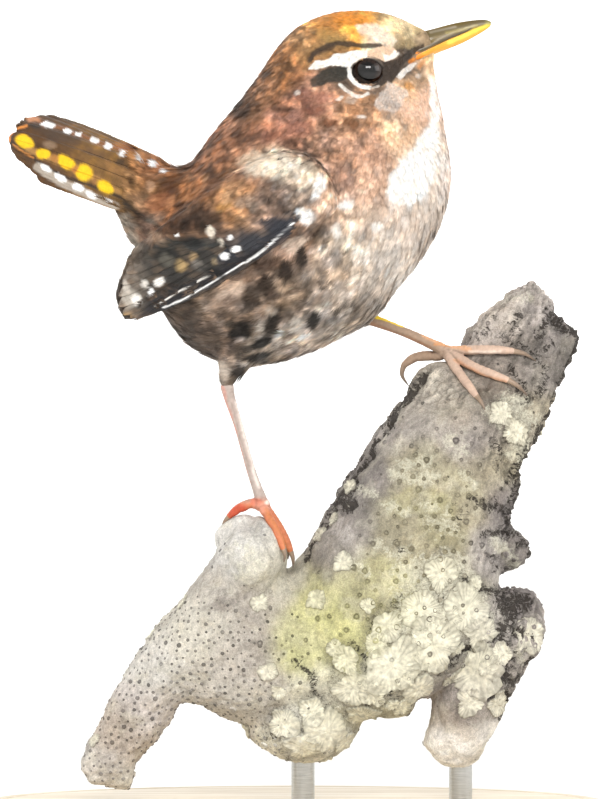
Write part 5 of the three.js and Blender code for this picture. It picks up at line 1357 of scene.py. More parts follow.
# ------------------------------------------------------------------ tail
TAIL_MARKS = [
    ("/", [(36, 122), (60, 127), (90, 138), (120, 149), (150, 158), (176, 170)], 5, "#8a5a38", 0.8, 3, 1.5),
    ("/", [(30, 119), (42, 115), (60, 119), (80, 124), (104, 134), (127, 146), (152, 152), (180, 166)], 1.4, "#3d2d22", 0.8, 1.2, 0.4),
    ("o", 57, 137, 13, 5, -16, "#4b3b2f", 0.8, 0.8, 2.5), ("o", 76, 142, 8, 4, -16, "#54402f", 0.7, 0.8, 2), ("o", 50, 145, 7, 3.5, -10, "#9b8168", 0.6, 0.8, 2), ("o", 96, 152, 10, 4, -20, "#5e4632", 0.6, 0.8, 2.5),
    ("/", [(36, 128), (60, 132), (80, 139)], 4, "#4a3a2e", 0.6, 4, 2), ("o", 128, 148, 13, 5, -20, "#a5683f", 0.6, 0.8, 2),
    ("o", 33, 120, 7, 4, -20, "#c68a63", 0.9, 0.7, 1), ("o", 36, 125, 6, 3.5, 0, "#2f2b28", 0.8, 0.7, 1),
    ("/", [(11.5, 142), (20, 149), (34, 158), (46, 167), (61, 175), (92, 185.5), (118.6, 195.7), (146.7, 213.5)], 3.0, "#2c2520", 0.9, 1.8, 0.7),
    ("/", [(27, 126), (16, 129), (10, 136), (10, 141)], 2.6, "#d98a44", 0.9, 1.5, 0.5), ("/", [(14, 145), (24, 152), (34, 158)], 1.8, "#d08a45", 0.75, 1.2, 0.5),
    ("/", [(30, 150), (56, 161), (78, 169), (98, 180), (120, 190)], 7, "#b8894f", 0.7, 5, 2),
    ("o", 25.5, 142, 10, 6.2, -22, "#f3c11c", 1.0, 0.35, 1.3), ("o", 45, 154, 7.5, 5.2, -10, "#f2bf1a", 1.0, 0.4, 1.3), ("o", 67.5, 163, 8.6, 6.6, -25, "#f3c01b", 1.0, 0.4, 1.5),
    ("o", 85, 173, 8.6, 7.6, -30, "#f2c01b", 1.0, 0.4, 1.5), ("o", 106.5, 186.5, 8.8, 5.8, -30, "#f5c41c", 1.0, 0.4, 1.3), ("o", 56, 159, 4, 3.5, 0, "#a9733a", 0.8, 0.7, 1), ("o", 76, 169, 3.5, 4, 0, "#a9683a", 0.8, 0.7, 1), ("o", 96, 181, 3, 4, 0, "#8d6238", 0.7, 0.7, 1),
    ("#", [(40, 123.5), (46, 121), (55, 124.5), (53, 128), (46, 127.5)], "#ffffff", 1.0, 1.0, 0.6), ("#", [(63, 130), (68, 128), (73.5, 131), (70, 134), (64, 133)], "#ffffff", 1.0, 1.0, 0.6),
    ("#", [(75, 135), (76.5, 131.5), (82, 133), (81, 136.5)], "#ffffff", 1.0, 1.0, 0.5), ("#", [(89, 140), (92, 136.5), (100, 140), (97, 143), (91, 142.5)], "#ffffff", 1.0, 1.0, 0.6),
    ("#", [(103.5, 146), (106, 141), (113, 145), (110, 149), (105, 148.5)], "#ffffff", 1.0, 1.0, 0.6), ("#", [(118, 154), (121, 149.5), (128.5, 153), (125, 157), (119.5, 156.5)], "#ffffff", 1.0, 1.0, 0.6),
    ("#", [(136.5, 161), (138, 155.5), (142, 158), (141, 163)], "#ffffff", 1.0, 1.0, 0.5), ("#", [(149, 166), (150, 160.5), (156.5, 163), (156, 168), (151, 168)], "#ffffff", 1.0, 1.0, 0.6), ("#", [(160.5, 172), (162.5, 168.5), (168, 171.5), (166, 173.5)], "#ffffff", 1.0, 1.0, 0.5),
    ("o", 120, 162, 5, 3, 0, "#3a2f27", 0.7, 0.6, 0.6), ("o", 118, 171, 18, 6, -28, "#9c7248", 0.45, 0.9, 3), ("o", 142, 182, 14, 8, -30, "#a77a50", 0.5, 0.9, 3),
    ("/", [(39, 167), (46, 172), (61, 181), (80, 190), (100, 199), (116, 206)], 8.5, "#a89d90", 0.95, 1.6, 0.6),
    ("o", 47, 168.5, 6, 2.4, -30, "#ffffff", 1.0, 0.35, 0.6), ("o", 62, 177.5, 7, 3, -28, "#ffffff", 1.0, 0.35, 0.6), ("o", 79, 187.5, 6, 3.4, -28, "#ffffff", 1.0, 0.35, 0.6),
    ("o", 92.5, 194.5, 6.5, 3.2, -26, "#ffffff", 1.0, 0.35, 0.6), ("o", 110, 201, 4.5, 2, -30, "#ffffff", 1.0, 0.35, 0.5),
]


TAIL_SHEET = Sheet(tail_sheet(40, 16, 0.5, 0.45, (0.10, 0.30)), sign=-1)


def tail_colour(v, u, across, under, seed):
    x, y = grid_of(v)
    rng = np.random.default_rng(seed)
    c = lin("#84602f") + (lin("#54391f") - lin("#84602f")) * smooth(105, 45, x)[:, None]
    c += (plumage(v) - c) * smooth(112, 132, x)[:, None]
    c = c * np.exp(0.5 * fbm(v, 0.5, 41, 3) + 0.25 * fbm(v, 1.7, 43, 2))[:, None] * (1 + 0.16 * (rng.random() - 0.5))
    bars = smooth(0.0, 0.8, np.sin(u * 2 * np.pi * 9 + 0.7 * np.abs(across) + 0.5 * fbm(v, 0.8, 7, 2)))
    c += (lin("#4a382b") - c) * (0.38 * (1 - bars))[:, None]
    c = paint(np.clip(c, 0, 1), v, TAIL_MARKS, 5)
    grey = lin("#9b8b7c") * (0.75 + 0.35 * bars)[:, None]
    c = np.where((under == 1)[:, None], c * 0.5 + grey * 0.5, c)
    c = np.where((under == 2)[:, None], c * 0.5, c)
    return np.clip(c, 0, 1)


blocks = []
plan = []   # (place across the tail at root and tip, tip, height)
for k in range(5, 0, -1):   # upper side, outermost first
    t = k / 5
    plan.append(((178, 184 - 9 * t), lerp((70, 147), (84, 130), t), [(17, 127), (24, 122), (32, 120), (41, 120), (53, 124)][k - 1], -0.42 * t, -1, 60 + k))
for k in range(5, 0, -1):   # lower side, outermost first
    t = k / 5
    plan.append(((168, 204 + 12 * t), lerp((80, 163), (80, 184), t), [(11, 143), (15, 148), (23, 153), (31, 159), (39, 168)][k - 1], -0.42 * t, 1, 70 + k))
plan.append(((176, 186), (84, 148), (17, 130), 0.02, -1, 80))
plan.append(((172, 198), (82, 158), (9.5, 138), 0.10, 1, 81))
for r, b, tip, height, outer, seed in plan:
    for v, f, info in vane(TAIL_SHEET, root=r, bend=b, tip=tip, width=2.9 if seed < 80 else 3.5, outer_share=0.38 if seed < 80 else 0.5, height=height, tilt=0.07 if seed < 80 else 0.03,
                           camber=0.05, nu=84, nv=12, blunt=0.12, outer=outer, seed=seed, shaft=0.12, notch=0.012):
        blocks.append((v, f, tail_colour(v, info["u"], info["v"], info["under"], seed), info["lie"]))
tail_v, tail_f, tail_c, tail_l = gather(blocks)

# ------------------------------------------------------------------ bill
BILL_MARKS = [
    ("/", [(400, 44), (420, 38), (445, 31), (470, 25), (490, 22)], 5, "#5f5438", 0.75, 4, 0.6), ("/", [(446, 33.5), (462, 29.5), (476, 26)], 3, "#8f7f3a", 0.7, 2, 0.5),
    # the pale spot at the bill's base and the two pale lines along the upper half on the next line are painted
    # highlights
    ("o", 414, 38, 9, 4, -15, "#c3b59f", 0.8, 0.8, 1), ("/", [(408, 44), (425, 38)], 2.5, "#8d8271", 0.6, 2, 0.5), ("/", [(430, 33), (455, 27)], 2.0, "#a39a89", 0.6, 2, 0.4),
    ("/", [(404, 55), (420, 50.5), (436, 43.5), (452, 36.5), (470, 29.5)], 2.2, "#3b332b", 0.75, 1.4, 0.3),
    ("o", 418, 57, 12, 4.5, -18, "#ec8b2e", 0.9, 0.8, 0.6), ("/", [(428, 52), (440, 47), (452, 41)], 4, "#f2a62b", 0.9, 2.5, 0.4), ("/", [(448, 43), (462, 37), (474, 31)], 4, "#f3d050", 0.95, 2.5, 0.4),
    ("/", [(470, 33), (480, 28.5), (489, 25)], 3.5, "#dccb46", 0.9, 2, 0.3), ("o", 489, 22.5, 4, 2.5, 0, "#8d8850", 0.7, 0.8, 0.2),
]


def bill_half(upper):
    b = np.array(BILL, float)
    t = np.linspace(0, 1, 90)
    if upper:
        D, V = at(b[:, 0], b[:, 1]), at(b[:, 2], b[:, 3])
    else:   # its cutting edge stands inside the upper half's
        D, V = at(b[:, 2], b[:, 3] - 1.5 * b[:, 6] ** 0.5), at(b[:, 4], b[:, 5])
    d, v = Curve(D).at(t), Curve(V).at(t)
    w = Curve(np.stack([np.arange(len(b)), b[:, 6] * (1 if upper else 0.90), 0 * b[:, 6]], -1)).at(t)[:, 1]
    a = np.arange(48) / 48 * 2 * np.pi
    h = np.cos(a)
    k = h if upper else -h     # 1 at the ridge or keel, -1 at the cutting edge
    width = (1 - ((k + 1) / 2) ** (2.0 if upper else 2.2)) ** 0.72 * np.sqrt(np.maximum(1 - np.clip((-k - 0.72) / 0.28, 0, 1) ** 2, 0))
    end = np.sqrt(np.clip((1 - t) / 0.04, 0, 1))[:, None] * 0.9 + 0.1
    mid, half = (d + v) / 2, (d - v) / 2
    rings = mid[:, None] + half[:, None] * (h * 1.0)[None, :, None] * np.where(t < 0.96, 1, end[:, 0])[:, None, None]
    rings[:, :, 1] += w[:, None] * width[None] * np.sign(np.sin(a))[None] * end
    p, f = closed_rings(rings)
    x, y = grid_of(p)
    if upper:   # the nostril lies in a long groove
        groove = np.exp(-((x - 424) / 9) ** 2 - ((y - (43.5 - 0.42 * (x - 424))) / 2.6) ** 2)
        hole = np.exp(-((x - 422) / 3.6) ** 2 - ((y - (44.2 - 0.42 * (x - 422))) / 1.3) ** 2)
        p[:, 1] -= np.sign(p[:, 1]) * np.minimum(0.22 * groove + 0.30 * hole, np.abs(p[:, 1]) * 0.6)
    p = p + 0.02 * fbm(p * [0.6, 1, 1], 3.0, 3, 2)[:, None] * unit(p - p.mean(0))
    c = np.tile(lin("#685523" if upper else "#eda637"), (len(p), 1))
    c = paint(c, p, BILL_MARKS, 8)
    # painted shade: the upper half is darkened at the nostril, for the shade inside the opening
    if upper:
        c = c * (1 - 0.85 * np.exp(-((x - 422) / 3.8) ** 2 - ((y - (44.2 - 0.42 * (x - 422))) / 1.5) ** 2))[:, None]
    c = c * (1 + 0.10 * fbm(p, 1.4, 13, 3))[:, None]
    return p, f, c


# ------------------------------------------------------------------ eyes and lids
def eyeball(side):
    rings, around = 44, 64
    th = np.linspace(0.02, np.pi - 0.02, rings)
    a = np.arange(around) / around * 2 * np.pi
    r = EYE_R + 0.0 * th
    rho = EYE_R * np.sin(th)
    bulge = 0.12 * np.exp(-(rho / 1.9) ** 2) * (np.cos(th) > 0)
    y = (r + bulge) * np.cos(th) * side
    ring = np.stack([np.sin(th)[:, None] * r[:, None] * np.cos(a)[None], np.repeat(y[:, None], around, 1), np.sin(th)[:, None] * r[:, None] * np.sin(a)[None]], -1)
    p, f = closed_rings(ring + at(*EYE_AT, side * EYE_Y)[None, None])
    rho = np.hypot(p[:, 0] - gx(EYE_AT[0]), p[:, 2] - gz(EYE_AT[1]))
    ang = np.arctan2(p[:, 2] - gz(EYE_AT[1]), p[:, 0] - gx(EYE_AT[0]))
    iris = smooth(1.55, 1.75, rho) * smooth(2.75, 2.45, rho)
    c = np.tile(lin("#050404"), (len(p), 1))
    c += (lin("#2b1a10") * (1 + 0.5 * np.sin(ang * 31) * np.sin(ang * 17 + 1))[:, None] - c) * (iris * 0.75)[:, None]
    return p, f, np.clip(c, 0, 1)


def lids(side, surface):
    """The bare, beaded rim round the eye, and the lids' skin that leads out to the feathers."""
    k, rows = 160, 9
    a = np.arange(k) / k * 2 * np.pi
    corner = 1 + 0.05 * np.cos(a) ** 8
    rim = np.stack([2.62 * np.cos(a) * corner, 2.17 * np.sin(a)], -1)
    rho2 = (rim ** 2).sum(1)
    on = np.sqrt(EYE_R ** 2 - rho2)
    c0 = at(*EYE_AT, 0)
    centre = np.stack([c0[0] + rim[:, 0], side * (EYE_Y + on + 0.05), c0[2] + rim[:, 1]], -1)
    out = unit(np.stack([rim[:, 0] / 2.62 ** 2, 0 * a, rim[:, 1] / 2.17 ** 2], -1))
    up = unit(np.stack([rim[:, 0], side * on, rim[:, 1]], -1))
    flat = unit(out - up * (out * up).sum(1, keepdims=True))
    e = np.arange(12) / 12 * 2 * np.pi
    bead = 0.13 * (1 + 0.16 * np.cos(a * 34)) * (1 + 0.25 * np.cos(a) ** 6)
    ring = centre[:, None] + flat[:, None] * (np.cos(e)[None] * bead[:, None] * 1.15)[..., None] + up[:, None] * (np.sin(e)[None] * bead[:, None])[..., None]
    i, j = np.meshgrid(np.arange(k), np.arange(12), indexing="ij")
    q = np.stack([i * 12 + j, i * 12 + (j + 1) % 12, (i + 1) % k * 12 + (j + 1) % 12, (i + 1) % k * 12 + j], -1).reshape(-1, 4)
    rv, rf = facing_out(ring.reshape(-1, 3), [q])
    # lids: from the rim out to the skin
    s = np.linspace(0, 1, rows)
    far = np.stack([c0[0] + rim[:, 0] * 1.30, np.full(k, side * 6.6), c0[2] + rim[:, 1] * 1.34], -1)
    foot, _ = surface.near(far)
    foot[:, 1] -= side * 0.12
    inner = centre - up * 0.03
    lid = inner[:, None] * (1 - s)[None, :, None] + foot[:, None] * s[None, :, None]
    puff = np.sin(s * np.pi) ** 0.8 * 0.16 + 0.02 * np.sin(s * 25)
    lid[..., 1] += side * puff[None]
    under = lid.copy()
    under[..., 1] -= side * 0.25
    shell = np.concatenate([lid, under[:, ::-1]], 1)
    m = rows * 2
    i, j = np.meshgrid(np.arange(k), np.arange(m), indexing="ij")
    q = np.stack([i * m + j, i * m + (j + 1) % m, (i + 1) % k * m + (j + 1) % m, (i + 1) % k * m + j], -1).reshape(-1, 4)
    lv, lf = facing_out(shell.reshape(-1, 3), [q])
    v, f = join([(rv, rf), (lv, lf)])
    c = np.concatenate([np.tile(lin("#2b2521"), (len(rv), 1)), np.clip(plumage(lv) * 0.75, 0, 1) * 0.6 + 0.4 * lin("#6b5d52")])
    return v, f, c


# ------------------------------------------------------------------ legs, toes and claws
TARSUS = {
    -1: [[227, 383, -7.1, 1.05], [229, 393, -6.9, 1.0], [239, 425, -6.5, 0.78], [251, 468, -6.2, 0.78], [257, 486, -6.1, 0.86], [260.5, 496, -6.0, 1.0], [262, 503, -6.0, 1.05]],
    1: [[363, 317, 7.7, 1.05], [376, 322, 6.9, 1.0], [400, 331, 6.3, 0.84], [420, 339.5, 5.8, 0.86], [432, 345, 5.4, 0.92], [440, 348.5, 5.2, 1.0], [447, 353, 5.2, 1.05]],
}
TOES = {
    -1: [
        [[262, 503, -6.0, 1.0], [252, 502, -6.2, 0.88], [243, 505, -6.4, 0.86], [236, 509, -6.5, 0.76], [230, 514, -6.5, 0.54], [225, 520, -6.5, 0.34], [222, 528, -6.5, 0.12]],
        [[262, 503, -6.0, 1.05], [271, 514, -6.0, 0.84], [279, 526, -6.0, 0.8], [286, 539, -6.0, 0.74], [290, 548, -6.0, 0.56], [293, 557, -6.0, 0.36], [293, 566, -6.0, 0.12]],
        [[262, 503, -6.0, 1.0], [268, 514, -7.7, 0.8], [275, 526, -9.2, 0.76], [280, 537, -10.2, 0.68], [283, 545, -10.7, 0.5], [285, 552, -11.0, 0.32], [284, 559, -11.0, 0.12]],
        [[262, 503, -6.0, 1.0], [269, 514, -4.4, 0.8], [276, 526, -3.0, 0.76], [282, 537, -2.2, 0.68], [286, 545, -1.8, 0.5], [288, 552, -1.6, 0.32], [288, 559, -1.5, 0.12]],
    ],
    1: [
        [[447, 353, 5.2, 1.0], [437, 357, 5.9, 0.92], [425, 357, 6.4, 0.88], [413, 360, 6.8, 0.8], [405, 366, 6.9, 0.6], [402.5, 376, 6.9, 0.38], [409, 387, 6.6, 0.12]],
        [[447, 353, 5.2, 1.05], [462, 351, 3.4, 0.86], [480, 350, 1.1, 0.82], [498, 350, 0.4, 0.76], [512, 351, 0.3, 0.56], [525, 354, 0.3, 0.36], [536, 361, 0.2, 0.12]],
        [[447, 353, 5.2, 1.0], [458, 358, 2.6, 0.88], [474, 367, -0.7, 0.82], [492, 374, -2.5, 0.78], [506, 379, -3.2, 0.58], [518, 386, -3.6, 0.38], [527, 395, -4.0, 0.12]],
        [[447, 353, 5.2, 1.0], [451, 361, 2.2, 0.86], [460, 374, -1.0, 0.8], [469, 386, -4.1, 0.74], [475, 394, -5.6, 0.54], [481, 402, -6.6, 0.34], [485, 412, -7.2, 0.12]],
    ],
}
LEG_MARKS = [
    # the pale line down the right tarsus (#e6dcd5) is a painted highlight
    ("/", [(222, 386), (230, 410), (238, 440), (248, 480)], 4, "#cf8f80", 0.6, 3, 1.5), ("/", [(237, 400), (247, 440), (258, 485)], 3, "#e6dcd5", 0.7, 3, 1),
    ("/", [(232, 400), (240, 432), (250, 470)], 1.6, "#8d7c74", 0.5, 1.6, 1), ("/", [(372, 327), (395, 337), (420, 347), (434, 353)], 2.2, "#6d4c36", 0.8, 1.6, 0.8), ("/", [(436, 345), (450, 347), (466, 346)], 3, "#c98a50", 0.7, 2, 1),
    # the near-white spot at (270, 500) on the right foot is a painted highlight
    ("o", 237, 510, 11, 8, 0, "#b3482e", 0.95, 0.7, 1.5), ("o", 256, 500, 6, 4, 0, "#c4664a", 0.7, 0.7, 1.5), ("o", 262, 505, 9, 6, 0, "#d59a86", 0.6, 0.8, 2), ("/", [(266, 508), (280, 530), (290, 552)], 4, "#c27b4d", 0.6, 3, 1), ("o", 270, 500, 5, 3, 0, "#fbf3ec", 0.6, 0.8, 1),
    # the yellow band along the top of the left tarsus (#f2d02f) is a painted highlight
    ("/", [(372, 316), (395, 322), (408, 327)], 5, "#f2d02f", 0.95, 2, 1), ("/", [(372, 325), (400, 337), (430, 348)], 4, "#96684a", 0.6, 3, 1),
    # the pale line along the top of the left foot's middle toe (#e9d9cb) is a painted highlight
    ("/", [(425, 336), (445, 344), (470, 350)], 5, "#dba67c", 0.7, 3, 1), ("/", [(470, 352), (500, 352)], 3, "#e9d9cb", 0.7, 2, 1), ("/", [(455, 360), (480, 374), (505, 382)], 4, "#cf9a74", 0.6, 3, 1),
]


def toe_shape(forward, plates, pads):
    def shape(t, a):
        back = np.cos(a) * (1 if not forward else -1)   # 1 on the upper side of the toe
        s = (t * plates) % 1
        scute = 0.11 * (s ** 2.2 - 0.30) * smooth(-0.1, 0.5, back)
        pad = 0.16 * (np.abs(np.sin(np.pi * t * pads)) - 0.5) * smooth(0.1, 0.7, -back)
        flat = -0.06 * smooth(0.5, 1.0, -back)
        return 1 + scute + pad + flat
    return shape


def leg(side):
    parts = [limb(TARSUS[side], 150, 40, lambda t, a: 1 + (0.10 * (((t * 17) % 1) ** 2.5 - 0.3)) * smooth(-0.2, 0.5, -np.cos(a)) + 0.03 * np.sin(9 * a) * smooth(0, 0.5, np.cos(a)) + 0.10 * np.exp(-((t - 0.06) / 0.08) ** 2))]
    claws = []
    for i, k in enumerate(TOES[side]):
        n = len(k) - 1
        fleshy = k[:5]
        parts.append(limb(fleshy, 90, 32, toe_shape(i != 0, 13, 4 if i else 3)))
        tip = np.array(k[4][:3]), k[4][3]
        c = at(*tip[0])
        g = np.linspace(0, np.pi, 14)
        b = np.arange(18) / 18 * 2 * np.pi
        r = tip[1] * 1.02
        ball = np.stack([np.sin(g)[:, None] * np.cos(b) * r, np.sin(g)[:, None] * np.sin(b) * r, np.cos(g)[:, None] * r * np.ones(18)], -1) + c
        parts.append(closed_rings(ball))
        start = [(3 * k[3][j] + 7 * k[4][j]) / 10 for j in range(3)] + [0.40 * k[4][3] / 0.54]
        horn = [start, [*k[4][:3], 0.80 * k[4][3]], [*k[5][:3], 0.82 * k[5][3]], [*k[6][:3], 0.07]]
        claws.append(limb(horn, 40, 20, lambda t, a: 1 + 0.25 * (np.abs(np.cos(a)) ** 1.5 - 0.5)))
    c = at(*TOES[side][0][0][:3])
    g, b = np.linspace(0, np.pi, 16), np.arange(24) / 24 * 2 * np.pi
    parts.append(closed_rings(np.stack([np.sin(g)[:, None] * np.cos(b) * 1.45, np.sin(g)[:, None] * np.sin(b) * 1.35, np.cos(g)[:, None] * 1.25 * np.ones(24)], -1) + c))
    v, f = remesh(parts, 0.13)
    v = relax(v, f, 2, 0.5)
    c = np.tile(lin("#aa9b93" if side < 0 else "#98806c"), (len(v), 1))
    x, y = grid_of(v)
    toes = smooth(492, 505, y) if side < 0 else smooth(436, 452, x)
    c += (lin("#c46938" if side < 0 else "#c6ab99") - c) * (0.85 * toes)[:, None]
    c = paint(c, v, LEG_MARKS, 4)
    c = c * (1 + 0.10 * fbm(v, 1.2, 17, 3))[:, None]
    # painted shade and light: the skin is darkened in the hollows between scales, pads and toes and lightened on the
    # ridges, by how far each place lies below or above a smoothed copy of the surface
    n = normals(v, f)
    smoothed = relax(v, f, 10, 0.6)
    painted_shade_and_light = ((v - smoothed) * n).sum(1)
    c = c * (1 + np.clip(painted_shade_and_light * 7, -0.30, 0.12))[:, None]
    cv, cf = join(claws)
    t = np.concatenate([np.concatenate([np.repeat(np.linspace(0, 1, 41), 20), [0, 1]])] * len(claws))
    cc = lin("#b79c83") * (1 - t)[:, None] + lin("#5f5044") * t[:, None]
    return (v, f, np.clip(c, 0, 1)), (cv, cf, cc * (1 + 0.15 * fbm(cv, 2.0, 5, 2))[:, None])

# ------------------------------------------------------------------ the wood
WOOD_UP = [
    [352, 722, 410, 714, 6, 0], [300, 706, 432, 694, 11, 0], [262, 668, 478, 664, 13, 0], [262, 622, 506, 618, 13.8, 0], [287, 574, 500, 580, 13.6, 0.4],
    [322, 515, 510, 535, 13, 1], [354, 458, 523, 490, 12.2, 1.8], [384, 418, 538, 446, 11.4, 2.8], [413, 392, 551, 416, 10.2, 4.2],
    [444, 372, 563, 388, 8.4, 6.2], [458, 352, 574, 362, 7.4, 7.8], [466, 331, 581, 338, 7, 8.6], [484, 307, 566, 316, 6.2, 9], [505, 292, 551, 299, 4.2, 9.3], [521, 284, 539, 288, 1.6, 9.5],
]
WOOD_DOWN = [
    [345, 585, 350, 706, 9, -0.5], [294, 574, 300, 724, 11.4, -1], [262, 548, 250, 724, 11.2, -1.8], [232, 545, 216, 714, 10.6, -2.6], [205, 562, 196, 704, 9.6, -3],
    [170, 608, 184, 702, 8.4, -3], [138, 650, 171, 720, 7, -3], [113, 690, 155, 742, 6.1, -3], [96, 725, 141, 762, 5.4, -3], [81, 754, 134, 781, 4.6, -3], [80, 772, 128, 790, 3, -3],
]
WOOD_STUB = [[462, 626, 528, 632, 9, 1], [444, 664, 524, 672, 9, 1], [434, 696, 511, 702, 8.2, 1], [427, 722, 500, 730, 7.2, 1], [423, 744, 485, 755, 5.8, 1], [440, 764, 467, 770, 2.6, 1]]
KNOBS = [[(248, 556, -5.6), (6.9, 9.6, 7.6)], [(302, 716, -0.5), (10.4, 10, 8.2)], [(512, 552, 2), (3.6, 6, 2.8)], [(503, 634, 1.5), (7.6, 9, 8)], [(444, 397, 4.4), (6.4, 6.4, 6.1)]]


def wood_loft(stations, steps, around, rough=0.05):
    s = np.array(stations, float)
    t = np.linspace(0, 1, steps + 1)
    a, b = Curve(at(s[:, 0], s[:, 1], s[:, 5])).at(t), Curve(at(s[:, 2], s[:, 3], s[:, 5])).at(t)
    deep = Curve(np.stack([np.arange(len(s)), s[:, 4], 0 * s[:, 4]], -1)).at(t)[:, 1]
    u = np.arange(around) / around * 2 * np.pi
    lump = 1 + rough * (np.sin(3 * u[None] + 11 * t[:, None]) + 0.7 * np.sin(5 * u[None] - 17 * t[:, None]))
    rings = ((a + b) / 2)[:, None] + ((a - b) / 2)[:, None] * power(np.cos(u), 0.9)[None, :, None]
    rings[:, :, 1] += deep[:, None] * power(np.sin(u), 0.85)[None] * lump
    return closed_rings(rings)


def ellipsoid(centre, radii, rings=28, around=40):
    g, b = np.linspace(0, np.pi, rings), np.arange(around) / around * 2 * np.pi
    p = np.stack([np.sin(g)[:, None] * np.cos(b), np.sin(g)[:, None] * np.sin(b), np.cos(g)[:, None] * np.ones(around)], -1) * np.array(radii) + at(*centre)
    return closed_rings(p)


# The wood's outline from the side, and the flat-faced blocks left where it broke off.
WOOD_EDGE = [
    (232, 530.7), (245, 527), (258, 531), (270, 551), (289.6, 567.4), (300, 560), (311.7, 540), (335.5, 497), (356, 467.7), (372, 440), (404, 396), (424, 366), (450, 360), (462, 345), (464, 333),
    (487, 312), (507, 295), (536, 280), (557, 302), (552, 311), (583, 334), (575, 357), (567, 374), (548, 422), (538, 444), (520, 468), (522, 481), (514, 523), (520, 529), (533, 551), (529, 561), (519, 568),
    (500, 580), (533, 586), (543, 602), (547, 637), (539, 650), (529, 664), (507, 702), (485, 743), (478, 762), (465, 770), (439, 766), (423, 746), (433, 711), (434, 698), (414, 692), (411, 708), (399, 721),
    (366, 712), (358, 733), (341, 756), (315, 766), (280, 758), (254, 743), (242, 724), (222, 721), (187, 704), (172, 724), (156, 743), (137, 762), (129, 791), (108, 788), (85, 785), (79, 765), (95, 723),
    (123, 669), (155, 630), (203, 573),
]
BLOCKS = [
    ([(470, 345), (470, 334), (489, 314), (508, 297), (535, 282), (556, 303), (551, 312), (582, 335), (574, 358), (562, 372), (500, 380)], 8.7, 5.4),
    ([(480, 540), (500, 528), (519, 530), (532, 551), (528, 560), (518, 567), (490, 575)], 2.0, 3.8),
    ([(490, 590), (520, 588), (532, 588), (542, 603), (546, 636), (536, 650), (500, 660)], 1.0, 5.5),
    ([(437, 715), (480, 715), (494, 722), (483, 743), (476, 761), (464, 768), (441, 764), (426, 746)], 1.0, 4.4),
    ([(92, 735), (140, 735), (150, 744), (136, 762), (128, 789), (108, 786), (87, 783), (81, 765)], -3.0, 3.6),
]


def slab(outline, middle, half):
    """A flat-faced block: its outline in the side view, its middle across, and half its depth, mm."""
    p = np.array(outline, float)
    c = p.mean(0)
    q = np.concatenate([a + (b - a) * np.linspace(0, 1, 6)[:-1, None] for a, b in zip(p, np.roll(p, -1, axis=0))])
    rings = []
    for y, share in ((-half, 0.62), (-half + 0.4, 0.82), (-half + 1.3, 1.0), (half - 1.3, 1.0), (half - 0.4, 0.82), (half, 0.62)):
        g = c + (q - c) * share
        rings.append(at(g[:, 0], g[:, 1], middle + y))
    return closed_rings(np.array(rings))


wood_v, wood_f = remesh([wood_loft(WOOD_UP, 90, 72), wood_loft(WOOD_DOWN, 70, 60), wood_loft(WOOD_STUB, 40, 48)] + [ellipsoid(c, r) for c, r in KNOBS] + [slab(*b) for b in BLOCKS], 0.46)
wood_v = relax(wood_v, wood_f, 6, 0.5)


def segment_distance(p, lines):
    best = np.full(len(p), 1e9)
    for knots in lines:
        k = np.array(knots, float)
        q = at(k[:, 0], k[:, 1], k[:, 2])
        for a, b in zip(q[:-1], q[1:]):
            d = b - a
            t = np.clip(((p - a) @ d) / (d @ d), 0, 1)
            best = np.minimum(best, np.linalg.norm(p - a - t[:, None] * d, axis=1))
    return best


FOOT_LINES = TOES[-1] + TOES[1]
foot_gap = segment_distance(wood_v, FOOT_LINES)


def trimmed(v, weight):
    """Cuts what stands past the wood's outline back to it."""
    x, y = grid_of(v)
    wobble = 1.6 * fbm(v, 0.8, 141, 3)
    d = inside_outline(x, y, WOOD_EDGE) + wobble
    dx = inside_outline(x + 0.6, y, WOOD_EDGE) - inside_outline(x - 0.6, y, WOOD_EDGE)
    dy = inside_outline(x, y + 0.6, WOOD_EDGE) - inside_outline(x, y - 0.6, WOOD_EDGE)
    size = np.maximum(np.hypot(dx, dy), 0.3)
    move = np.clip(d, 0, 9) * weight / 5.8
    out = v.copy()
    out[:, 0] -= move * dx / size
    out[:, 2] += move * dy / size
    return out


wood_v = trimmed(wood_v, smooth(1.3, 3.4, foot_gap))
wood_v = relax(wood_v, wood_f, 2, 0.5, weight=smooth(1.3, 3.4, foot_gap))
wood_n = normals(wood_v, wood_f)
wx, wy = grid_of(wood_v)
arm = smooth(335, 285, wx + 0.25 * (wy - 640))      # the left, lower arm
grain_up, grain_arm = unit(np.array([0.42, 0.06, 0.9])), unit(np.array([0.86, 0.0, 0.5]))


def grained(p, axis, along, across):
    """Coordinates stretched along an axis, for grain and cracks."""
    t = p @ axis
    return p * across + axis[None] * (t * (along - across))[:, None]


cracks_up = 1 - np.abs(fbm(grained(wood_v, grain_up, 0.045, 0.42), 1.0, 61, 4, 0.55)) * 3.2
cracks_arm = 1 - np.abs(fbm(grained(wood_v, grain_arm, 0.06, 0.5), 1.0, 67, 4, 0.55)) * 3.2
cracks = np.clip(cracks_up * (1 - arm) + cracks_arm * arm, 0, 1) ** 2.2
bare_wood = smooth(470, 520, wx + 0.12 * (600 - wy)) + smooth(430, 380, wy)
bare_wood = np.clip(bare_wood, 0, 1) * (1 - arm)
shape = 0.75 * fbm(wood_v, 0.13, 51, 3) + 0.28 * fbm(wood_v, 0.55, 53, 3) + 0.10 * fbm(wood_v, 1.8, 55, 2)
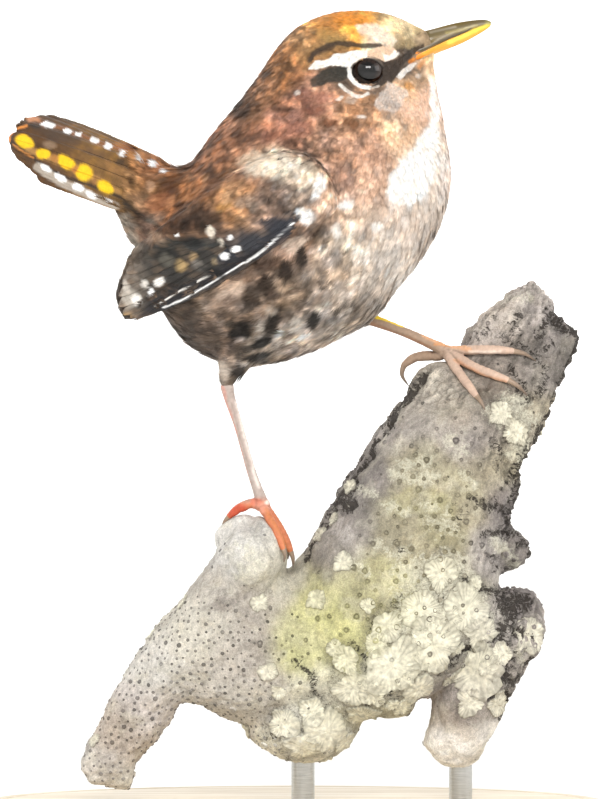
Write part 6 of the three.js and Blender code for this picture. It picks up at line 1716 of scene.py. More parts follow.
# Fissures and frayed dark places: line or outline on the grid, reach, strength.
DARK = [
    ([(552, 313), (568, 325), (582, 336)], 15, 1.05), ([(583, 336), (576, 357), (567, 374)], 11, 1.0), ([(552, 311), (545, 322), (541, 334)], 11, 0.85), ([(533, 396), (524, 402)], 7, 0.8), ([(567, 374), (548, 422), (537, 446)], 8, 0.9),
    ([(537, 446), (524, 462), (520, 474)], 15, 1.05), ([(521, 482), (516, 500), (511, 522)], 13, 1.05), ([(468, 496), (484, 503), (498, 504), (511, 512)], 9, 0.9), ([(482, 535), (500, 531), (520, 534), (531, 549), (526, 562)], 10, 0.98),
    ([(488, 552), (498, 560), (492, 570)], 7, 0.75), ([(462, 575), (476, 581), (488, 588), (500, 590)], 11, 0.95), ([(500, 590), (526, 593), (528, 606), (516, 614), (502, 612), (495, 600), (500, 590)], 9, 0.86), ([(512, 628), (530, 633), (546, 640)], 11, 0.95),
    ([(430, 664), (450, 656), (466, 648), (484, 638), (500, 628), (514, 612)], 12, 0.98), ([(500, 634), (508, 648), (510, 664), (504, 676)], 13, 1.02), ([(486, 682), (500, 678), (514, 682)], 12, 1.0), ([(487, 694), (500, 692), (511, 696)], 10, 0.95),
    ([(534, 655), (522, 678), (508, 701), (500, 716)], 6, 0.85), ([(494, 612), (480, 618), (470, 612)], 8, 0.62),
    ([(427, 369), (419, 376), (407, 397), (375, 441), (358, 470), (338, 499), (315, 541), (304, 560)], 5.4, 1.25), ([(334, 502), (344, 506), (352, 503)], 17, 1.08), ([(354, 481), (349, 490), (342, 497)], 14, 1.02),
    ([(372, 618), (388, 630), (398, 640), (404, 652), (416, 662), (430, 664)], 10, 0.78), ([(352, 640), (364, 652), (370, 664), (384, 682), (400, 700), (414, 706)], 9, 0.72), ([(414, 662), (404, 676), (412, 692)], 8, 0.66),
    ([(338, 662), (352, 660), (366, 664)], 8, 0.66), ([(296, 655), (302, 664), (312, 674), (318, 690)], 10, 0.78), ([(262, 734), (276, 732), (290, 728)], 8, 0.66), ([(280, 738), (284, 752), (296, 760)], 6, 0.55), ([(322, 700), (336, 708), (352, 708), (364, 700)], 7, 0.62),
    ([(430, 590), (446, 600), (440, 614)], 8, 0.55), ([(400, 590), (392, 606), (396, 620)], 8, 0.52), ([(448, 616), (440, 628), (426, 636)], 9, 0.58),
    ([(520, 318), (512, 334), (524, 346)], 12, 0.7), ([(505, 340), (520, 352), (540, 350), (556, 344)], 11, 0.64), ([(538, 356), (548, 372), (540, 392)], 11, 0.66), ([(508, 366), (520, 384), (530, 398)], 10, 0.72), ([(486, 432), (500, 448), (498, 466)], 10, 0.6),
    ([(506, 440), (514, 430), (530, 428)], 9, 0.66), ([(504, 470), (510, 482), (500, 490)], 9, 0.62), ([(448, 500), (462, 512), (458, 530)], 10, 0.5), ([(380, 520), (400, 540), (396, 556)], 10, 0.45), ([(470, 338), (484, 330), (492, 318)], 10, 0.55),
]
# Pale, crusted patches, in the same way.
PALE = [
    ([(488, 410), (512, 408), (534, 418), (520, 428), (500, 420), (488, 410)], 12, 0.95), ([(500, 394), (514, 397), (524, 402)], 10, 0.9), ([(514, 436), (532, 440), (522, 462), (510, 452), (514, 436)], 8, 0.9), ([(402, 462), (428, 458)], 12, 0.75), ([(448, 440), (466, 452)], 13, 0.7),
    ([(354, 486), (374, 492)], 9, 0.8), ([(392, 470), (420, 476), (438, 470)], 12, 0.8), ([(384, 500), (404, 512)], 11, 0.75), ([(428, 520), (452, 528)], 11, 0.72), ([(378, 540), (396, 552), (412, 545)], 11, 0.72), ([(440, 550), (462, 556)], 11, 0.78), ([(462, 470), (474, 482)], 9, 0.7), ([(352, 560), (366, 570)], 9, 0.7), ([(420, 500), (446, 508), (440, 530)], 12, 0.6), ([(400, 566), (430, 556), (458, 566), (476, 596), (462, 622), (430, 640), (404, 622), (400, 566)], 16, 0.9), ([(440, 606), (476, 612)], 12, 0.9),
    ([(346, 690), (320, 740), (276, 742), (262, 728)], 22, 0.85), ([(368, 650), (398, 656), (402, 672), (376, 690)], 14, 0.9), ([(496, 540), (508, 552), (516, 566)], 12, 0.95), ([(484, 604), (492, 626)], 9, 0.8), ([(470, 660), (498, 652)], 12, 0.9),
    ([(518, 650), (524, 664)], 7, 0.9), ([(505, 714), (486, 748)], 8, 0.7), ([(245, 545), (262, 560), (236, 572)], 18, 0.7), ([(500, 300), (530, 296)], 12, 0.55), ([(460, 326), (480, 330)], 8, 0.45),
]


def line_run(x, y, pts):
    """Distance to a line on the grid, and how far along it the nearest place lies."""
    p = np.array(pts, float)
    best, run, gone = np.full(x.shape, 1e9), np.zeros(x.shape), 0.0
    for (ax, ay), (bx, by) in zip(p[:-1], p[1:]):
        dx, dy = bx - ax, by - ay
        size = math.hypot(dx, dy)
        t = np.clip(((x - ax) * dx + (y - ay) * dy) / size ** 2, 0, 1)
        d = np.hypot(x - ax - t * dx, y - ay - t * dy)
        k = d < best
        best, run = np.where(k, d, best), np.where(k, gone + t * size, run)
        gone += size
    return best, run


def near_marks(p, marks, seed):
    """1 on a mark, 0 at its reach and past it, times its strength; and how far along the mark."""
    x, y = grid_of(p)
    x, y = x + 6 * fbm(p, 0.36, seed, 3), y + 6 * fbm(p, 0.36, seed + 9, 3)
    out, along = np.zeros(len(p)), np.zeros(len(p))
    for i, (pts, reach, strength) in enumerate(marks):
        a = np.array(pts, float)
        k = np.nonzero((x > a[:, 0].min() - reach) & (x < a[:, 0].max() + reach) & (y > a[:, 1].min() - reach) & (y < a[:, 1].max() + reach))[0]
        if not len(k):
            continue
        d, run = line_run(x[k], y[k], pts)
        if len(pts) > 3 and tuple(pts[0]) == tuple(pts[-1]):
            d = np.where(inside_outline(x[k], y[k], pts[:-1]) < 0, 0, d)
        new = strength * np.clip(1 - d / reach, 0, 1)
        win = new > out[k]
        out[k] = np.where(win, new, out[k])
        along[k] = np.where(win, run / 5.8 + 31.7 * i, along[k])
    return out, along


dark, dark_run = near_marks(wood_v, DARK, 151)
pale, pale_run = near_marks(wood_v, PALE, 161)
frayed = np.clip((dark + 0.6 * fbm(wood_v, 1.1, 171, 3) - 0.66) * 4, 0, 1)
shape = shape - cracks * (0.15 + 0.65 * bare_wood) - 0.55 * frayed + 0.12 * np.clip(pale * 2 - 0.6, 0, 1) - 0.25 * arm * np.clip(1 - np.abs(fbm(wood_v, 0.35, 57, 3)) * 4, 0, 1)
broken = smooth(335, 292, wy) * (wx > 440)
shape = shape + broken * (0.9 * fbm(grained(wood_v, grain_up, 0.05, 1.1), 1.0, 71, 3) - 0.1)
nibble = smooth(505, 535, wx) * smooth(470, 520, wy) * smooth(720, 660, wy)
shape = shape - nibble * 1.1 * np.clip(fbm(wood_v, 0.5, 73, 3) + 0.15, 0, 1)
hold = smooth(1.1, 3.2, foot_gap)
shape = np.minimum(shape, 0.55) * hold + (1 - hold) * -0.05
wood_v = wood_v + wood_n * shape[:, None]
WOOD = Surface(wood_v, wood_f, 5)
wood_n = WOOD.n

WOOD_GROUND = [
    (538, 298, 14, "#bcb3ae"), (505, 312, 13, "#b1a89f"), (560, 332, 13, "#8d8682"), (482, 338, 12, "#a9a19b"), (540, 366, 16, "#89827c"), (572, 356, 9, "#66615c"), (500, 360, 13, "#8e857d"),
    (500, 396, 14, "#857b71"), (440, 396, 13, "#c2baad"), (415, 405, 12, "#a39c93"), (530, 420, 14, "#a39a86"), (470, 425, 16, "#a0988d"), (400, 432, 13, "#99938a"), (455, 375, 10, "#aaa197"),
    (420, 462, 15, "#a29b80"), (372, 474, 12, "#837d75"), (500, 462, 15, "#a89f86"), (455, 500, 16, "#a29a80"), (355, 512, 12, "#8b857c"), (400, 515, 15, "#a19a80"), (508, 505, 12, "#7d7670"), (340, 545, 12, "#8f897e"),
    (360, 575, 14, "#aaa57f"), (430, 545, 16, "#a39b7e"), (490, 548, 13, "#a8a197"), (518, 552, 8, "#8b847c"), (390, 590, 17, "#b9b488"), (325, 605, 16, "#bbb789"), (450, 600, 17, "#b1ab94"),
    (520, 600, 11, "#827b75"), (492, 622, 12, "#bdb6a9"), (534, 632, 9, "#b7afa3"), (295, 630, 15, "#b3b088"), (345, 640, 16, "#b8b586"), (408, 650, 17, "#bdb89f"), (460, 655, 14, "#a8a392"),
    (335, 690, 15, "#cdc9b3"), (300, 735, 16, "#d3d0c3"), (380, 695, 14, "#c3bea6"), (440, 690, 13, "#afa69b"), (492, 690, 12, "#a8a094"), (470, 712, 14, "#aaa198"), (485, 740, 11, "#dbd6cf"), (452, 752, 13, "#efebe6"),
    (272, 575, 13, "#b9b4a6"), (242, 552, 14, "#c2bfba"), (262, 610, 14, "#a29b92"), (212, 592, 12, "#b0aaa1"), (200, 632, 16, "#bfbaaf"), (240, 655, 16, "#b1aaa1"), (252, 700, 14, "#b9b3a9"), (220, 690, 13, "#bbb5ac"),
    (165, 668, 14, "#c5c1ba"), (150, 706, 13, "#beb6b0"), (122, 735, 13, "#b6aa9e"), (102, 770, 13, "#c3bcb6"), (122, 783, 11, "#cdc8bf"), (85, 760, 9, "#cdc9c2"),
]
WOOD_MARKS = [
    ("o", 500, 318, 22, 10, -38, "#b9afa6", 0.6, 0.9, 5), ("o", 540, 294, 10, 12, 0, "#b7aea6", 0.6, 0.9, 4), ("o", 492, 388, 12, 9, 0, "#6e635a", 0.6, 0.9, 5), ("o", 520, 360, 22, 8, 0, "#716a64", 0.5, 0.9, 5),
    ("o", 470, 440, 18, 9, -40, "#7e7871", 0.4, 0.9, 5), ("o", 420, 500, 34, 14, 0, "#afa97c", 0.5, 0.9, 6), ("o", 330, 616, 34, 20, -30, "#bcba80", 0.6, 0.9, 6), ("o", 300, 655, 20, 16, 0, "#b3b180", 0.5, 0.9, 5),
    ("o", 440, 520, 34, 18, -50, "#8f8a66", 0.45, 0.9, 6), ("o", 380, 470, 22, 12, -50, "#7b756e", 0.45, 0.9, 5), ("o", 322, 560, 10, 20, 30, "#827c72", 0.5, 0.9, 5), ("o", 372, 640, 16, 10, 0, "#c6c28e", 0.5, 0.9, 4),
    ("o", 225, 600, 20, 9, 20, "#8d867f", 0.6, 0.9, 5), ("o", 262, 640, 14, 20, 20, "#958e87", 0.5, 0.9, 5), ("o", 128, 725, 10, 24, 28, "#9a9189", 0.38, 0.9, 5), ("o", 118, 765, 14, 8, 0, "#9b938b", 0.35, 0.9, 4),
    ("o", 462, 712, 20, 12, 20, "#988d84", 0.5, 0.9, 5), ("o", 450, 757, 16, 8, 0, "#f4f1ed", 0.85, 0.9, 3), ("/", [(80, 770), (95, 724), (124, 670), (156, 631), (203, 574), (232, 532)], 3, "#8a847d", 0.45, 3, 2),
    ("o", 284, 742, 22, 13, 0, "#f6f4ec", 0.75, 0.9, 3), ("o", 346, 742, 18, 12, 0, "#f4f2e6", 0.65, 0.9, 3), ("o", 380, 662, 18, 12, 0, "#f2f0d8", 0.55, 0.9, 4), ("o", 330, 672, 14, 10, 0, "#ece8c8", 0.5, 0.9, 4), ("o", 345, 530, 10, 12, 40, "#b9b2a8", 0.5, 0.9, 4),
    ("o", 458, 480, 20, 12, -40, "#c2bb98", 0.5, 0.9, 5), ("o", 455, 410, 16, 14, 0, "#958a7c", 0.5, 0.9, 5), ("o", 482, 392, 10, 8, 0, "#6a5d52", 0.5, 0.9, 4), ("o", 512, 402, 12, 7, 0, "#cfc9b8", 0.6, 0.9, 3),
]


def wood_colour(p, n):
    x, y = grid_of(p)
    x, y = x + 12 * fbm(p, 0.12, 81, 3), y + 12 * fbm(p, 0.12, 87, 3)
    total, c = np.full(len(p), 1e-9), np.zeros((len(p), 3))
    for px, py, reach, code in WOOD_GROUND:
        d2 = (x - px) ** 2 + (y - py) ** 2
        w = np.exp(-d2 / (2 * reach ** 2)) + 1e-6 / (1 + d2 / 900) ** 3
        total += w
        c += w[:, None] * np.sqrt(lin(code))
    c = (c / total[:, None]) ** 2
    c = paint(c, p, WOOD_MARKS, 15)
    mid = smooth(285, 325, x) * smooth(400, 440, y) * smooth(715, 690, y + 0.0 * x)
    light = 1.14 - 0.10 * smooth(700, 560, y) * smooth(440, 470, y) * smooth(330, 370, x)
    return c * light[:, None] * np.stack([np.ones(len(x)), np.ones(len(x)), 1 + 0.07 * mid], -1)


wood_c = wood_colour(wood_v, wood_n)
grain_c = np.clip(fbm(grained(wood_v, grain_up, 0.12, 1.9), 1.0, 91, 3), -1, 1) * (1 - arm) + np.clip(fbm(grained(wood_v, grain_arm, 0.15, 1.6), 1.0, 93, 3), -1, 1) * arm
wood_c = wood_c * (1 + 0.24 * grain_c * (0.3 + 0.7 * bare_wood))[:, None]
# painted shade: the wood is darkened in the cracks cut into its shape, most on bare wood
wood_c = wood_c * (1 - 0.5 * (cracks * (0.25 + 0.75 * bare_wood)))[:, None]
crust = smooth(0.05, 0.35, fbm(wood_v, 0.45, 95, 4))
wood_c = wood_c + (lin("#cdc8b6") - wood_c) * (crust * 0.26 * (1 - 0.5 * bare_wood))[:, None]
pits = smooth(0.25, 0.5, fbm(wood_v, 1.3, 97, 3))
wood_c = wood_c * (1 - 0.24 * pits)[:, None]
wood_c = wood_c * np.exp(0.45 * fbm(wood_v, 0.28, 99, 3) * (1 - 0.6 * arm))[:, None]
granules = 0.35 + 0.65 * bare_wood


# ------------------------------------------------------------------ lichens on the wood
def spots(count, seed, keep, gap):
    """Places on the wood, and a size for each."""
    rng = np.random.default_rng(seed)
    q = wood_f[0]
    area = np.linalg.norm(np.cross(wood_v[q[:, 2]] - wood_v[q[:, 0]], wood_v[q[:, 3]] - wood_v[q[:, 1]]), axis=1)
    centre = wood_v[q].mean(1)
    x, y = grid_of(centre)
    w = area * keep(x, y, centre)
    pick = rng.choice(len(q), count * 8, p=w / w.sum())
    out = []
    for i in pick:
        p = centre[i]
        r = gap * rng.uniform(0.75, 1.3)
        if all((p[0] - o[0][0]) ** 2 + (p[1] - o[0][1]) ** 2 + (p[2] - o[0][2]) ** 2 > ((r + o[1]) / 2) ** 2 for o in out):
            out.append((p, r))
        if len(out) >= count:
            break
    return out


def disc(p, n, rows, around, rng):
    t = unit(np.cross(n, [0.3, 0.9, 0.2]) + 1e-6)
    return t, np.cross(n, t)


def lay_discs(places, profile, rows, around, colour, seed):
    """Small bodies on the wood: profile(r, a, size, rng) gives radius share and height, mm."""
    rng = np.random.default_rng(seed)
    vs, fs, cs, n0 = [], [], [], 0
    for p, size in places:
        q, n = WOOD.near(p[None])
        q, n = q[0], n[0]
        t, b = disc(q, n, rows, around, rng)
        a = np.arange(around) / around * 2 * np.pi
        turn = a + rng.random() * 6
        r = np.linspace(0, 1, rows)
        rad, h, tone = profile(r[:, None], a[None], size, rng)
        flat = q + t * (rad * np.cos(turn))[..., None] + b * (rad * np.sin(turn))[..., None]
        on, m = WOOD.near(flat.reshape(-1, 3))
        v = on + m * h.reshape(-1)[:, None]
        i, j = np.meshgrid(np.arange(rows - 1), np.arange(around), indexing="ij")
        f = np.stack([i * around + j, (i + 1) * around + j, (i + 1) * around + (j + 1) % around, i * around + (j + 1) % around], -1).reshape(-1, 4)
        vs.append(v)
        fs.append(f + n0)
        cs.append(colour(v, tone.reshape(-1), rng))
        n0 += len(v)
    return np.concatenate(vs), [np.concatenate(fs)], np.concatenate(cs)


def rosette(r, a, size, rng):
    k = rng.integers(6, 11)
    ph, ph2 = rng.random(2) * 6
    e = rng.uniform(0.05, 0.16, 3)
    a = a + 0.35 * np.sin(a + ph2) + 0.2 * np.sin(2 * a + ph)
    lobe = 0.86 + 0.08 * np.abs(np.cos(a * k / 2 + ph)) ** 0.6 + 0.04 * np.cos(a * (2 * k + 3) + ph2) + e[0] * np.sin(2 * a + ph2) + e[1] * np.sin(3 * a + ph) + 0.5 * e[2] * np.sin(5 * a - ph)
    R = size * (r * (1 - r ** 2) + r * lobe * r ** 2 + 0 * a)
    ridge = np.cos(a * k + 2 * ph) * r
    finger = np.abs(np.cos(a * (1.5 * k) + ph2 + 0.5 * np.sin(3 * a)))
    h = 0.06 + 0.24 * r * (1 + 0.4 * ridge) + 0.05 * np.sin(r * 14 + 2 * np.cos(a * 3)) * (1 - r)
    h = np.where(r > 0.97, -0.12, np.where(r > 0.85, h + 0.04, h)) + 0 * a
    notch = smooth(0.50, 0.96, r + 0.22 * (1 - finger) - 0.16 * np.cos(a * 5 + ph) * (r < 0.9))
    tone = 1.0 - 0.62 * notch * (1 - 0.55 * finger) - 0.10 * (1 - r) - 0.28 * np.exp(-((r - 0.30) / 0.08) ** 2) * (np.cos(a * 5 + ph) > 0.2) + 0 * a
    return R, h, np.where(r > 0.97, 0.05, tone)


def rosette_colour(v, tone, rng):
    base = wood_colour(v, None)
    pale = base * 0.36 + lin("#ece8d2") * 0.66
    deep = base * 0.30 + lin("#5f5a48") * 0.30
    c = deep + (pale - deep) * np.clip(tone, 0, 1)[:, None]
    return np.clip(c * rng.uniform(0.92, 1.05) * np.exp(0.30 * fbm(v, 1.7, 5, 3))[:, None], 0, 0.85)


def cup(r, a, size, rng):
    wob = 1 + 0.08 * np.cos(3 * a + rng.random() * 6)
    R = size * r * wob
    h = np.interp(r, [0, 0.45, 0.62, 0.78, 0.9, 1], [0.12, 0.14, 0.30, 0.32, 0.14, -0.08]) * (size / 0.6) ** 0.5 + 0 * a
    tone = np.interp(r, [0, 0.30, 0.50, 0.68, 0.82, 1], [0.85, 0.70, 0.10, 0.06, 0.75, 0.95]) * (0.75 + 0.35 * np.cos(a * 7 + 3 * r)) + 0 * a
    return R, h, tone


def cup_colour(v, tone, rng):
    base = wood_colour(v, None)
    dark = base * 0.33 * rng.uniform(0.7, 2.2)
    pale = np.clip(base * 0.98, 0, 0.85)
    return dark + (pale - dark) * np.clip(tone, 0, 1)[:, None]


def dot(r, a, size, rng):
    return size * r + 0 * a, 0.24 * size * np.sqrt(np.maximum(1 - r ** 2, 0)) * 2.2 - 0.03 + 0 * a, 1 - r + 0 * a


def dot_colour(v, tone, rng):
    return wood_colour(v, None) * rng.uniform(0.22, 0.45) * (1 + 0.2 * tone[:, None])


def clear(p):
    return smooth(1.6, 3.0, segment_distance(p, FOOT_LINES))


def on_front(x, y, p):
    return clear(p) * np.exp(-((x - 370) / 90) ** 2 - ((y - 640) / 75) ** 2) + 0.05 * clear(p) * (y > 420)


def on_middle(x, y, p):
    return clear(p) * (np.exp(-((x - 436 - 0.25 * (540 - y)) / 58) ** 2 - ((y - 545) / 105) ** 2) + 0.015)


def on_arm(x, y, p):
    return clear(p) * (smooth(285, 250, x - 0.35 * (y - 690)) * smooth(588, 612, y) + 0.25 * smooth(600, 640, y) * smooth(330, 290, x) + 0.01)


# Large rosettes on the near side: x, y, radius on the grid, and as many more on the far side.
ROSES = [
    (392, 662, 25), (432, 640, 24), (476, 668, 25), (352, 684, 16), (327, 728, 20), (304, 744, 15), (418, 686, 15), (464, 606, 20), (420, 606, 17), (527, 634, 15), (284, 720, 13), (362, 712, 15), (480, 630, 16), (440, 570, 14),
    (372, 690, 12), (346, 656, 12), (498, 702, 11), (516, 430, 12), (500, 412, 11), (386, 622, 14), (402, 704, 10), (344, 742, 12), (500, 652, 11), (470, 700, 12), (448, 612, 10), (376, 640, 10), (312, 708, 12),
]


def seen_from(side, x, y, wander=0.0):
    hit = WOOD.tree.ray_cast((float(gx(x)), 60.0 * side, float(gz(y))), (0, -side, 0))
    return None if hit[0] is None else np.array(hit[0])


WOOD_MID = 0.5
big = [(seen_from(-1, x, y), r * GRID * 1.32) for x, y, r in ROSES] + [(seen_from(1, x - 0.3 * (y - 640) * 0.2, y + 6), r * GRID * 1.15) for x, y, r in ROSES]
big = [(p, r) for p, r in big if p is not None and segment_distance(p[None], FOOT_LINES)[0] > r * 0.7 + 0.8]
near_side = [b for b in big if b[0][1] < WOOD_MID]
far_side = [b for b in big if b[0][1] >= WOOD_MID]
lay1, lay2 = (lay_discs(places, lambda r, a, s, g: rosette(r, a, s, g), rows, around, rosette_colour, 21) for places, rows, around in ((near_side, 14, 120), (far_side, 10, 64)))
bigv, bigf = join([lay1[:2], lay2[:2]])
bigc = np.concatenate([lay1[2], lay2[2]])
# the ground between the rosettes is darker
shadow = np.zeros(len(wood_v))
for p, r in big:
    gap = np.linalg.norm(wood_v - p, axis=1) / r
    shadow = np.maximum(shadow, smooth(1.75, 1.0, gap))
wood_c = wood_c * (1 - 0.30 * shadow)[:, None]
small = spots(40, 5, on_front, 3.4)
smallv, smallf, smallc = lay_discs(small, lambda r, a, s, g: rosette(r, a, s * 0.50, g), 9, 44, rosette_colour, 6)
rose_v, rose_f = join([(bigv, bigf), (smallv, smallf)])
rose_c = np.concatenate([bigc, smallc])
cup_v, cup_f, cup_c = lay_discs(spots(540, 7, on_middle, 1.45), lambda r, a, s, g: cup(r, a, s * g.uniform(0.20, 0.42), g), 8, 16, cup_colour, 8)
dot_v, dot_f, dot_c = lay_discs(spots(1100, 9, on_arm, 1.0), lambda r, a, s, g: dot(r, a, s * g.uniform(0.20, 0.38), g), 4, 8, dot_colour, 10)

# ------------------------------------------------------------------ the display stand
BASE_RX, BASE_RY, BASE_H = 54.0, 33.0, 5.0
RODS = [(303, 0.0), (461, 1.0)]
ROD_R, ROD_LOW, ROD_TOP = 2.0, 2.0, float(gz(748))


def stand_base():
    """Oval board: inset and height of its profile, from the middle of the underside round the edge to the middle of the top."""
    prof = [(33, 0), (20, 0), (8, 0), (1.2, 0), (0.8, 0), (0.45, 0.12), (0.16, 0.4), (0.03, 0.75), (0, 1.2), (0, 2.0), (0, 2.9), (0, 3.6), (0.06, 4.1), (0.2, 4.45), (0.42, 4.72), (0.7, 4.9), (1.05, 4.98), (1.5, 5.0),
            (2.6, 5.0), (2.75, 4.96), (2.95, 4.8), (3.2, 4.74), (3.45, 4.8), (3.65, 4.96), (3.8, 5.0), (6, 5), (12, 5), (20, 5), (28, 5), (33, 5)]
    a = np.arange(288) / 288 * 2 * np.pi
    rings = []
    for inset, z in prof[1:-1]:
        s = (BASE_RY - inset) / BASE_RY
        w = inset if inset < 6 else None
        rx, ry = (BASE_RX - w, BASE_RY - w) if w is not None else (BASE_RX * s, BASE_RY * s)
        rings.append(np.stack([rx * np.cos(a), ry * np.sin(a), np.full(288, z)], -1))
    return closed_rings(np.array(rings))


def rod(x, y):
    prof = [(1.7, ROD_LOW), (2.0, ROD_LOW + 0.3)] + [(2.0 + 0.012 * math.sin(k * 2.1), float(z)) for k, z in enumerate(np.linspace(ROD_LOW + 0.5, ROD_TOP - 0.5, 60))] + [(2.0, ROD_TOP - 0.3), (1.7, ROD_TOP)]
    a = np.arange(64) / 64 * 2 * np.pi
    c = float(gx(x))
    return closed_rings(np.array([np.stack([c + r * np.cos(a), y + r * np.sin(a), np.full(64, z)], -1) for r, z in prof]))


def maple():
    n = Nodes("pale_limed_maple")
    grain = n.stretch(n.place(), 22.0, 260.0, 120.0)
    ring = n.noise(1.0, 5, 0.6, grain, 0.6)
    pore = n.noise(1.0, 3, 0.7, n.stretch(n.place(), 180.0, 2600.0, 1500.0))
    colour = n.ramp(ring, [(0.25, "#e4d8c2"), (0.45, "#dccdb3"), (0.55, "#cfbd9f"), (0.7, "#e0d3bb")])
    dark = n.range(pore, 0.58, 0.75, 1.0, 0.86)
    c = n.new("ShaderNodeCombineColor")
    for k in range(3):
        n.link(dark, c.inputs[k])
    n.set(Base_Color=n.mix("MULTIPLY", 1.0, colour, c.outputs[0]), Roughness=n.range(ring, 0.3, 0.7, 0.34, 0.5), Normal=n.bump(n.math("ADD", n.math("MULTIPLY", pore, -0.6), ring), 0.25, 0.00006))
    n.shader.inputs["Coat Weight"].default_value = 0.15
    n.shader.inputs["Coat Roughness"].default_value = 0.3
    return n.m


def steel():
    n = Nodes("brushed_steel")
    f = n.noise(1.0, 4, 0.6, n.stretch(n.place(), 300.0, 300.0, 9000.0))
    n.set(Base_Color=n.ramp(f, [(0.3, "#a7a7a4"), (0.5, "#b9b9b6"), (0.7, "#c9c9c6")]), Roughness=n.range(f, 0.3, 0.7, 0.26, 0.42), Normal=n.bump(f, 0.25, 0.00003))
    n.shader.inputs["Metallic"].default_value = 1.0
    return n.m


def wood_material():
    n = Nodes("lichened_wood")
    tint, lie = n.attribute("tint", "Color"), n.new("ShaderNodeSeparateXYZ")
    n.link(n.attribute("lie"), lie.inputs[0])
    # lie: x is how near a fissure is, y how near a pale crust, z how coarse the granules are
    grain = n.stretch(n.place(), 1500.0, 1700.0, 500.0)
    fine = n.noise(1.0, 5, 0.62, grain)
    spot = n.noise(1500.0, 4, 0.6)
    run = n.new("ShaderNodeSeparateXYZ")
    n.link(n.attribute("run"), run.inputs[0])
    # run: x and y are how far along the fissure or the pale patch's edge, mm, z is the shade between the rosettes
    fray = n.math("SUBTRACT", n.noise(2100.0, 5, 0.72, distortion=1.2), 0.5)
    sway = n.math("MULTIPLY", n.math("SUBTRACT", n.noise(650.0, 2, 0.5), 0.5), 5.0)

    def needles(along, away, step, reach):
        v = n.new("ShaderNodeCombineXYZ")
        n.link(n.math("ADD", n.math("MULTIPLY", along, step), sway), v.inputs[0])
        n.link(n.math("ADD", n.math("MULTIPLY", away, reach), n.math("MULTIPLY", sway, 0.35)), v.inputs[1])
        return n.math("SUBTRACT", n.noise(1.0, 3, 0.62, v.outputs[0]), 0.5)
    comb = needles(run.outputs[0], lie.outputs[0], 1.9, 1.7)
    reach = n.math("ADD", n.math("ADD", lie.outputs[0], n.math("MULTIPLY", comb, 3.0)), n.math("MULTIPLY", fray, 1.5))
    crack = n.math("MULTIPLY", n.range(reach, 0.60, 0.82, 0.0, 1.0), n.range(lie.outputs[0], 0.02, 0.30, 0.0, 1.0))
    halo = n.range(lie.outputs[0], 0.05, 1.0, 0.0, 0.22)
    comb2 = needles(run.outputs[1], lie.outputs[1], 1.5, 1.4)
    crust = n.range(n.math("ADD", n.math("ADD", lie.outputs[1], n.math("MULTIPLY", comb2, -2.0)), n.math("MULTIPLY", fray, -1.6)), 0.30, 0.75, 0.0, 1.0)
    tone = n.range(n.math("ADD", n.math("MULTIPLY", fine, 0.5), n.math("MULTIPLY", spot, 0.5)), 0.36, 0.62, 0.76, 1.16)
    granule = n.range(n.noise(4200.0, 3, 0.6), 0.36, 0.62, 0.80, 1.10)
    mottle = n.math("MULTIPLY", n.range(n.noise(1250.0, 5, 0.75, distortion=0.6), 0.50, 0.64, 0.0, 0.55), lie.outputs[2])
    pit = n.math("MULTIPLY", n.range(n.noise(1900.0, 4, 0.7, distortion=0.9), 0.50, 0.62, 0.0, 0.6), run.outputs[2])
    c = n.new("ShaderNodeCombineColor")
    for k in range(3):
        n.link(n.math("MULTIPLY", tone, granule), c.inputs[k])
    colour = n.mix("MIX", n.math("MULTIPLY", crust, 0.50), tint, tuple(lin("#dddac6")))
    colour = n.mix("MULTIPLY", 1.0, colour, c.outputs[0])
    warm = n.range(n.noise(420.0, 3), 0.5, 0.72, 0.0, 0.25)
    colour = n.mix("MULTIPLY", warm, colour, (0.93, 0.84, 0.72))
    colour = n.mix("MIX", n.math("MAXIMUM", n.math("MAXIMUM", mottle, pit), halo), colour, tuple(lin("#54504a")))
    colour = n.mix("MIX", n.math("MULTIPLY", crack, 0.90), colour, tuple(lin("#332e2a")))
    h = n.math("ADD", n.math("ADD", n.math("MULTIPLY", fine, 0.7), spot), n.math("MULTIPLY", crack, -1.0))
    n.set(Base_Color=colour, Roughness=n.range(spot, 0.3, 0.7, 0.78, 0.95), Normal=n.bump(h, 0.8, 0.00022))
    n.shader.inputs["Specular IOR Level"].default_value = 0.2
    return n.m


def eye_material():
    n = Nodes("wet_dark_eye")
    n.set(Base_Color=shades(n, n.attribute("tint", "Color"), 0.85, 1.15, 2400.0), Roughness=n.range(n.noise(3000.0, 2), 0.3, 0.7, 0.03, 0.06))
    n.shader.inputs["Specular IOR Level"].default_value = 0.5
    return n.m


# ------------------------------------------------------------------ the pieces
# painted shade: the skin carries the plumage's colours at 0.72 of their brightness, for the shade deep between the
# feathers where it shows
piece("skin", skin_v, skin_f, skin_material(), "plumage_flank", ("head", "neck", "trunk", "rump", "thigh_right", "thigh_left"), colour=np.clip(plumage(skin_v) * 0.72, 0, 1))
soft, firm = feather_material("soft_feathers", 0.78, 1.0, 0.45, 0.00005), feather_material("flight_feathers", 0.6, 1.0, 0.5, 0.00006, 0.9, 1.1)
COAT_SLOTS = {"face": "plumage_cheek", "crown_and_cheek": "plumage_crown", "neck_and_breast": "plumage_cheek", "back_and_flank": "plumage_flank", "belly": "plumage_flank", "rump": "plumage_rump"}
for name, stack in sorted(PIECES.items()):
    v, f = join([(b[0], b[1]) for b in stack])
    piece("feathers_" + name, v, f, soft, COAT_SLOTS[name.rsplit("_", 1)[0]], colour=np.concatenate([b[2] for b in stack]), extra=np.concatenate([b[3] for b in stack]), uv=np.concatenate([b[4] for b in stack]))
piece("wing_plumage_left", wing_v, wing_f, firm, "wing_feathers", ("wing_left",), colour=wing_c, extra=wing_l)
wing_r, wing_rf = mirrored(wing_v, wing_f)
piece("wing_plumage_right", wing_r, wing_rf, firm, "wing_feathers", ("wing_right",), colour=wing_c, extra=wing_l)
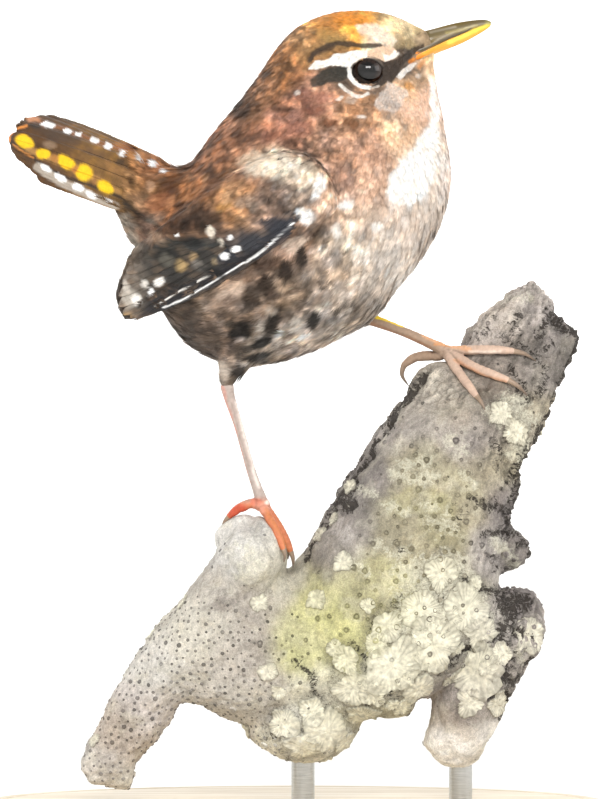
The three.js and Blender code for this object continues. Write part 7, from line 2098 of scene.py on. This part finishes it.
piece("tail_plumage", tail_v, tail_f, firm, "tail_feathers", ("tail",), colour=tail_c, extra=tail_l)
horn = tinted_material("bill_horn", 0.38, 900.0, 0.25, 0.00004, 0.5, 0.9, 1.1, (0.35, 1.0, 1.0), 0.15)
for upper, name, node, slot in ((True, "upper_bill", "bill_upper", "bill_horn"), (False, "lower_bill", "bill_lower", "bill_yellow")):
    v, f, c = bill_half(upper)
    piece(name, v, f, horn, slot, (node,), colour=c)
wet, rim_skin = eye_material(), tinted_material("lid_skin", 0.6, 2200.0, 0.5, 0.00006, 0.35, 0.8, 1.15)
scaled, claw_horn = tinted_material("leg_skin", 0.52, 1800.0, 0.45, 0.00005, 0.4, 0.88, 1.1), tinted_material("claw_horn", 0.35, 1500.0, 0.2, 0.00003, 0.5, 0.9, 1.1)
for side, name in ((-1, "right"), (1, "left")):
    v, f, c = eyeball(side)
    piece("eyeball_" + name, v, f, wet, "eye", ("eye_" + name,), colour=c)
    v, f, c = lids(side, SKIN)
    piece("lids_" + name, v, f, rim_skin, "eye", colour=c)
    body, claws = leg(side)
    piece("leg_and_toes_" + name, *body[:2], scaled, "leg_skin", ("leg_" + name, "foot_" + name), colour=body[2])
    piece("claws_" + name, *claws[:2], claw_horn, "leg_skin", colour=claws[2])
lichen = tinted_material("lichen", 0.85, 1600.0, 0.7, 0.00012, 0.15, 0.8, 1.15)
piece("branch", wood_v, wood_f, wood_material(), "lichened_wood", ("perch",), colour=np.clip(wood_c, 0, 1), extra=np.stack([dark, pale, granules], -1), run=np.stack([dark_run, pale_run, shadow], -1))
for name, v, f, c in (("lichen_rosettes", rose_v, rose_f, rose_c), ("lichen_cups", cup_v, cup_f, cup_c), ("lichen_dots", dot_v, dot_f, dot_c)):
    piece(name, v, f, lichen, "lichened_wood", colour=np.clip(c, 0, 1))
v, f = stand_base()
piece("display_base", v, f, maple(), "stand_wood", ("stand_base",))
metal = steel()
for k, (x, y) in enumerate(RODS):
    v, f = rod(x, y)
    piece("display_rod_%d" % (k + 1), v, f, metal, "stand_steel", ("stand_rod_%d" % (k + 1),))

# ------------------------------------------------------------------ floor, camera, lights
LOOK = Vector((0.000862, 0.0, 0.074345))
AWAY, RISE = 1.3776, math.radians(2.0)


def backdrop():
    """Pale floor that runs up into a wall on every side, without a corner."""
    a = np.arange(96) / 96 * 2 * np.pi
    prof = [(0.0, 0.0), (0.15, 0), (0.3, 0), (0.5, 0), (0.8, 0), (1.2, 0), (1.8, 0), (2.4, 0)] + [(2.4 + 1.6 * math.sin(t), 1.6 - 1.6 * math.cos(t)) for t in np.linspace(0.1, math.pi / 2, 14)] + [(4.0, 2.6), (4.0, 4.0)]
    v = np.array([[0, 0, 0]] + [[r * math.cos(t), r * math.sin(t), z] for r, z in prof[1:] for t in a])
    n = len(prof) - 1
    quads = [[1 + i * 96 + j, 1 + i * 96 + (j + 1) % 96, 1 + (i + 1) * 96 + (j + 1) % 96, 1 + (i + 1) * 96 + j] for i in range(n - 1) for j in range(96)]
    tris = [[0, 1 + (j + 1) % 96, 1 + j] for j in range(96)]
    return v, [np.array(quads)[:, ::-1], np.array(tris)[:, ::-1]]


v, f = backdrop()
me = raw_mesh("studio_floor", v, f, 1.0)
floor = bpy.data.objects.new("studio_floor", me)
bpy.context.scene.collection.objects.link(floor)
n = Nodes("studio_paper")
reach = n.new("ShaderNodeVectorMath", operation="LENGTH")
n.link(n.place(), reach.inputs[0])
n.set(Base_Color=n.ramp(n.noise(3.0, 3), [(0.3, "#f4f3f1"), (0.7, "#f7f6f4")]), Roughness=n.range(n.noise(8.0, 2), 0.3, 0.7, 0.9, 0.97))
depth = n.new("ShaderNodeSeparateXYZ")
n.link(n.place(), depth.inputs[0])
n.set(Emission_Strength=n.math("MULTIPLY", n.range(reach.outputs["Value"], 0.25, 2.2, 0.0, 1.0), n.range(depth.outputs[1], -1.6, 0.2, 0.22, 0.62)))    # paper lit from behind, less so in front
n.shader.inputs["Emission Color"].default_value = (1, 1, 1, 1)
n.shader.inputs["Specular IOR Level"].default_value = 0.1
me.materials.append(n.m)

cam = bpy.data.cameras.new("view")
cam.type, cam.lens, cam.sensor_width, cam.clip_start, cam.clip_end = "PERSP", 360.0, 36.0, 0.05, 50.0
eye = bpy.data.objects.new("view", cam)
eye.location = LOOK + Vector((0, -math.cos(RISE), math.sin(RISE))) * AWAY
eye.rotation_euler = (math.radians(90) - RISE, 0, 0)
bpy.context.scene.collection.objects.link(eye)
bpy.context.scene.camera = eye


def lamp(name, place, look, size, power_w, shape="RECTANGLE", tint=(1, 1, 1)):
    d = bpy.data.lights.new(name, "AREA")
    d.shape, d.size, d.size_y, d.energy, d.color = shape, size[0], size[1], power_w, tint
    ob = bpy.data.objects.new(name, d)
    ob.location = place
    ob.rotation_euler = (Vector(look) - Vector(place)).to_track_quat("-Z", "Y").to_euler()
    bpy.context.scene.collection.objects.link(ob)


lamp("key", (0.10, -0.83, 0.66), (0, 0, 0.08), (0.60, 0.17), 5.6, tint=(1.0, 0.985, 0.96))
lamp("front", (0.95, -0.35, 0.45), (0, 0, 0.08), (0.5, 0.5), 1.6)
lamp("rear", (-0.7, 0.55, 0.7), (0, 0, 0.08), (0.5, 0.5), 3.0)
world = bpy.data.worlds.new("studio")
world.use_nodes = True
world.node_tree.nodes["Background"].inputs[0].default_value = (1, 1, 1, 1)
world.node_tree.nodes["Background"].inputs[1].default_value = 0.5
bpy.context.scene.world = world
bpy.context.scene.view_settings.view_transform = "Standard"
